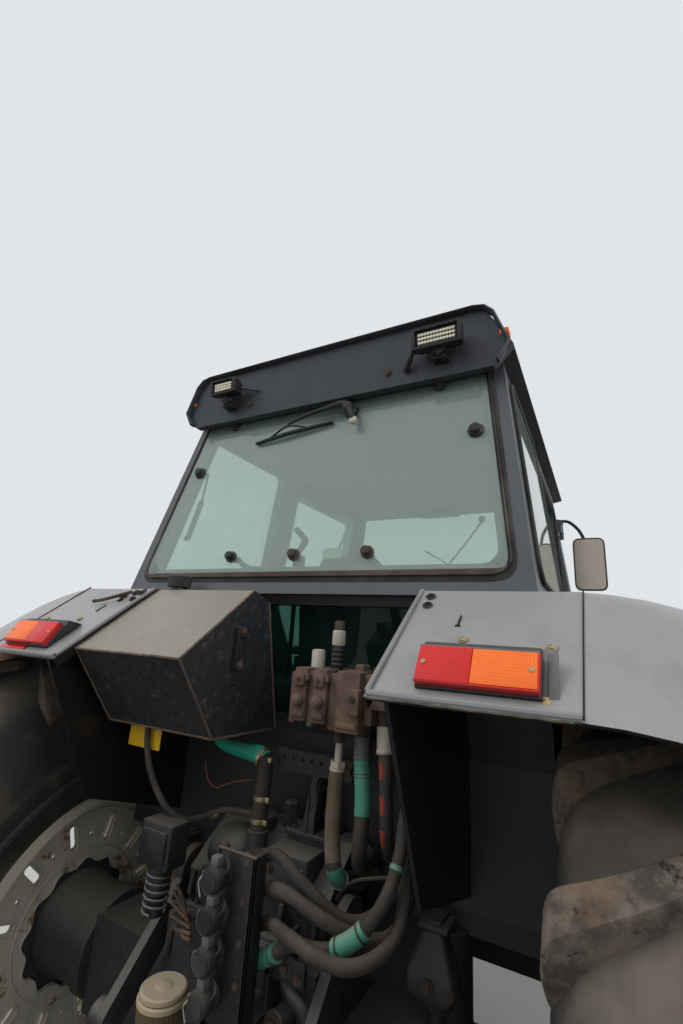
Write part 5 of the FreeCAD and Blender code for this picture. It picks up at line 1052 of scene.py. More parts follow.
def add_work_lights():
    """The two light bars on the visor's face, with their brackets and cables."""
    form = Form()
    for centre, width, height in (((0.450, -0.100, 2.850), 0.146, 0.060), ((-0.415, -0.100, 2.862), 0.112, 0.052)):
        led_bar(form, Vector(centre), width, height, math.radians(8))
        x = centre[0]
        form.box((x - 0.024, -0.085, 2.790), (x + 0.024, -0.046, 2.798), 0, 0.002)
        form.box((x - 0.006, -0.100, 2.794), (x + 0.006, -0.070, 2.840), 0, 0.002)
        form.bolt((x, -0.078, 2.798), (0, 0, 1), 0.010, 0.008, 3)
        form.rod((x - 0.022, -0.088, 2.816), (x + 0.022, -0.088, 2.816), 0.008, 12, 3)
        for k in range(4):
            form.lathe([(0, 0.013), (0.004, 0.015), (0.006, 0.013)], (x, -0.088, 2.799 + 0.007 * k), (0, 0, 1), 14, 0)
    form.tube([(0.385, -0.092, 2.846), (0.366, -0.084, 2.836), (0.352, -0.074, 2.816)], 0.007, 10, 0)
    form.tube([(0.352, -0.074, 2.816), (0.338, -0.062, 2.800), (0.328, -0.050, 2.790)], 0.010, 10, 0)
    form.tube([(-0.358, -0.084, 2.862), (-0.338, -0.070, 2.858), (-0.310, -0.058, 2.852), (-0.285, -0.050, 2.850)],
              0.0035, 8, 0)
    form.tube([(-0.362, -0.088, 2.846), (-0.340, -0.078, 2.830), (-0.350, -0.068, 2.808), (-0.378, -0.058, 2.798)],
              0.004, 8, 0)
    made = piece("light_bars", form, [PLASTIC, CLEAR, LED, IRON])
    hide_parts("work_lights")


# Roof trim

def add_roof_trim():
    """The lip round the visor, its screws and the small corner lamps."""
    rings = []
    low, high = box_of("roof")
    path = [(-0.622, 2.755), (-0.655, 2.812), (-0.640, 2.850), (-0.612, 2.925), (-0.585, 2.952), (-0.550, 2.9595),
            (0.0, 2.9605), (0.550, 2.9595), (0.585, 2.952), (0.612, 2.925), (0.640, 2.850), (0.655, 2.812), (0.622, 2.755)]
    for i, (x, z) in enumerate(path):
        before, after = Vector(path[max(i - 1, 0)]), Vector(path[min(i + 1, len(path) - 1)])
        along = (after - before).normalized()
        inward = Vector((along.y, -along.x))
        ring = []
        for depth, y in ((0.004, -0.040), (0.004, -0.066), (0.000, -0.070), (-0.004, -0.066), (-0.007, -0.050),
                         (-0.007, -0.040)):
            spot = Vector((x, z)) - inward * depth
            ring.append((spot.x, y, spot.y))
        rings.append(ring)
    lip = Form()
    lip.loft(rings)
    piece("roof_lip", lip, VISOR, smooth=60)
    trim = Form()
    for x, z in ((-0.330, 2.800), (0.262, 2.800)):
        trim.bolt((x, -0.047, z), (0, -1, 0), 0.011, 0.008, 0)
    for side in (1, -1):
        trim.box((side * 0.640 - 0.014, -0.052, 2.846), (side * 0.640 + 0.014, -0.010, 2.866), 1, 0.004)
    piece("roof_trim", trim, [IRON, LENS_ORANGE])


# Oil tank

TANK_RIGHT = -0.054
TANK_LEFT = -0.455
TANK_CORNERS = [(-0.484, 1.855), (-0.227, 2.049), (-0.153, 2.022), (-0.063, 1.656), (-0.332, 1.658)]


def add_tank_details():
    """The tank's weld seams, ribbed filler cap, level gauge and bare tag."""
    seams = Form()
    for x in (TANK_RIGHT, TANK_LEFT):
        for i, corner in enumerate(TANK_CORNERS):
            if i in (0, 3, 4) or x == TANK_LEFT:
                following = TANK_CORNERS[(i + 1) % 5]
                seams.tube(bead_line((x, *corner), (x, *following)), 0.0032, 7, 0, smooth=1)
            elif i == 2:
                seams.tube(bead_line((x, *corner), (x, *TANK_CORNERS[3])), 0.0032, 7, 0, smooth=1)
    for corner in (TANK_CORNERS[0], TANK_CORNERS[4]):
        seams.tube(bead_line((TANK_LEFT, *corner), (TANK_RIGHT, *corner)), 0.0034, 7, 0, smooth=1)
    piece("tank_seams", seams, EDGE_RUST)
    cap = Form()
    at = Vector((-0.400, -0.198, 2.028))
    cap.lathe([(0, 0.026), (0.024, 0.026), (0.024, 0.020), (0.034, 0.020)], at, (0, 0, 1), 32, 1)
    ribs = 40
    rings = []
    for height, radius in ((0.032, 0.034), (0.034, 0.0365), (0.066, 0.0365), (0.070, 0.034), (0.072, 0.020), (0.070, 0.004)):
        ring = []
        for j in range(ribs * 2):
            angle = math.pi * j / ribs
            swell = 1.0 + (0.035 if j % 2 and height < 0.068 else 0.0)
            ring.append(at + Vector((radius * swell * math.cos(angle), radius * swell * math.sin(angle), height)))
        rings.append(ring)
    cap.loft(rings)
    piece("tank_cap", cap, [BLACK_RUBBER, IRON])
    gauge = Form()
    x = TANK_RIGHT
    gauge.plate([soft_corners([(-0.018, 0), (0.018, 0), (0.018, 0.117), (-0.018, 0.117)], 0.009, 3),
                 list(reversed(soft_corners([(-0.008, 0.028), (0.008, 0.028), (0.008, 0.089), (-0.008, 0.089)], 0.004, 3)))],
                upright((0, 1, 0), (0, 0, 1), (x, -0.2775, 1.826)), 0.018, 0, 0.002)
    gauge.box((x, -0.284, 1.850), (x + 0.010, -0.271, 1.918), 1, 0.003)
    for z in (1.840, 1.929):
        gauge.bolt((x + 0.018, -0.2775, z), (1, 0, 0), 0.009, 0.007, 2)
    piece("tank_gauge", gauge, [PLASTIC, OLIVE, IRON])
    tag = Form()
    tag.box((-0.417, -0.286, 1.589), (-0.288, -0.281, 1.655), 0, 0.002)
    piece("tank_tag", tag, YELLOW)


def bead_line(start, end):
    """A weld bead's points: a line with small irregular lumps."""
    start, end = Vector(start), Vector(end)
    steps = max(4, round((end - start).length / 0.012))
    line = []
    for i in range(steps + 1):
        wander = Vector((random.uniform(-1, 1), random.uniform(-1, 1), random.uniform(-1, 1))) * 0.0008
        line.append(start.lerp(end, i / steps) + (wander if 0 < i < steps else Vector()))
    return line


# Valve block: sections side by side on their shelf

# Columns: left and right side, lower and upper end, how far the face stands out behind the block
VALVE_SECTIONS = [
    (0.115, 0.134, 1.713, 1.838, 0.000),
    (0.134, 0.172, 1.722, 1.850, 0.014),
    (0.172, 0.190, 1.710, 1.842, 0.004),
    (0.190, 0.232, 1.722, 1.850, 0.016),
    (0.232, 0.256, 1.710, 1.842, 0.004),
    (0.256, 0.322, 1.710, 1.850, 0.012),
    (0.322, 0.345, 1.730, 1.846, -0.010),
]
VALVE_BACK = -0.250
VALVE_FRONT = -0.120
SPOOL_Z = 1.772


def add_valve_block():
    """The rusty valve block with its spool ends, knobs, plugs and unions."""
    form = Form()
    for x0, x1, low, high, out in VALVE_SECTIONS:
        form.box((x0 + 0.0005, VALVE_BACK - out, low), (x1 - 0.0005, VALVE_FRONT, high), 0, 0.0045)
        if x1 - x0 > 0.03:
            form.box((x0 + 0.004, VALVE_BACK - out - 0.005, low + 0.010),
                     (x1 - 0.004, VALVE_BACK - out + 0.004, low + 0.024), 0, 0.003)
    for x in (0.153, 0.211):
        form.lathe([(0, 0.0175), (0.006, 0.0175), (0.008, 0.015), (0.020, 0.015), (0.022, 0.012)],
                   (x, VALVE_BACK - 0.008, SPOOL_Z), (0, -1, 0), 20, 0)
        form.bolt((x, VALVE_BACK - 0.028, SPOOL_Z), (0, -1, 0), 0.0125, 0.006, 0, washer=False)
        form.box((x - 0.016, VALVE_BACK - 0.024, 1.806), (x + 0.016, VALVE_BACK - 0.008, 1.836), 0, 0.005)
        form.box((x + 0.016, VALVE_BACK - 0.020, 1.818), (x + 0.026, VALVE_BACK - 0.002, 1.836), 0, 0.004)
        form.bolt((x, VALVE_BACK - 0.022, 1.821), (0, -1, 0), 0.006, 0.004, 3, washer=False)
    form.box((0.296, VALVE_BACK - 0.034, 1.752), (0.330, VALVE_BACK - 0.004, 1.812), 0, 0.006)
    form.bolt((0.313, VALVE_BACK - 0.034, 1.790), (0, -1, 0), 0.008, 0.005, 3, washer=False)
    form.box((0.311, -0.239, 1.766), (0.379, -0.161, 1.829), 0, 0.006)
    form.bolt((0.290, -0.185, 1.850), (0, 0, 1), 0.021, 0.016, 0)
    form.bolt((0.315, -0.150, 1.849), (0, 0, 1), 0.011, 0.010, 0)
    form.bolt((0.350, -0.200, 1.829), (0, 0, 1), 0.012, 0.010, 3)
    form.lathe([(0, 0.0185), (0.040, 0.0185), (0.046, 0.017), (0.048, 0.010), (0.044, 0.0)], (0.158, -0.190, 1.848),
               (0, 0, 1), 28, 2)
    tall = Vector((0.217, -0.190, 1.848))
    form.lathe([(0, 0.0165), (0.060, 0.0165), (0.062, 0.015)], tall, (0, 0, 1), 28, 1)
    for height in (0.006, 0.018, 0.030, 0.042):
        form.lathe([(height, 0.0165), (height + 0.003, 0.018), (height + 0.008, 0.018), (height + 0.010, 0.0165)],
                   tall, (0, 0, 1), 28, 1)
    form.lathe([(0.061, 0.0160), (0.064, 0.0178), (0.098, 0.0172), (0.100, 0.0145)], tall, (0, 0, 1), 28, 2)
    form.lathe([(0.099, 0.0135), (0.120, 0.0135), (0.125, 0.011), (0.125, 0.0)], tall, (0, 0, 1), 12, 3)
    low, high = box_of("valve_block")
    form.box((0.150, -0.125, 1.695), (0.280, high.y, 1.725), 3, 0.003)
    for x in (0.168, 0.262):
        form.bolt((x, -0.080, 1.725), (0, 0, 1), 0.010, 0.008, 3)
    made = piece("dressed_valve_block", form, [VALVE, PLASTIC, PALE, IRON])
    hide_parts("valve_block")


# Coupler bank

COUPLER_HEIGHTS = [1.402, 1.328, 1.254, 1.180]
COUPLER_X = 0.055
PLATE_BACK = -0.360
PLATE_SIDES = (0.032, 0.137)
PLATE_ENDS = (1.115, 1.448)


def add_coupler_bank():
    """The folded plate with four hydraulic couplers, their dust caps and tabs."""
    form = Form()
    low, high = box_of("coupler_bank")
    (left, right), (foot, head) = PLATE_SIDES, PLATE_ENDS
    form.box((left, PLATE_BACK, foot), (right, PLATE_BACK + 0.008, head), 0, 0.002)
    form.box((right - 0.008, PLATE_BACK, foot), (right, -0.315, head), 0, 0.002)
    form.box((left, PLATE_BACK, 1.380), (left + 0.008, -0.330, head), 0, 0.002)
    form.box((left, PLATE_BACK, foot), (left + 0.016, high.y, 1.150), 0, 0.002)
    form.box((left, PLATE_BACK, foot), (right, high.y, 1.131), 0, 0.002)
    rim = [(left + 0.002, -0.331, head), (left + 0.002, -0.356, head), (left + 0.008, -0.3575, head),
           (right - 0.008, -0.3575, head), (right - 0.003, -0.354, head), (right - 0.003, -0.316, head)]
    form.tube(rim, 0.0038, 6, 3, smooth=2)
    back = Vector((0, -1, 0))
    for i, z in enumerate(COUPLER_HEIGHTS):
        at = Vector((COUPLER_X, PLATE_BACK, z))
        form.lathe([(-0.058, 0.0145), (-0.044, 0.0145), (-0.044, 0.0195), (-0.012, 0.0195)], at, back, 6, 3)
        form.lathe([(0, 0.0245), (0.006, 0.0245), (0.008, 0.020), (0.014, 0.020), (0.016, 0.0225), (0.024, 0.0225),
                    (0.026, 0.020)], at, back, 28, 1)
        form.lathe([(0.018, 0.024), (0.022, 0.0262), (0.042, 0.0262), (0.047, 0.024), (0.050, 0.017), (0.0515, 0.0)],
                   at, back, 32, 2)
        form.lathe([(0.049, 0.0205), (0.052, 0.020), (0.052, 0.016)], at, back, 28, 2)
        form.tube([at + Vector((0.022, -0.030, 0.010)), at + Vector((0.030, -0.026, 0.024)),
                   at + Vector((0.020, -0.018, 0.034)), at + Vector((-0.002, -0.014, 0.033))], 0.0035, 8, 2)
        tab = at + Vector((0.002, -0.030, 0.032))
        form.box(tab + Vector((-0.011, -0.012, -0.008)), tab + Vector((0.009, 0.010, 0.012)), 4, 0.003)
        form.tube([at + Vector((-0.016, -0.044, 0.014)), at + Vector((-0.030, -0.036, 0.004)),
                   at + Vector((-0.032, -0.032, -0.020)), at + Vector((-0.022, -0.026, -0.038))], 0.0038, 8, 4)
        if i in (0, 3):
            form.tube([at + Vector((-0.020, -0.050, 0.006)), at + Vector((-0.034, -0.044, -0.012)),
                       at + Vector((-0.030, -0.038, -0.040))], 0.0018, 6, 5)
        form.bolt((right - 0.022, PLATE_BACK, z + 0.032), back, 0.0055, 0.0045, 6)
    made = piece("dressed_coupler_bank", form, [FRAME_BLACK, BLACK_RUBBER, BLACK_RUBBER, EDGE_RUST, GREY_PLASTIC, PALE,
                                                IRON])
    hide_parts("coupler_bank")


# Hydraulic hoses: each held at both of its fittings, on the same route as its solid

# Columns: name, radius, corners from the coupler or the port to the other end
HOSES = [
    ("coupler_1", 0.0135, [
        (0.055, -0.300, 1.402), (0.055, -0.252, 1.402), (0.135, -0.292, 1.438), (0.185, -0.326, 1.450),
        (0.250, -0.336, 1.418), (0.338, -0.288, 1.346), (0.393, -0.212, 1.373), (0.430, -0.130, 1.450),
        (0.425, -0.110, 1.540), (0.302, -0.142, 1.640), (0.302, -0.142, 1.710)]),
    ("coupler_2", 0.0135, [
        (0.055, -0.300, 1.328), (0.055, -0.252, 1.328), (0.130, -0.292, 1.370), (0.210, -0.350, 1.406),
        (0.300, -0.366, 1.391), (0.345, -0.326, 1.358), (0.425, -0.266, 1.335), (0.442, -0.190, 1.410),
        (0.440, -0.170, 1.580), (0.425, -0.060, 1.690), (0.330, -0.060, 1.790), (0.330, -0.120, 1.790)]),
    ("coupler_3", 0.0135, [
        (0.055, -0.300, 1.254), (0.055, -0.252, 1.254), (0.142, -0.288, 1.308), (0.205, -0.352, 1.336),
        (0.268, -0.388, 1.347), (0.330, -0.401, 1.343), (0.400, -0.392, 1.341), (0.452, -0.330, 1.368),
        (0.458, -0.290, 1.420), (0.447, -0.250, 1.480), (0.430, -0.203, 1.560), (0.415, -0.180, 1.640),
        (0.408, -0.140, 1.748), (0.345, -0.140, 1.748)]),
    ("coupler_4", 0.0135, [
        (0.055, -0.300, 1.180), (0.055, -0.252, 1.180), (0.130, -0.292, 1.236), (0.198, -0.325, 1.284),
        (0.238, -0.340, 1.317), (0.285, -0.350, 1.323), (0.338, -0.356, 1.339), (0.395, -0.354, 1.380),
        (0.432, -0.328, 1.432), (0.446, -0.288, 1.500), (0.438, -0.258, 1.555), (0.447, -0.205, 1.660),
        (0.430, -0.140, 1.805), (0.345, -0.140, 1.805)]),
    ("valve_left", 0.018, [
        (0.238, -0.190, 1.710), (0.238, -0.190, 1.650), (0.233, -0.194, 1.560), (0.240, -0.205, 1.450),
        (0.262, -0.218, 1.392), (0.256, -0.130, 1.362), (0.262, -0.050, 1.332), (0.215, -0.050, 1.332)]),
    ("valve_middle", 0.018, [
        (0.300, -0.190, 1.710), (0.300, -0.190, 1.650), (0.320, -0.206, 1.550), (0.316, -0.216, 1.450),
        (0.292, -0.150, 1.398), (0.275, -0.002, 1.380), (0.215, -0.002, 1.380)]),
    ("valve_right", 0.0155, [
        (0.362, -0.200, 1.765), (0.362, -0.200, 1.715), (0.386, -0.228, 1.570), (0.390, -0.230, 1.490),
        (0.370, -0.120, 1.415), (0.285, 0.021, 1.330), (0.215, 0.021, 1.330)]),
    ("suction", 0.0215, [
        (-0.240, -0.110, 1.656), (-0.240, -0.110, 1.600), (-0.120, -0.116, 1.592), (-0.026, -0.121, 1.592),
        (-0.038, -0.121, 1.480), (-0.038, -0.121, 1.405)]),
]


class Hose:
    """A hose's smooth line, with places on it given as distances from its start, or from its end if negative."""

    def __init__(self, corners):
        points = [Vector(p) for p in corners]
        self.line = [points[0]]
        for i in range(1, len(points) - 1):
            start = points[0] if i == 1 else (points[i - 1] + points[i]) / 2
            end = points[-1] if i == len(points) - 2 else (points[i] + points[i + 1]) / 2
            for k in range(1, 7):
                t = k / 6
                self.line.append(start.lerp(points[i], t).lerp(points[i].lerp(end, t), t))
        self.runs = [0.0]
        for before, after in zip(self.line, self.line[1:]):
            self.runs.append(self.runs[-1] + (after - before).length)

    def at(self, distance):
        """The point and the direction at a distance."""
        if distance < 0:
            distance += self.runs[-1]
        i = 0
        while i < len(self.runs) - 2 and self.runs[i + 1] < distance:
            i += 1
        way = self.line[i + 1] - self.line[i]
        return self.line[i] + way * ((distance - self.runs[i]) / way.length), way.normalized()

    def stretch(self, start, end):
        """The points between two distances."""
        if start < 0:
            start += self.runs[-1]
        if end <= 0:
            end += self.runs[-1]
        between = [p for p, run in zip(self.line, self.runs) if start + 0.002 < run < end - 0.002]
        return [self.at(start)[0]] + between + [self.at(end)[0]]

    def sleeve(self, form, start, end, radius, slot, sides=18):
        """A cover over a stretch of the hose."""
        form.tube(self.stretch(start, end), radius, sides, slot, smooth=1)

    def ring(self, form, distance, length, radius, slot, sides=20):
        """A short collar, nut or clamp at a distance."""
        at, way = self.at(distance)
        edge = min(0.0012, length / 4)
        form.lathe([(0, radius - edge), (edge, radius), (length - edge, radius), (length, radius - edge)], at, way,
                   sides, slot)

    def fitting(self, form, distance, inward, radius, slot, nut_slot):
        """A crimped ferrule and a nut, at an end of the hose that inward points into."""
        for k in range(5):
            self.ring(form, distance + inward * (0.026 + 0.007 * k), 0.006, radius + 0.0028, slot)
        self.sleeve_between(form, distance + inward * 0.022, distance + inward * 0.062, radius + 0.0018, slot)
        self.ring(form, distance + inward * (0.011 if inward > 0 else 0.022), 0.011, radius + 0.0055, nut_slot, 6)

    def sleeve_between(self, form, a, b, radius, slot):
        """A sleeve whichever of its two ends comes first."""
        total = self.runs[-1]
        ends = sorted((d + total if d < 0 else d) for d in (a, b))
        self.sleeve(form, ends[0], ends[1], radius, slot)


def add_hoses():
    """All the hoses on their routes, with their fittings, sleeves and clamps."""
    lines = {name: (Hose(corners), radius) for name, radius, corners in HOSES}
    runs = Form()
    for name, (hose, radius) in lines.items():
        skip = {"valve_left": 0.080, "suction": 0.20}.get(name, 0.004)
        if name != "suction":
            runs.tube(hose.stretch(skip, -0.002), radius, 18, 0, smooth=1)
    for name in ("coupler_1", "coupler_2", "coupler_3", "coupler_4"):
        hose, radius = lines[name]
        hose.fitting(runs, 0.0, 1, radius, 1, 2)
        hose.fitting(runs, -0.001, -1, radius, 1, 2)
    lines["coupler_4"][0].sleeve(runs, 0.066, 0.196, 0.0190, 3)
    lines["coupler_4"][0].sleeve(runs, 0.372, 0.448, 0.0178, 3)
    for distance in (0.110, 0.182, 0.382, 0.436):
        lines["coupler_4"][0].ring(runs, distance, 0.004, 0.0200, 4)
    lines["coupler_4"][0].ring(runs, 0.560, 0.010, 0.0146, 3)
    made = piece("coupler_hoses", runs, [HOSE, IRON, FRAME_BLACK, SLEEVE, PLASTIC], smooth=40)
    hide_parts("hydraulic_hoses")
    fittings = Form()
    left = lines["valve_left"][0]
    left.ring(fittings, 0.0, 0.020, 0.0165, 0, 6)
    left.ring(fittings, 0.018, 0.016, 0.0185, 0, 6)
    left.sleeve(fittings, 0.030, 0.085, 0.0098, 1)
    left.ring(fittings, 0.078, 0.014, 0.0205, 1, 6)
    left.ring(fittings, 0.092, 0.008, 0.0195, 1)
    left.sleeve(fittings, 0.094, 0.290, 0.0190, 2)
    left.sleeve(fittings, 0.300, 0.338, 0.0193, 3)
    left.ring(fittings, 0.338, 0.008, 0.0205, 1)
    middle = lines["valve_middle"][0]
    middle.ring(fittings, 0.0, 0.014, 0.0215, 0, 6)
    middle.sleeve(fittings, 0.012, 0.062, 0.0200, 4)
    middle.ring(fittings, 0.058, 0.006, 0.0215, 4)
    middle.sleeve(fittings, 0.064, 0.180, 0.0198, 3)
    for distance in (0.092, 0.100):
        middle.ring(fittings, distance, 0.003, 0.0208, 4)
    right = lines["valve_right"][0]
    right.ring(fittings, 0.0, 0.022, 0.0185, 0, 6)
    right.ring(fittings, 0.024, 0.012, 0.0165, 0)
    right.sleeve(fittings, 0.036, 0.096, 0.0190, 1)
    right.ring(fittings, 0.086, 0.008, 0.0205, 1)
    for start in (0.112, 0.180, 0.245):
        at = right.stretch(start, start + 0.035)
        fittings.tube([p + Vector((-0.0030, -0.0088, 0)) for p in at], 0.0085, 12, 5, smooth=1)
    for name, radius in (("valve_left", 0.022), ("valve_middle", 0.022), ("valve_right", 0.019)):
        lines[name][0].ring(fittings, -0.030, 0.028, radius, 0, 6)
    made = piece("valve_hose_fittings", fittings, [IRON, PALE, OLIVE, SLEEVE, GREY_PLASTIC, TILE_RED])
    suction = Form()
    pipe = lines["suction"][0]
    tail = pipe.runs[-1]
    suction.tube(pipe.stretch(0.002, 0.055), 0.0175, 20, 1, smooth=1)
    taper = pipe.stretch(0.034, 0.235)
    suction.tube(taper, [0.0165 + 0.0110 * i / (len(taper) - 1) for i in range(len(taper))], 22, 0, smooth=1)
    suction.tube(pipe.stretch(0.228, tail), 0.0215, 20, 1, smooth=1)
    for distance, radius in ((0.040, 0.0190), (0.226, 0.0290), (0.330, 0.0236), (tail - 0.030, 0.0240)):
        pipe.ring(suction, distance, 0.012, radius, 2)
        at, way = pipe.at(distance + 0.006)
        suction.box(at + Vector((radius - 0.004, -0.014, -0.007)), at + Vector((radius + 0.010, -0.002, 0.007)), 2, 0.002)
    suction.tube([(-0.327, -0.300, 1.656), (-0.322, -0.300, 1.610), (-0.300, -0.300, 1.555), (-0.262, -0.296, 1.500),
                  (-0.225, -0.282, 1.456), (-0.190, -0.252, 1.430), (-0.172, -0.200, 1.427), (-0.136, -0.150, 1.440),
                  (-0.060, -0.122, 1.440)], 0.0085, 12, 1)
    suction.lathe([(0, 0.011), (0.020, 0.011)], (-0.165, -0.180, 1.430), (0.5, 0.7, 0.1), 12, 2)
    piece("suction_pipe", suction, [TEAL, HOSE, ZINC])
    wires = Form()
    wires.tube([(-0.205, -0.180, 1.560), (-0.190, -0.180, 1.520), (-0.160, -0.175, 1.498), (-0.120, -0.160, 1.515),
                (-0.060, -0.142, 1.530)], 0.0016, 6, 0)
    wires.tube([(0.255, -0.190, 1.345), (0.310, -0.250, 1.405), (0.350, -0.275, 1.434), (0.405, -0.262, 1.447),
                (0.455, -0.240, 1.452)], 0.0038, 8, 2)
    piece("loose_wires", wires, [TILE_RED, GREY_PLASTIC, HOSE])


# Castings and brackets between the lift cover and the housing

def add_lift_castings():
    """Covers, ribs, bolts and brackets on and round the lift cover, the lug and the housing's rear face."""
    form = Form()
    bar = [(-0.008, 1.616), (0.242, 1.616), (0.242, 1.596), (0.232, 1.562), (-0.004, 1.562)]
    holes = []
    for x in (0.020, 0.050, 0.080, 0.110, 0.140, 0.170):
        holes.append(list(reversed(ring_line(0.0055, 10, (x, 1.594)))))
    form.plate([bar] + holes, upright((1, 0, 0), (0, 0, 1), (0, -0.094, 0)), 0.008, 0)
    for x, z in ((0.190, 1.604), (0.207, 1.602), (0.226, 1.590), (0.232, 1.604), (0.196, 1.586)):
        form.bolt((x, -0.102, z), (0, -1, 0), 0.0075, 0.008, 3)
    lug = [(-0.074, 1.395), (-0.074, 1.452), (-0.055, 1.536), (-0.032, 1.568), (-0.010, 1.566), (0.022, 1.540),
           (0.034, 1.500), (0.034, 1.395)]
    slit = soft_corners([(-0.048, 1.440), (0.008, 1.440), (0.008, 1.520), (-0.048, 1.520)], 0.018, 5)
    form.plate([lug, list(reversed(slit))], upright((0, 1, 0), (0, 0, 1), (0.0905, 0, 0)), 0.021, 1, 0.0)
    form.tube([(0.111, y, z) for y, z in slit], 0.004, 6, 1, closed=True, smooth=1)
    form.tube([(0.111, y, z) for y, z in lug], 0.0035, 6, 1, smooth=1)
    form.loft([[(0.040, -0.078, 1.405), (0.092, -0.078, 1.405), (0.092, 0.036, 1.405), (0.040, 0.036, 1.405)],
               [(0.078, -0.078, 1.425), (0.092, -0.078, 1.425), (0.092, 0.036, 1.425), (0.078, 0.036, 1.425)],
               [(0.088, -0.074, 1.500), (0.092, -0.074, 1.500), (0.092, 0.030, 1.500), (0.088, 0.030, 1.500)]], 1)
    form.box((0.020, -0.080, 1.398), (0.155, 0.037, 1.412), 1, 0.003)
    for x, y in ((0.040, -0.055), (0.060, -0.020), (0.138, -0.060), (0.138, 0.015)):
        form.bolt((x, y, 1.412), (0, 0, 1), 0.010, 0.008, 3)
    form.box((0.030, -0.176, 1.335), (0.160, -0.085, 1.392), 1, 0.006)
    form.box((0.036, -0.182, 1.290), (0.152, -0.160, 1.372), 1, 0.006)
    for x in (0.052, 0.136):
        for z in (1.306, 1.356):
            form.bolt((x, -0.182, z), (0, -1, 0), 0.009, 0.007, 3)
    dome = [(0.0, 0.070), (0.020, 0.070), (0.036, 0.062), (0.050, 0.046), (0.058, 0.024), (0.060, 0.0)]
    form.lathe(dome, (-0.130, -0.100, 1.330), (-0.1, -0.5, 1), 28, 1)
    form.lathe([(0, 0.050), (0.030, 0.050), (0.040, 0.042), (0.044, 0.0)], (-0.130, -0.155, 1.270), (0, -1, 0.1), 26, 1)
    form.lathe([(0, 0.034), (0.026, 0.034), (0.032, 0.028), (0.032, 0)], (-0.060, -0.060, 1.398), (0, 0, 1), 24, 1)
    form.lathe([(0, 0.022), (0.060, 0.022), (0.064, 0.018), (0.064, 0)], (0.000, -0.020, 1.398), (0, 0, 1), 6, 1)
    for k in range(5):
        x = -0.196 + 0.098 * k
        form.loft([[(x - 0.006, -0.176, 1.215), (x + 0.006, -0.176, 1.215), (x + 0.006, -0.172, 1.215),
                    (x - 0.006, -0.172, 1.215)],
                   [(x - 0.006, -0.192, 1.240), (x + 0.006, -0.192, 1.240), (x + 0.006, -0.172, 1.240),
                    (x - 0.006, -0.172, 1.240)],
                   [(x - 0.006, -0.184, 1.288), (x + 0.006, -0.184, 1.288), (x + 0.006, -0.172, 1.288),
                    (x - 0.006, -0.172, 1.288)]], 1)
    for k in range(6):
        form.bolt((-0.190 + 0.076 * k, -0.152, 1.212), (0, -1, 0.25), 0.009, 0.008, 3)
    form.box((-0.232, -0.178, 1.188), (0.232, -0.140, 1.208), 1, 0.004)
    piece("lift_castings", form, [FRAME_BLACK, CAST, LINK, IRON])


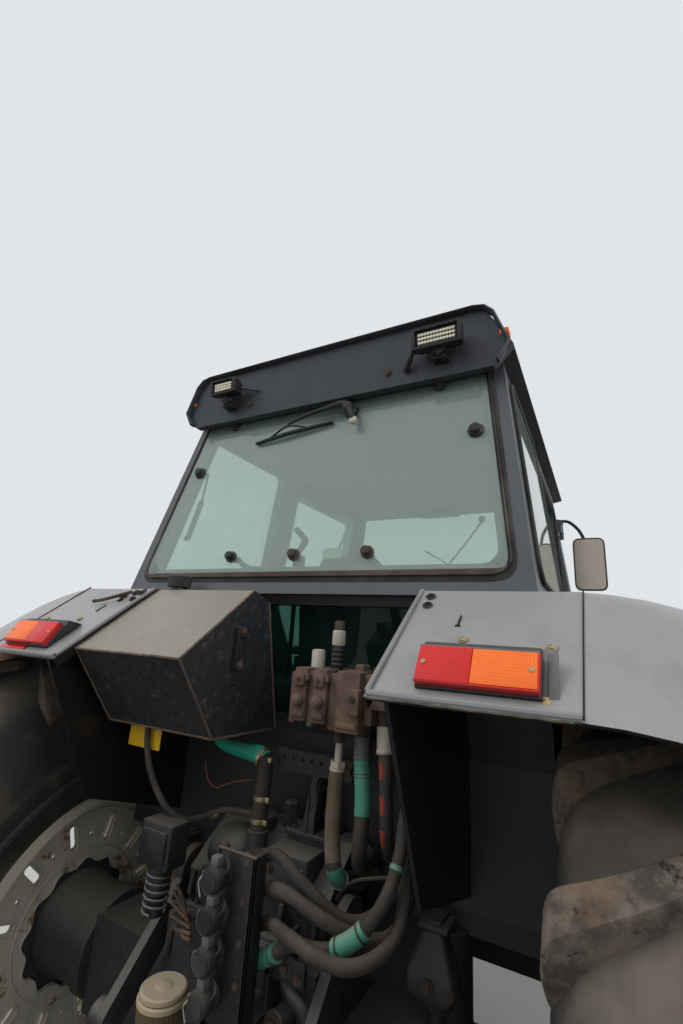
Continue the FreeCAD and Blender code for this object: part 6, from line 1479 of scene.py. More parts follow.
def add_rear_clutter():
    """The filler cap, the spring pot, straps and small brackets behind the housing."""
    form = Form()
    cap = Vector((-0.090, -0.350, 1.144))
    for height, radius, slot in ((0.0, 0.052, 0), (-0.014, 0.056, 0)):
        form.lathe([(0, radius - 0.004), (0.003, radius), (0.011, radius), (0.014, radius - 0.004), (0.014, 0)],
                   cap + Vector((0, 0, height - 0.014)), (0, 0, 1), 40, slot)
    ribs = []
    for height, radius in ((-0.066, 0.046), (-0.060, 0.051), (-0.030, 0.052), (-0.026, 0.049)):
        ring = []
        for j in range(64):
            swell = 1.0 + (0.03 if j % 2 else 0.0)
            angle = math.pi * j / 32
            ring.append(cap + Vector((radius * swell * math.cos(angle), radius * swell * math.sin(angle), height)))
        ribs.append(ring)
    form.loft(ribs, 1)
    form.lathe([(0, 0.036), (0.050, 0.036)], cap + Vector((0, 0, -0.114)), (0, 0, 1), 28, 3)
    form.lathe([(-0.012, 0.020), (0.0, 0.021), (0.003, 0.016), (0.003, 0)], cap + Vector((0, 0, 0.000)), (0, 0, 1), 24, 0)
    form.box((-0.262, -0.330, 1.336), (-0.152, -0.262, 1.440), 2, 0.008)
    form.box((-0.250, -0.336, 1.352), (-0.164, -0.328, 1.424), 2, 0.004)
    form.lathe([(0, 0.030), (0.060, 0.030), (0.066, 0.022), (0.110, 0.022)], (-0.208, -0.296, 1.336), (0, 0, -1), 20, 2)
    coil = []
    for k in range(60):
        angle = k * 0.62
        coil.append((-0.208 + 0.030 * math.cos(angle), -0.296 + 0.030 * math.sin(angle), 1.330 - 0.0016 * k))
    form.tube(coil, 0.0035, 6, 3, smooth=1)
    for k in range(7):
        angle = 0.9 * k
        start = Vector((-0.150 + 0.006 * k, -0.285, 1.300 - 0.012 * k))
        form.tube([start, start + Vector((0.022 * math.cos(angle), -0.016, 0.018 * math.sin(angle))),
                   start + Vector((0.034, -0.008, -0.020)), start + Vector((0.020, 0.010, -0.040))], 0.0042, 6, 4)
    form.box((0.145, -0.300, 1.216), (0.245, -0.288, 1.262), 2, 0.003)
    form.box((0.145, -0.300, 1.150), (0.157, -0.180, 1.262), 2, 0.003)
    form.bolt((0.197, -0.300, 1.241), (0, -1, 0), 0.010, 0.009, 4)
    form.bolt((0.228, -0.300, 1.232), (0, -1, 0), 0.007, 0.006, 4)
    for z, x in ((1.105, 0.16), (1.06, 0.205)):
        form.rod((x, -0.20, z), (x, -0.275, z + 0.012), 0.026, 20, 3)
        form.bolt((x, -0.275, z + 0.012), (0, -1, 0.16), 0.013, 0.010, 4)
    form.tube([(0.150, -0.235, 1.180), (0.190, -0.262, 1.178), (0.228, -0.255, 1.150), (0.232, -0.240, 1.090),
               (0.200, -0.235, 1.050)], 0.012, 12, 3)
    form.tube([(-0.050, -0.200, 1.205), (-0.100, -0.262, 1.240), (-0.140, -0.290, 1.220), (-0.160, -0.280, 1.150)],
              0.009, 10, 5)
    form.tube([(0.330, -0.260, 1.140), (0.300, -0.290, 1.110), (0.296, -0.280, 1.020), (0.310, -0.250, 0.930)],
              0.003, 8, 6)
    piece("rear_clutter", form, [CREAM, OLIVE, FRAME_BLACK, CAST, IRON, HOSE, PALE])


def add_mount_castings():
    """The cast brackets round the cab's rear mounts."""
    form = Form()
    levels = [(1.286, 0.405, 0.452, -0.020, 0.120), (1.262, 0.404, 0.456, -0.026, 0.130),
              (1.184, 0.370, 0.486, -0.046, 0.140), (1.152, 0.372, 0.486, -0.050, 0.130),
              (1.136, 0.384, 0.478, -0.044, 0.120)]
    rings = []
    for z, x0, x1, y0, y1 in levels:
        rings.append([(p.x, p.y, z) for p in soft_corners([(x0, y0), (x1, y0), (x1, y1), (x0, y1)], 0.014, 4)])
    form.loft(rings, 0)
    form.box((0.396, -0.034, 1.266), (0.470, 0.140, 1.280), 0, 0.005)
    form.lathe([(0, 0.040), (0.014, 0.046), (0.030, 0.040), (0.042, 0.034)], (0.430, 0.020, 1.140), (0, 0, -1), 28, 1)
    form.rod((0.430, 0.020, 1.100), (0.430, 0.020, 0.960), 0.020, 20, 0)
    form.bolt((0.428, -0.052, 1.168), (0, -1, 0), 0.010, 0.008, 2)
    both = Form()
    both.join(form)
    both.join(form.mirrored())
    piece("mount_castings", both, [LINK, BLACK_RUBBER, IRON])


# Fenders' outer parts: one curved skin on the line of the solid

FENDER_PATH = [(-0.535, 1.828), (-0.240, 2.0498), (0.330, 2.0498), (0.760, 1.770), (0.985, 1.290)]
FENDER_SEAM = 0.8125

# Columns: distance out from the seam, drop below the fender's line
OUTER_DROPS = [(0.0, 0.0), (0.05, 0.002), (0.11, 0.009), (0.17, 0.022), (0.24, 0.044), (0.31, 0.070), (0.38, 0.099),
               (0.44, 0.126), (0.480, 0.1440), (0.493, 0.1535), (0.4965, 0.1660)]


def softened(points, reach, steps=7):
    """An open line with its inner corners rounded from a reach before them to a reach after."""
    line = [Vector(points[0])]
    for i in range(1, len(points) - 1):
        before, here, after = (Vector(points[j]) for j in (i - 1, i, i + 1))
        start = here + (before - here).normalized() * reach
        end = here + (after - here).normalized() * reach
        for k in range(steps + 1):
            t = k / steps
            line.append(start.lerp(here, t).lerp(here.lerp(end, t), t))
    line.append(Vector(points[-1]))
    return line


def add_fender_extensions():
    """The fenders' outer parts, curving down from the seam to a rolled outer edge."""
    lines = []
    for out, drop in OUTER_DROPS:
        reach = 0.012 + 0.110 * min(out / 0.20, 1)
        lines.append([Vector((FENDER_SEAM + out, y + drop * 0.15, z - drop)) for y, z in softened(FENDER_PATH, reach)])
    form = Form()
    rings = []
    count = len(lines[0])
    for i in range(count):
        before, after = lines[0][max(i - 1, 0)], lines[0][min(i + 1, count - 1)]
        inward = (after - before).cross(Vector((1, 0, 0))).normalized() * -0.006
        inward = -inward if inward.z > 0 else inward
        top = [line[i] for line in lines]
        rings.append(top + [p + inward for p in reversed(top)])
    form.loft(rings)
    for side, made in (("right", form), ("left", form.mirrored())):
        shown = piece("curved_fender_extension_" + side, made, FENDER, smooth=50)
        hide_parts("fender_extension_" + side)


# Seat

def pad_form(place, half, power=5.0, crown=2.4, waist=0.05, flat=0.45, narrow=None, channels=()):
    """A stuffed pad in a matrix's frame: crowned above, flatter below, its sides pulled in, with sewn channels."""
    form = Form()
    rings = []
    sides, levels = 72, 22
    for i in range(levels + 1):
        tilt = -math.pi / 2 + math.pi * i / levels
        level = math.copysign(abs(math.sin(tilt)) ** (2 / crown), math.sin(tilt))
        spread = max(math.cos(tilt), 0.0) ** (2 / (crown + 1.2))
        ring = []
        for j in range(sides):
            angle = 2 * math.pi * j / sides
            x = math.copysign(abs(math.cos(angle)) ** (2 / power), math.cos(angle)) * spread
            y = math.copysign(abs(math.sin(angle)) ** (2 / power), math.sin(angle)) * spread
            pull_x, pull_y = 1 - waist * (1 - y * y), 1 - waist * (1 - x * x)
            z = level * (1.0 if level > 0 else flat)
            if level > 0:
                z -= 0.10 * (x * x + y * y) * level
            width = 1.0
            if narrow:
                start, share = narrow
                over = min(max((y - start) / (1 - start), 0), 1)
                width = 1 - (1 - share) * over * over * (3 - 2 * over)
            spot = Vector((x * pull_x * half[0] * width, y * pull_y * half[1], z * half[2]))
            for axis, at, depth, reach in channels:
                if level > 0:
                    spot.z -= depth * math.exp(-((spot[axis] - at) / reach) ** 2) * min(level * 3, 1)
            swell = noise.noise(spot * 14.0) * 0.0035
            ring.append(place @ (spot + Vector((0, 0, swell if level > 0.1 else 0))))
        rings.append(ring)
    form.loft(rings)
    return form


def piping(place, half, power, height, waist=0.05, narrow=None):
    """The points of the sewn cord round a pad's edge."""
    line = []
    for j in range(96):
        angle = 2 * math.pi * j / 96
        x = math.copysign(abs(math.cos(angle)) ** (2 / power), math.cos(angle))
        y = math.copysign(abs(math.sin(angle)) ** (2 / power), math.sin(angle))
        width = 1.0
        if narrow:
            start, share = narrow
            over = min(max((y - start) / (1 - start), 0), 1)
            width = 1 - (1 - share) * over * over * (3 - 2 * over)
        line.append(place @ Vector((x * (1 - waist * (1 - y * y)) * half[0] * width,
                                    y * (1 - waist * (1 - x * x)) * half[1], height)))
    return line


def add_seat():
    """The driver's seat: base with bellows, pan, shell, armrests, and the stuffed pads on them."""
    base = Form()
    base.box((-0.170, 0.380, 1.300), (0.170, 0.640, 1.335), 0, 0.008)
    for k in range(5):
        z = 1.338 + 0.034 * k
        base.loft([[(p.x, p.y, z + lift) for p in soft_corners([(-w, 0.515 - d), (w, 0.515 - d), (w, 0.515 + d),
                                                                (-w, 0.515 + d)], 0.035, 4)]
                   for lift, w, d in ((0.0, 0.140, 0.108), (0.017, 0.163, 0.122), (0.034, 0.140, 0.108))], 1)
    base.box((-0.205, 0.320, 1.508), (0.205, 0.730, 1.560), 0, 0.016)
    shell = upright((-1, 0, 0), (0, -0.133, 0.991), (0, 0.300, 1.965))
    back = soft_corners([(-0.215, -0.290), (0.215, -0.290), (0.215, 0.120), (0.105, 0.270), (-0.105, 0.270),
                         (-0.215, 0.120)], 0.045, 5)
    base.plate([back], shell @ Matrix.Translation((0, 0, -0.036)), 0.030, 0, 0.008)
    for side in (1, -1):
        base.tube([(side * 0.222, 0.400, 1.560), (side * 0.246, 0.345, 1.640), (side * 0.262, 0.352, 1.760),
                   (side * 0.276, 0.372, 1.850)], 0.015, 12, 0)
        base.tube([(side * 0.150, 0.330, 1.560), (side * 0.190, 0.275, 1.640), (side * 0.180, 0.268, 1.720)], 0.018, 12, 0)
        base.rod((side * 0.205, 0.560, 1.520), (side * 0.232, 0.560, 1.520), 0.028, 24, 1)
    base.tube([(0.120, 0.720, 1.515), (0.150, 0.765, 1.520), (0.205, 0.765, 1.520)], 0.007, 10, 0)
    made = piece("seat_base", base, [PLASTIC, BLACK_RUBBER])
    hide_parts("seat")
    cushion = upright((1, 0, 0), (0, 1, 0), (0, 0.540, 1.600))
    half = (0.246, 0.236, 0.088)
    lower = pad_form(cushion, half, channels=((0, 0.135, 0.010, 0.007), (0, -0.135, 0.010, 0.007),
                                              (1, 0.070, 0.007, 0.007), (1, -0.060, 0.007, 0.007)))
    upper_at = upright((-1, 0, 0), (0, -0.133, 0.991), (0, 0.322, 1.972))
    tall = (0.236, 0.284, 0.074)
    upper = pad_form(upper_at, tall, narrow=(0.35, 0.46), channels=(
        (0, 0.125, 0.010, 0.007), (0, -0.125, 0.010, 0.007), (1, 0.130, 0.009, 0.007), (1, -0.010, 0.006, 0.007),
        (1, -0.140, 0.006, 0.007)))
    piece("seat_cushion", lower, CLOTH, smooth=60)
    piece("seat_back", upper, CLOTH, smooth=60)
    cords = Form()
    cords.tube(piping(cushion, (0.247, 0.237), 5.0, 0.012), 0.0042, 8, 0, closed=True, smooth=1)
    cords.tube(piping(upper_at, (0.237, 0.285), 5.0, 0.010, narrow=(0.35, 0.46)), 0.0042, 8, 0, closed=True, smooth=1)
    piece("seat_piping", cords, VINYL)
    for side, name in ((1, "right"), (-1, "left")):
        arm = upright((1, 0, 0), (0, 1, 0), (side * 0.281, 0.490, 1.872))
        rest = pad_form(arm, (0.028, 0.148, 0.030), power=4.0, flat=0.6, waist=0.02)
        piece("armrest_" + name, rest, VINYL, smooth=60)


# Dashboard, levers and pedals

def add_dashboard():
    """The console with its cowl, dials, switches and steering wheel."""
    form = Form()
    outline = [(1.563, 1.300), (1.563, 1.745), (1.552, 1.858), (1.430, 1.898), (1.372, 1.780), (1.410, 1.660),
               (1.440, 1.300)]
    form.plate([outline], upright((0, 1, 0), (0, 0, 1), (-0.228, 0, 0)), 0.456, 0, 0.018)
    cowl = [(1.555, 1.850), (1.430, 1.896), (1.404, 1.902), (1.400, 1.912), (1.430, 1.926), (1.545, 1.880)]
    form.plate([cowl], upright((0, 1, 0), (0, 0, 1), (-0.200, 0, 0)), 0.400, 0, 0.006)
    down = Vector((0, -0.441, -0.897))
    out = Vector((0, -0.897, 0.441))
    face = upright((1, 0, 0), -down, (0, 1.4015, 1.8395))
    for x, radius in ((-0.110, 0.044), (0.0, 0.050), (0.110, 0.044)):
        at = face @ Vector((x, 0, 0))
        form.lathe([(0, radius + 0.006), (0.008, radius + 0.005), (0.008, radius), (0.003, radius - 0.001), (0.003, 0)],
                   at, out, 32, 1)
        form.plate([ring_line(radius - 0.002, 32)], upright((1, 0, 0), -down, at + out * 0.0032), 0.0006, 2)
        form.box(at + Vector((-0.0012, -0.004, -0.002)), at + Vector((0.0012, -0.003, 0.030)), 3, 0.0)
    for k in range(6):
        x = -0.175 + 0.07 * k
        form.box((x - 0.016, 1.392, 1.700), (x + 0.016, 1.404, 1.724), 1, 0.003)
    foot, hub = Vector((0, 1.420, 1.760)), Vector((0, 1.215, 1.985))
    way = (hub - foot).normalized()
    form.lathe([(0, 0.070), (0.030, 0.066), (0.050, 0.048), (0.200, 0.040), (0.262, 0.036)], foot, way, 28, 0)
    form.lathe([(0.262, 0.024), (0.290, 0.024), (0.292, 0.034), (0.312, 0.036), (0.318, 0.028), (0.318, 0)], foot, way,
               28, 1)
    _, side, other = axes_of(way)
    rim_at = hub + way * 0.004
    rim = []
    for j in range(64):
        angle = 2 * math.pi * j / 64
        rim.append(rim_at + (side * math.cos(angle) + other * math.sin(angle)) * 0.196)
    form.tube(rim, 0.0135, 12, 1, closed=True, smooth=1)
    for k in range(3):
        angle = math.pi / 2 + 2 * math.pi * k / 3
        spoke = side * math.cos(angle) + other * math.sin(angle)
        form.tube([rim_at + spoke * 0.020 - way * 0.006, rim_at + spoke * 0.100 - way * 0.010, rim_at + spoke * 0.190],
                  0.0105, 10, 1)
    form.tube([(0.040, 1.345, 1.850), (0.120, 1.330, 1.880), (0.185, 1.320, 1.905)], 0.006, 10, 1)
    form.lathe([(0, 0.006), (0.008, 0.012), (0.030, 0.011), (0.034, 0.0)], (0.180, 1.321, 1.903), (0.9, -0.1, 0.3), 14, 1)
    made = piece("dressed_dashboard", form, [GREY_PLASTIC, PLASTIC, LINING, TILE_RED])
    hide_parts("dashboard")


def add_cab_controls():
    """The side consoles with their levers, the pedals, the floor mat and the roof's lining."""
    form = Form()
    for side in (1, -1):
        console = [(0.130, 1.300), (0.130, 1.700), (0.600, 1.760), (0.860, 1.700), (0.900, 1.300)]
        form.plate([console], upright((0, 1, 0), (0, 0, 1), (side * 0.470 - 0.105, 0, 0)), 0.210, 0, 0.020)
    for x, y, tall, slot in ((0.420, 0.560, 0.150, 2), (0.470, 0.600, 0.130, 1), (0.520, 0.560, 0.150, 4),
                             (0.420, 0.720, 0.110, 1), (0.520, 0.740, 0.120, 1)):
        foot = Vector((x, y, 1.735))
        tip = foot + Vector((0, 0.030, tall))
        form.lathe([(0, 0.026), (0.010, 0.022), (0.022, 0.010)], foot, (0, 0.2, 1), 16, 1)
        form.tube([foot, foot.lerp(tip, 0.5) + Vector((0, -0.004, 0)), tip], 0.0055, 10, 1)
        form.lathe([(0, 0.008), (0.010, 0.015), (0.030, 0.017), (0.046, 0.012), (0.050, 0.0)], tip, (0, 0.2, 1), 18, slot)
    form.tube([(-0.420, 0.520, 1.700), (-0.418, 0.520, 2.000), (-0.412, 0.510, 2.280), (-0.380, 0.500, 2.372)], 0.011, 12,
              1)
    form.tube([(-0.430, 0.500, 2.428), (-0.400, 0.500, 2.400), (-0.372, 0.500, 2.368), (-0.385, 0.500, 2.345),
               (-0.410, 0.500, 2.310)], 0.015, 12, 1)
    for x, y, z in ((-0.230, 1.330, 1.400), (0.110, 1.345, 1.400), (0.190, 1.345, 1.400)):
        turn = Matrix.Rotation(math.radians(-38), 3, "X")
        form.box((x - 0.032, y - 0.040, z - 0.004), (x + 0.032, y + 0.040, z + 0.006), 1, 0.004, turn, (x, y, z))
        for k in range(4):
            form.box((x - 0.028, y - 0.030 + 0.018 * k, z + 0.006), (x + 0.028, y - 0.024 + 0.018 * k, z + 0.009), 1, 0.001,
                     turn, (x, y, z))
        form.tube([(x, y + 0.010, z - 0.004), (x, y + 0.070, z + 0.030), (x, 1.440, z + 0.110)], 0.007, 10, 3)
    form.box((-0.560, 0.700, 1.2995), (0.560, 1.435, 1.3060), 1, 0.002)
    for k in range(14):
        form.box((-0.500, 0.760 + 0.045 * k, 1.306), (0.500, 0.772 + 0.045 * k, 1.309), 1, 0.001)
    lining = soft_corners([(-0.560, 0.060), (0.560, 0.060), (0.560, 1.500), (-0.560, 1.500)], 0.05, 5)
    form.plate([lining], upright((1, 0, 0), (0, 1, 0), (0, 0, 2.7405)), 0.0050, 5, 0.001)
    form.box((-0.120, 1.360, 2.690), (0.120, 1.410, 2.7405), 1, 0.006)
    form.lathe([(0, 0.050), (0.012, 0.046), (0.016, 0.030), (0.016, 0)], (0.0, 0.700, 2.7405), (0, 0, -1), 28, 6)
    piece("cab_controls", form, [GREY_PLASTIC, PLASTIC, TILE_RED, IRON, YELLOW, LINING, CLEAR])


# Hood, grille and head lamps

def add_hood_details():
    """Seams, louvres, catches and rubber edges on the hood, and the grille's frame and mesh."""
    form = Form()
    for side in (1, -1):
        x = side * 0.345
        for k in range(9):
            y = 2.700 + 0.058 * k
            slat = [(y, 1.340), (y + 0.030, 1.340), (y + 0.058, 1.560), (y + 0.028, 1.560)]
            form.plate([soft_corners(slat, 0.008, 3)], upright((0, side, 0), (0, 0, 1), (x - side * 0.0040, 0, 0)
                                                               ) if side > 0 else
                       upright((0, 1, 0), (0, 0, 1), (x - 0.0012, 0, 0)), 0.0052, 1)
        form.box((min(x, x + side * 0.0012), 1.700, 1.2440), (max(x, x + side * 0.0012), 3.450, 1.2475), 1, 0.0)
        form.box((min(x, x + side * 0.0010), 2.420, 1.2475), (max(x, x + side * 0.0010), 2.4235, 1.780), 1, 0.0)
        form.box((min(x, x + side * 0.010), 2.020, 1.262), (max(x, x + side * 0.010), 2.100, 1.290), 1, 0.004)
        form.box((min(x, x + side * 0.010), 3.150, 1.262), (max(x, x + side * 0.010), 3.230, 1.290), 1, 0.004)
    ridge = [(0.0, 1.700, 1.8944), (0.0, 2.500, 1.8135), (0.0, 3.300, 1.7330)]
    for x in (-0.165, 0.165):
        form.tube([(x, y, z) for _, y, z in ridge], 0.0040, 8, 0, smooth=1)
    for side in (1, -1):
        form.tube([(side * 0.3410, 1.648, 1.200), (side * 0.3410, 1.648, 1.500), (side * 0.3410, 1.648, 1.780)], 0.0060, 8,
                  2, smooth=1)
    piece("hood_details", form, [HOOD, GAP_BLACK, BLACK_RUBBER], "hood")
    mesh = Form()
    frame_line = soft_corners([(-0.276, 1.246), (0.276, 1.246), (0.276, 1.566), (-0.276, 1.566)], 0.016, 5)
    mesh.tube([(a, 3.4785, b) for a, b in frame_line], 0.0065, 10, 0, closed=True, smooth=1)
    for k in range(33):
        x = -0.256 + 0.016 * k
        mesh.box((x - 0.0012, 3.4690, 1.252), (x + 0.0012, 3.4715, 1.434), 0, 0.0)
    mesh.box((-0.145, 3.4700, 1.440), (0.145, 3.4770, 1.540), 0, 0.004)
    for k in range(5):
        mesh.box((-0.135, 3.4770, 1.452 + 0.018 * k), (0.135, 3.4790, 1.458 + 0.018 * k), 0, 0.0008)
    piece("grille_mesh", mesh, PLASTIC, "hood")
    lamps = Form()
    for side in (1, -1):
        low, high = sorted((side * 0.150, side * 0.262))
        rim = soft_corners([(low, 1.440), (high, 1.440), (high, 1.540), (low, 1.540)], 0.010, 4)
        hole = soft_corners([(low + 0.007, 1.447), (high - 0.007, 1.447), (high - 0.007, 1.533), (low + 0.007, 1.533)],
                            0.008, 4)
        lamps.plate([rim, list(reversed(hole))], upright((-1, 0, 0), (0, 0, 1), (0, 3.4700, 0)) @ Matrix.Scale(
            -1, 4, (1, 0, 0)), 0.0195, 0)
        lamps.box((low + 0.003, 3.4695, 1.443), (high - 0.003, 3.4715, 1.537), 1, 0.0)
        middle = Vector(((low + high) / 2, 3.4715, 1.490))
        lamps.lathe([(0.0, 0.010), (0.002, 0.024), (0.006, 0.034), (0.012, 0.041), (0.0125, 0.0415), (0.007, 0.0355),
                     (0.003, 0.026)], middle, (0, 1, 0), 36, 1, closed=True)
        lamps.lathe([(0, 0.007), (0.008, 0.006), (0.011, 0.0)], middle, (0, 1, 0), 16, 3)
        lamps.box((low + 0.0072, 3.4850, 1.4472), (high - 0.0072, 3.4885, 1.5328), 2, 0.001)
        for k in range(9):
            x = low + 0.016 + 0.010 * k
            lamps.box((x - 0.0010, 3.4885, 1.450), (x + 0.0010, 3.4893, 1.530), 2, 0.0)
    made = piece("dressed_head_lamps", lamps, [PLASTIC, CHROME, CLEAR, LED], "hood")
    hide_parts("head_lamps")


# Exhaust, steps, tanks, weights and axle details

def add_side_details():
    """Bands and flap on the exhaust, tread on the steps, straps, caps and catches on the tank and the box."""
    form = Form()
    at = Vector((0.480, 1.740, 0.0))
    for z in (1.600, 1.700, 2.180, 2.280):
        form.lathe([(0, 0.0865), (0.002, 0.0885), (0.016, 0.0885), (0.018, 0.0865)], at + Vector((0, 0, z)), (0, 0, 1), 36, 0)
        form.box(at + Vector((-0.012, 0.082, z)), at + Vector((0.012, 0.100, z + 0.018)), 0, 0.003)
    for k in range(9):
        for j in range(13):
            angle = math.radians(180 + (j - 6) * 11)
            way = Vector((math.sin(angle), math.cos(angle), 0))
            form.lathe([(0, 0.0075), (0.0015, 0.0072)], at + Vector((0, 0, 1.752 + 0.048 * k)) + way * 0.0848, way, 8, 1)
    for z, radius in ((2.325, 0.046), (2.350, 0.040), (2.700, 0.0385)):
        form.lathe([(0, radius - 0.002), (0.002, radius), (0.014, radius), (0.016, radius - 0.002)],
                   at + Vector((0, 0, z)), (0, 0, 1), 28, 0)
    form.lathe([(0, 0.041), (0.003, 0.041), (0.003, 0)], at + Vector((0, 0.002, 2.932)), (0, -0.22, 1), 28, 0)
    form.box(at + Vector((-0.008, 0.036, 2.905)), at + Vector((0.008, 0.052, 2.945)), 0, 0.003)
    for z in (1.640, 2.240):
        form.tube([(0.480, 1.655, z), (0.500, 1.625, z), (0.540, 1.606, z)], 0.009, 10, 0)
    piece("exhaust_fittings", form, [IRON, GAP_BLACK])
    treads = Form()
    for z in (0.570, 0.800, 1.030):
        for i in range(4):
            for j in range(6):
                x, y = 0.680 + 0.047 * i, 1.112 + 0.055 * j
                treads.lathe([(0, 0.017), (0.0050, 0.0125), (0.0050, 0.0095), (0.0006, 0.0090), (0.0006, 0)],
                             (x, y, z + 0.0245), (0, 0, 1), 14, 0)
        treads.tube([(0.648, 1.084, z + 0.025), (0.856, 1.084, z + 0.025), (0.857, 1.416, z + 0.025),
                     (0.648, 1.416, z + 0.025)], 0.005, 8, 0, smooth=1)
    both = Form()
    both.join(treads)
    both.join(treads.mirrored())
    piece("step_treads", both, [IRON])
    tanks = Form()
    for y in (0.790, 1.450):
        tanks.box((-0.6045, y, 0.654), (-0.5985, y + 0.040, 1.120), 1, 0.002)
        tanks.box((-0.6045, y, 0.6535), (-0.2050, y + 0.040, 0.6605), 1, 0.002)
        tanks.bolt((-0.6045, y + 0.020, 1.080), (-1, 0, 0), 0.010, 0.010, 2)
    tanks.lathe([(0, 0.052), (0.016, 0.052), (0.018, 0.044), (0.034, 0.044), (0.038, 0.036), (0.038, 0)],
                (-0.600, 1.010, 1.020), (-1, 0, 0.12), 36, 0)
    for k in range(6):
        tanks.box((-0.6022, 0.860, 0.760 + 0.045 * k), (-0.5985, 1.420, 0.768 + 0.045 * k), 0, 0.001)
    tanks.box((0.5885, 1.052, 1.0450), (0.5950, 1.540, 1.0560), 0, 0.002)
    for y in (1.140, 1.430):
        tanks.box((0.5885, y, 1.0200), (0.6000, y + 0.028, 1.0850), 0, 0.003)
    for k in range(5):
        tanks.box((0.5885, 1.110, 0.780 + 0.036 * k), (0.5920, 1.480, 0.788 + 0.036 * k), 0, 0.001)
    piece("tank_and_box_fittings", tanks, [PLASTIC, FRAME_BLACK, IRON])


FRAME_HALF = 0.225


def add_front_details():
    """The weights' clamp, bosses and grips, and bolts on the front axle, frame and hubs."""
    form = Form()
    form.rod((-0.322, 3.560, 0.940), (0.322, 3.560, 0.940), 0.014, 20, 1)
    for side in (1, -1):
        form.bolt((side * 0.310, 3.560, 0.940), (side, 0, 0), 0.024, 0.018, 1)
        form.lathe([(0, 0.052), (0.004, 0.052), (0.006, 0.046), (0.006, 0)], (side * 0.3075, 3.690, 0.940), (side, 0, 0),
                   32, 0)
    for k in range(10):
        x = -0.279 + 0.062 * k
        form.tube([(x, 3.560, 1.176), (x, 3.575, 1.196), (x, 3.640, 1.200), (x, 3.705, 1.196), (x, 3.720, 1.176)], 0.010, 10,
                  0)
        form.box((x - 0.022, 3.832, 0.800), (x + 0.022, 3.8395, 0.980), 0, 0.003)
    form.rod((0.0, 3.520, 0.640), (0.0, 3.520, 0.705), 0.020, 20, 1)
    piece("weight_details", form, [WEIGHT, IRON])
    axle = Form()
    for side in (1, -1):
        low, high = sorted((side * FRAME_HALF, side * (FRAME_HALF + 0.006)))
        axle.box((low, 2.640, 1.030), (high, 2.840, 1.120), 1, 0.003)
        for y in (2.665, 2.740, 2.815):
            for z in (1.052, 1.098):
                axle.bolt((side * (FRAME_HALF + 0.006), y, z), (side, 0, 0), 0.011, 0.010, 0)
        for k in range(4):
            axle.bolt((side * FRAME_HALF, 2.960 + 0.120 * k, 1.075), (side, 0, 0), 0.012, 0.011, 0)
    axle.lathe([(0, 0.100), (0.012, 0.100), (0.018, 0.092), (0.018, 0.060), (0.030, 0.056), (0.030, 0)],
               (0, 2.870, 0.720), (0, 1, 0), 36, 1)
    for k in range(8):
        angle = 2 * math.pi * k / 8
        axle.bolt((0.080 * math.sin(angle), 2.888, 0.720 + 0.080 * math.cos(angle)), (0, 1, 0), 0.009, 0.008, 0)
    piece("axle_bolts", axle, [IRON, CAST])


# Doors and the other windows

# The corners of the doors' openings, forward and up
DOOR_LIGHT = [(1.374, 1.392), (1.106, 1.392), (0.908, 1.822), (0.734, 2.090), (0.734, 2.684), (1.374, 2.684)]


def rim_of(node, first, second):
    """The outline of a packed pane's right half, or of all of it, as seen along its other axis."""
    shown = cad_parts[node]
    spots = []
    for vertex in shown.data.vertices:
        spot = shown.matrix_world @ vertex.co - AXLE
        if first == 0 or spot.x > 0:
            spots.append((spot[first], spot[second]))
    return [spots[i] for i in convex_hull_2d(spots)]


def drawn_in(line, share):
    """An outline drawn in towards its middle by a distance."""
    middle = sum((Vector(p) for p in line), Vector((0, 0))) / len(line)
    return [Vector(p) - (Vector(p) - middle).normalized() * share for p in line]


def screen_y(z):
    """How far forward the windscreen's outer face stands at a height."""
    return 1.616 - 0.090 * (z - 1.750) / 1.050


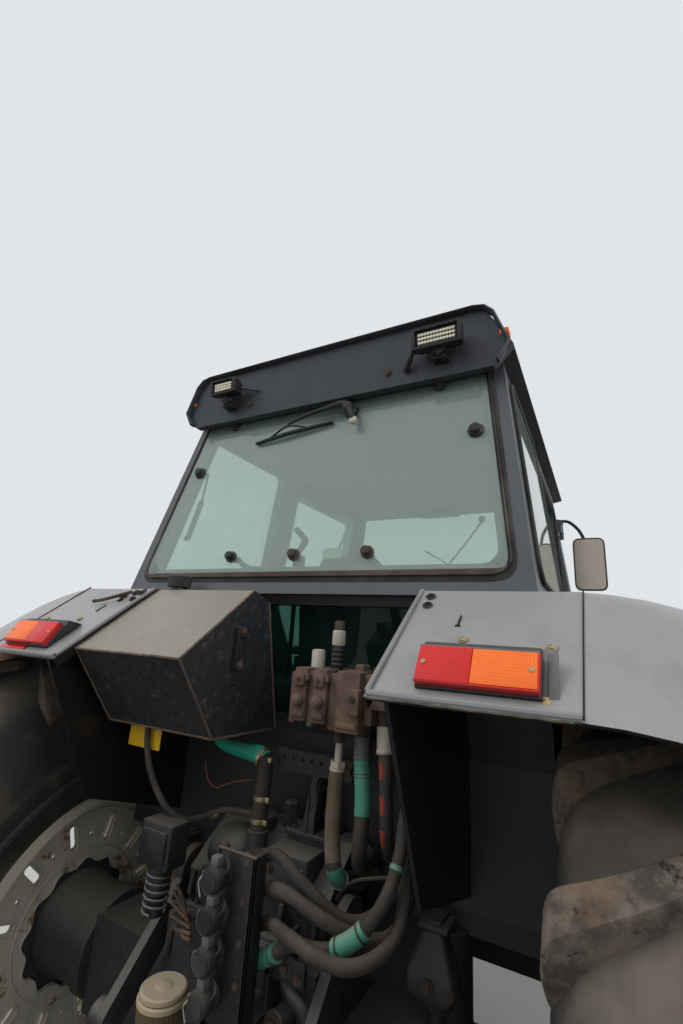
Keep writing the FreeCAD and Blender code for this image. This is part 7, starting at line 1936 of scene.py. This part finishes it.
def add_window_seals():
    """Rubber edges of the side windows, the windscreen and the doors, with handles and a front wiper."""
    seals = Form()
    quarter = drawn_in(rim_of("quarter_windows", 1, 2), 0.004)
    for side in (1, -1):
        seals.tube([(side * (cab_side(z) + 0.0065), y, z) for y, z in quarter], 0.0060, 8, 0, closed=True, smooth=1)
    screen = drawn_in(rim_of("windscreen", 0, 2), 0.004)
    seals.tube([(x, screen_y(z) + 0.0010, z) for x, z in screen], 0.0065, 8, 0, closed=True, smooth=1)
    seals.lathe([(0, 0.022), (0.012, 0.020), (0.026, 0.014), (0.026, 0)], (0.220, screen_y(2.700), 2.700), (0, 1, 0.1), 20,
                1)
    seals.tube([(0.220, screen_y(2.700) + 0.022, 2.700), (0.110, screen_y(2.560) + 0.024, 2.560),
                (0.000, screen_y(2.430) + 0.020, 2.430)], 0.006, 10, 1)
    seals.tube([(-0.150, screen_y(2.520) + 0.012, 2.520), (0.000, screen_y(2.430) + 0.012, 2.430),
                (0.140, screen_y(2.330) + 0.012, 2.330)], 0.005, 8, 1)
    piece("window_seals", seals, [BLACK_RUBBER, PLASTIC])
    for side, name in ((1, "right"), (-1, "left")):
        door = Form()
        rim = [(side * (cab_side(z) + 0.0005), y, z) for y, z in soft_corners(DOOR_LIGHT, 0.040, 6)]
        door.tube(rim, 0.0055, 8, 0, closed=True, smooth=1)
        out = cab_side(1.66)
        low, high = sorted((side * (out - 0.002), side * (out + 0.026)))
        door.box((low, 0.960, 1.640), (high, 0.975, 1.680), 1, 0.004)
        door.box((low, 1.070, 1.640), (high, 1.085, 1.680), 1, 0.004)
        low, high = sorted((side * (out + 0.014), side * (out + 0.028)))
        door.box((low, 0.960, 1.646), (high, 1.085, 1.674), 1, 0.005)
        door.lathe([(0, 0.012), (0.004, 0.012), (0.006, 0.010), (0.006, 0)], (side * (out + 0.001), 0.940, 1.660),
                   (side, 0, 0), 20, 2)
        piece("door_fittings_" + name, door, [BLACK_RUBBER, PLASTIC, STEEL], "door_" + name)


# Stage: a pale floor, pale surroundings and soft lamps

FLOOR_SIZE = 60.0


def add_stage():
    """The floor, the surroundings and the lamps."""
    mesh = bpy.data.meshes.new("floor")
    half = FLOOR_SIZE / 2
    mesh.from_pydata([(-half, -half, 0), (half, -half, 0), (half, half, 0), (-half, half, 0)], [], [(0, 1, 2, 3)])
    floor = bpy.data.objects.new("floor", mesh)
    bpy.context.scene.collection.objects.link(floor)
    f = Finish("floor")
    seen = f.add("ShaderNodeLightPath").outputs["Is Camera Ray"]
    mesh.materials.append(f.done(f.mix(seen, rgb(112, 110, 106), rgb(166, 165, 163)), 0.9))
    world = bpy.data.worlds.new("surroundings")
    bpy.context.scene.world = world
    world.use_nodes = True
    tree = world.node_tree
    out = tree.nodes["World Output"]
    path = tree.nodes.new("ShaderNodeLightPath")
    place = tree.nodes.new("ShaderNodeTexCoord")
    split = tree.nodes.new("ShaderNodeSeparateXYZ")
    tree.links.new(place.outputs["Generated"], split.inputs[0])
    height = tree.nodes.new("ShaderNodeMapRange")
    height.inputs["From Min"].default_value = -0.1
    height.inputs["From Max"].default_value = 1.0
    height.inputs["To Min"].default_value = 0.54
    height.inputs["To Max"].default_value = 1.25
    tree.links.new(split.outputs[2], height.inputs["Value"])
    light = tree.nodes["Background"]
    light.inputs["Color"].default_value = (0.97, 0.985, 1.0, 1.0)
    tree.links.new(height.outputs[0], light.inputs["Strength"])
    pale = tree.nodes.new("ShaderNodeBackground")
    pale.inputs["Color"].default_value = rgb(226, 229, 232)
    pale.inputs["Strength"].default_value = 1.0
    shares = []
    for first, second in (("Is Camera Ray", "Is Glossy Ray"), (None, "Is Transmission Ray")):
        most = tree.nodes.new("ShaderNodeMath")
        most.operation = "MAXIMUM"
        tree.links.new(path.outputs[first] if first else shares[-1], most.inputs[0])
        tree.links.new(path.outputs[second], most.inputs[1])
        shares.append(most.outputs[0])
    mixed = tree.nodes.new("ShaderNodeMixShader")
    tree.links.new(shares[-1], mixed.inputs[0])
    tree.links.new(light.outputs[0], mixed.inputs[1])
    tree.links.new(pale.outputs[0], mixed.inputs[2])
    tree.links.new(mixed.outputs[0], out.inputs["Surface"])
    lamps = [("key", (-4.5, -5.5, 7.0), 5.0, 330.0), ("fill", (6.0, -3.0, 4.0), 4.0, 100.0),
             ("far", (2.0, 9.0, 6.0), 5.0, 240.0)]
    for name, at, size, power in lamps:
        data = bpy.data.lights.new(name, "AREA")
        data.shape = "DISK"
        data.size = size
        data.energy = power
        lamp = bpy.data.objects.new(name, data)
        bpy.context.scene.collection.objects.link(lamp)
        lamp.location = Vector(at)
        lamp.rotation_euler = (Vector((0, 0, 1.2)) - Vector(at)).to_track_quat("-Z", "Y").to_euler()
        lamp.visible_glossy = name == "fill"
        lamp.visible_transmission = False


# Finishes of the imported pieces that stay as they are

NODE_FINISHES = {
    "rear_axle_housing": CAST, "gearbox": CAST, "engine": CAST, "front_frame": CAST, "front_axle": CAST,
    "radiator": FRAME_BLACK, "fuel_tank": PLASTIC, "battery_box": PLASTIC, "steps": FRAME_BLACK,
    "cab_floor": FRAME_BLACK, "cab_frame": CAB, "roof": VISOR, "windscreen": PANE, "rear_window": PANE,
    "quarter_windows": PANE, "lower_rear_window": DARK_PANE, "seat": CLOTH, "dashboard": PLASTIC,
    "fender_right": FENDER, "fender_left": FENDER, "fender_extension_right": FENDER,
    "fender_extension_left": FENDER, "tail_lamps": LENS_RED, "work_lights": PLASTIC, "mirrors": PLASTIC,
    "oil_tank": TANK, "valve_block": VALVE, "coupler_bank": FRAME_BLACK, "lift_cover": CAST, "drawbar": IRON,
    "exhaust": FRAME_BLACK, "front_weights": WEIGHT, "hood": HOOD, "grille": PLASTIC, "head_lamps": CHROME,
    "door_right": CAB, "door_left": CAB, "door_glass_right": PANE, "door_glass_left": PANE,
    "knuckle_right": CAST, "knuckle_left": CAST, "steering_rod": STEEL, "front_wheel_right": WHEEL,
    "front_wheel_left": WHEEL, "front_tyre_right": TREAD, "front_tyre_left": TREAD, "rear_wheel_right": WHEEL,
    "rear_wheel_left": WHEEL, "rear_tyre_right": TREAD, "rear_tyre_left": TREAD, "lift_arms": LINK,
    "lift_rods": LINK, "lower_links": LINK, "pto_shaft": STEEL, "hydraulic_hoses": HOSE,
}


def dress_nodes():
    """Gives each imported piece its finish."""
    for node, finish in NODE_FINISHES.items():
        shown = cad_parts[node]
        if not shown.data.materials:
            shown.data.materials.append(finish)
        for entry in shown.material_slots:
            entry.material = finish


add_camera()
add_stage()
dress_nodes()
add_wheels()
add_rear_window()
add_tail_lamps()
add_work_lights()
add_roof_trim()
add_tank_details()
add_valve_block()
add_coupler_bank()
add_hoses()
add_lift_castings()
add_rear_clutter()
add_mount_castings()
add_fender_trim()
add_mirrors()
add_fender_extensions()
add_seat()
add_dashboard()
add_cab_controls()
add_hood_details()
add_side_details()
add_front_details()
add_window_seals()

scene = bpy.context.scene
scene.view_settings.view_transform = "Standard"
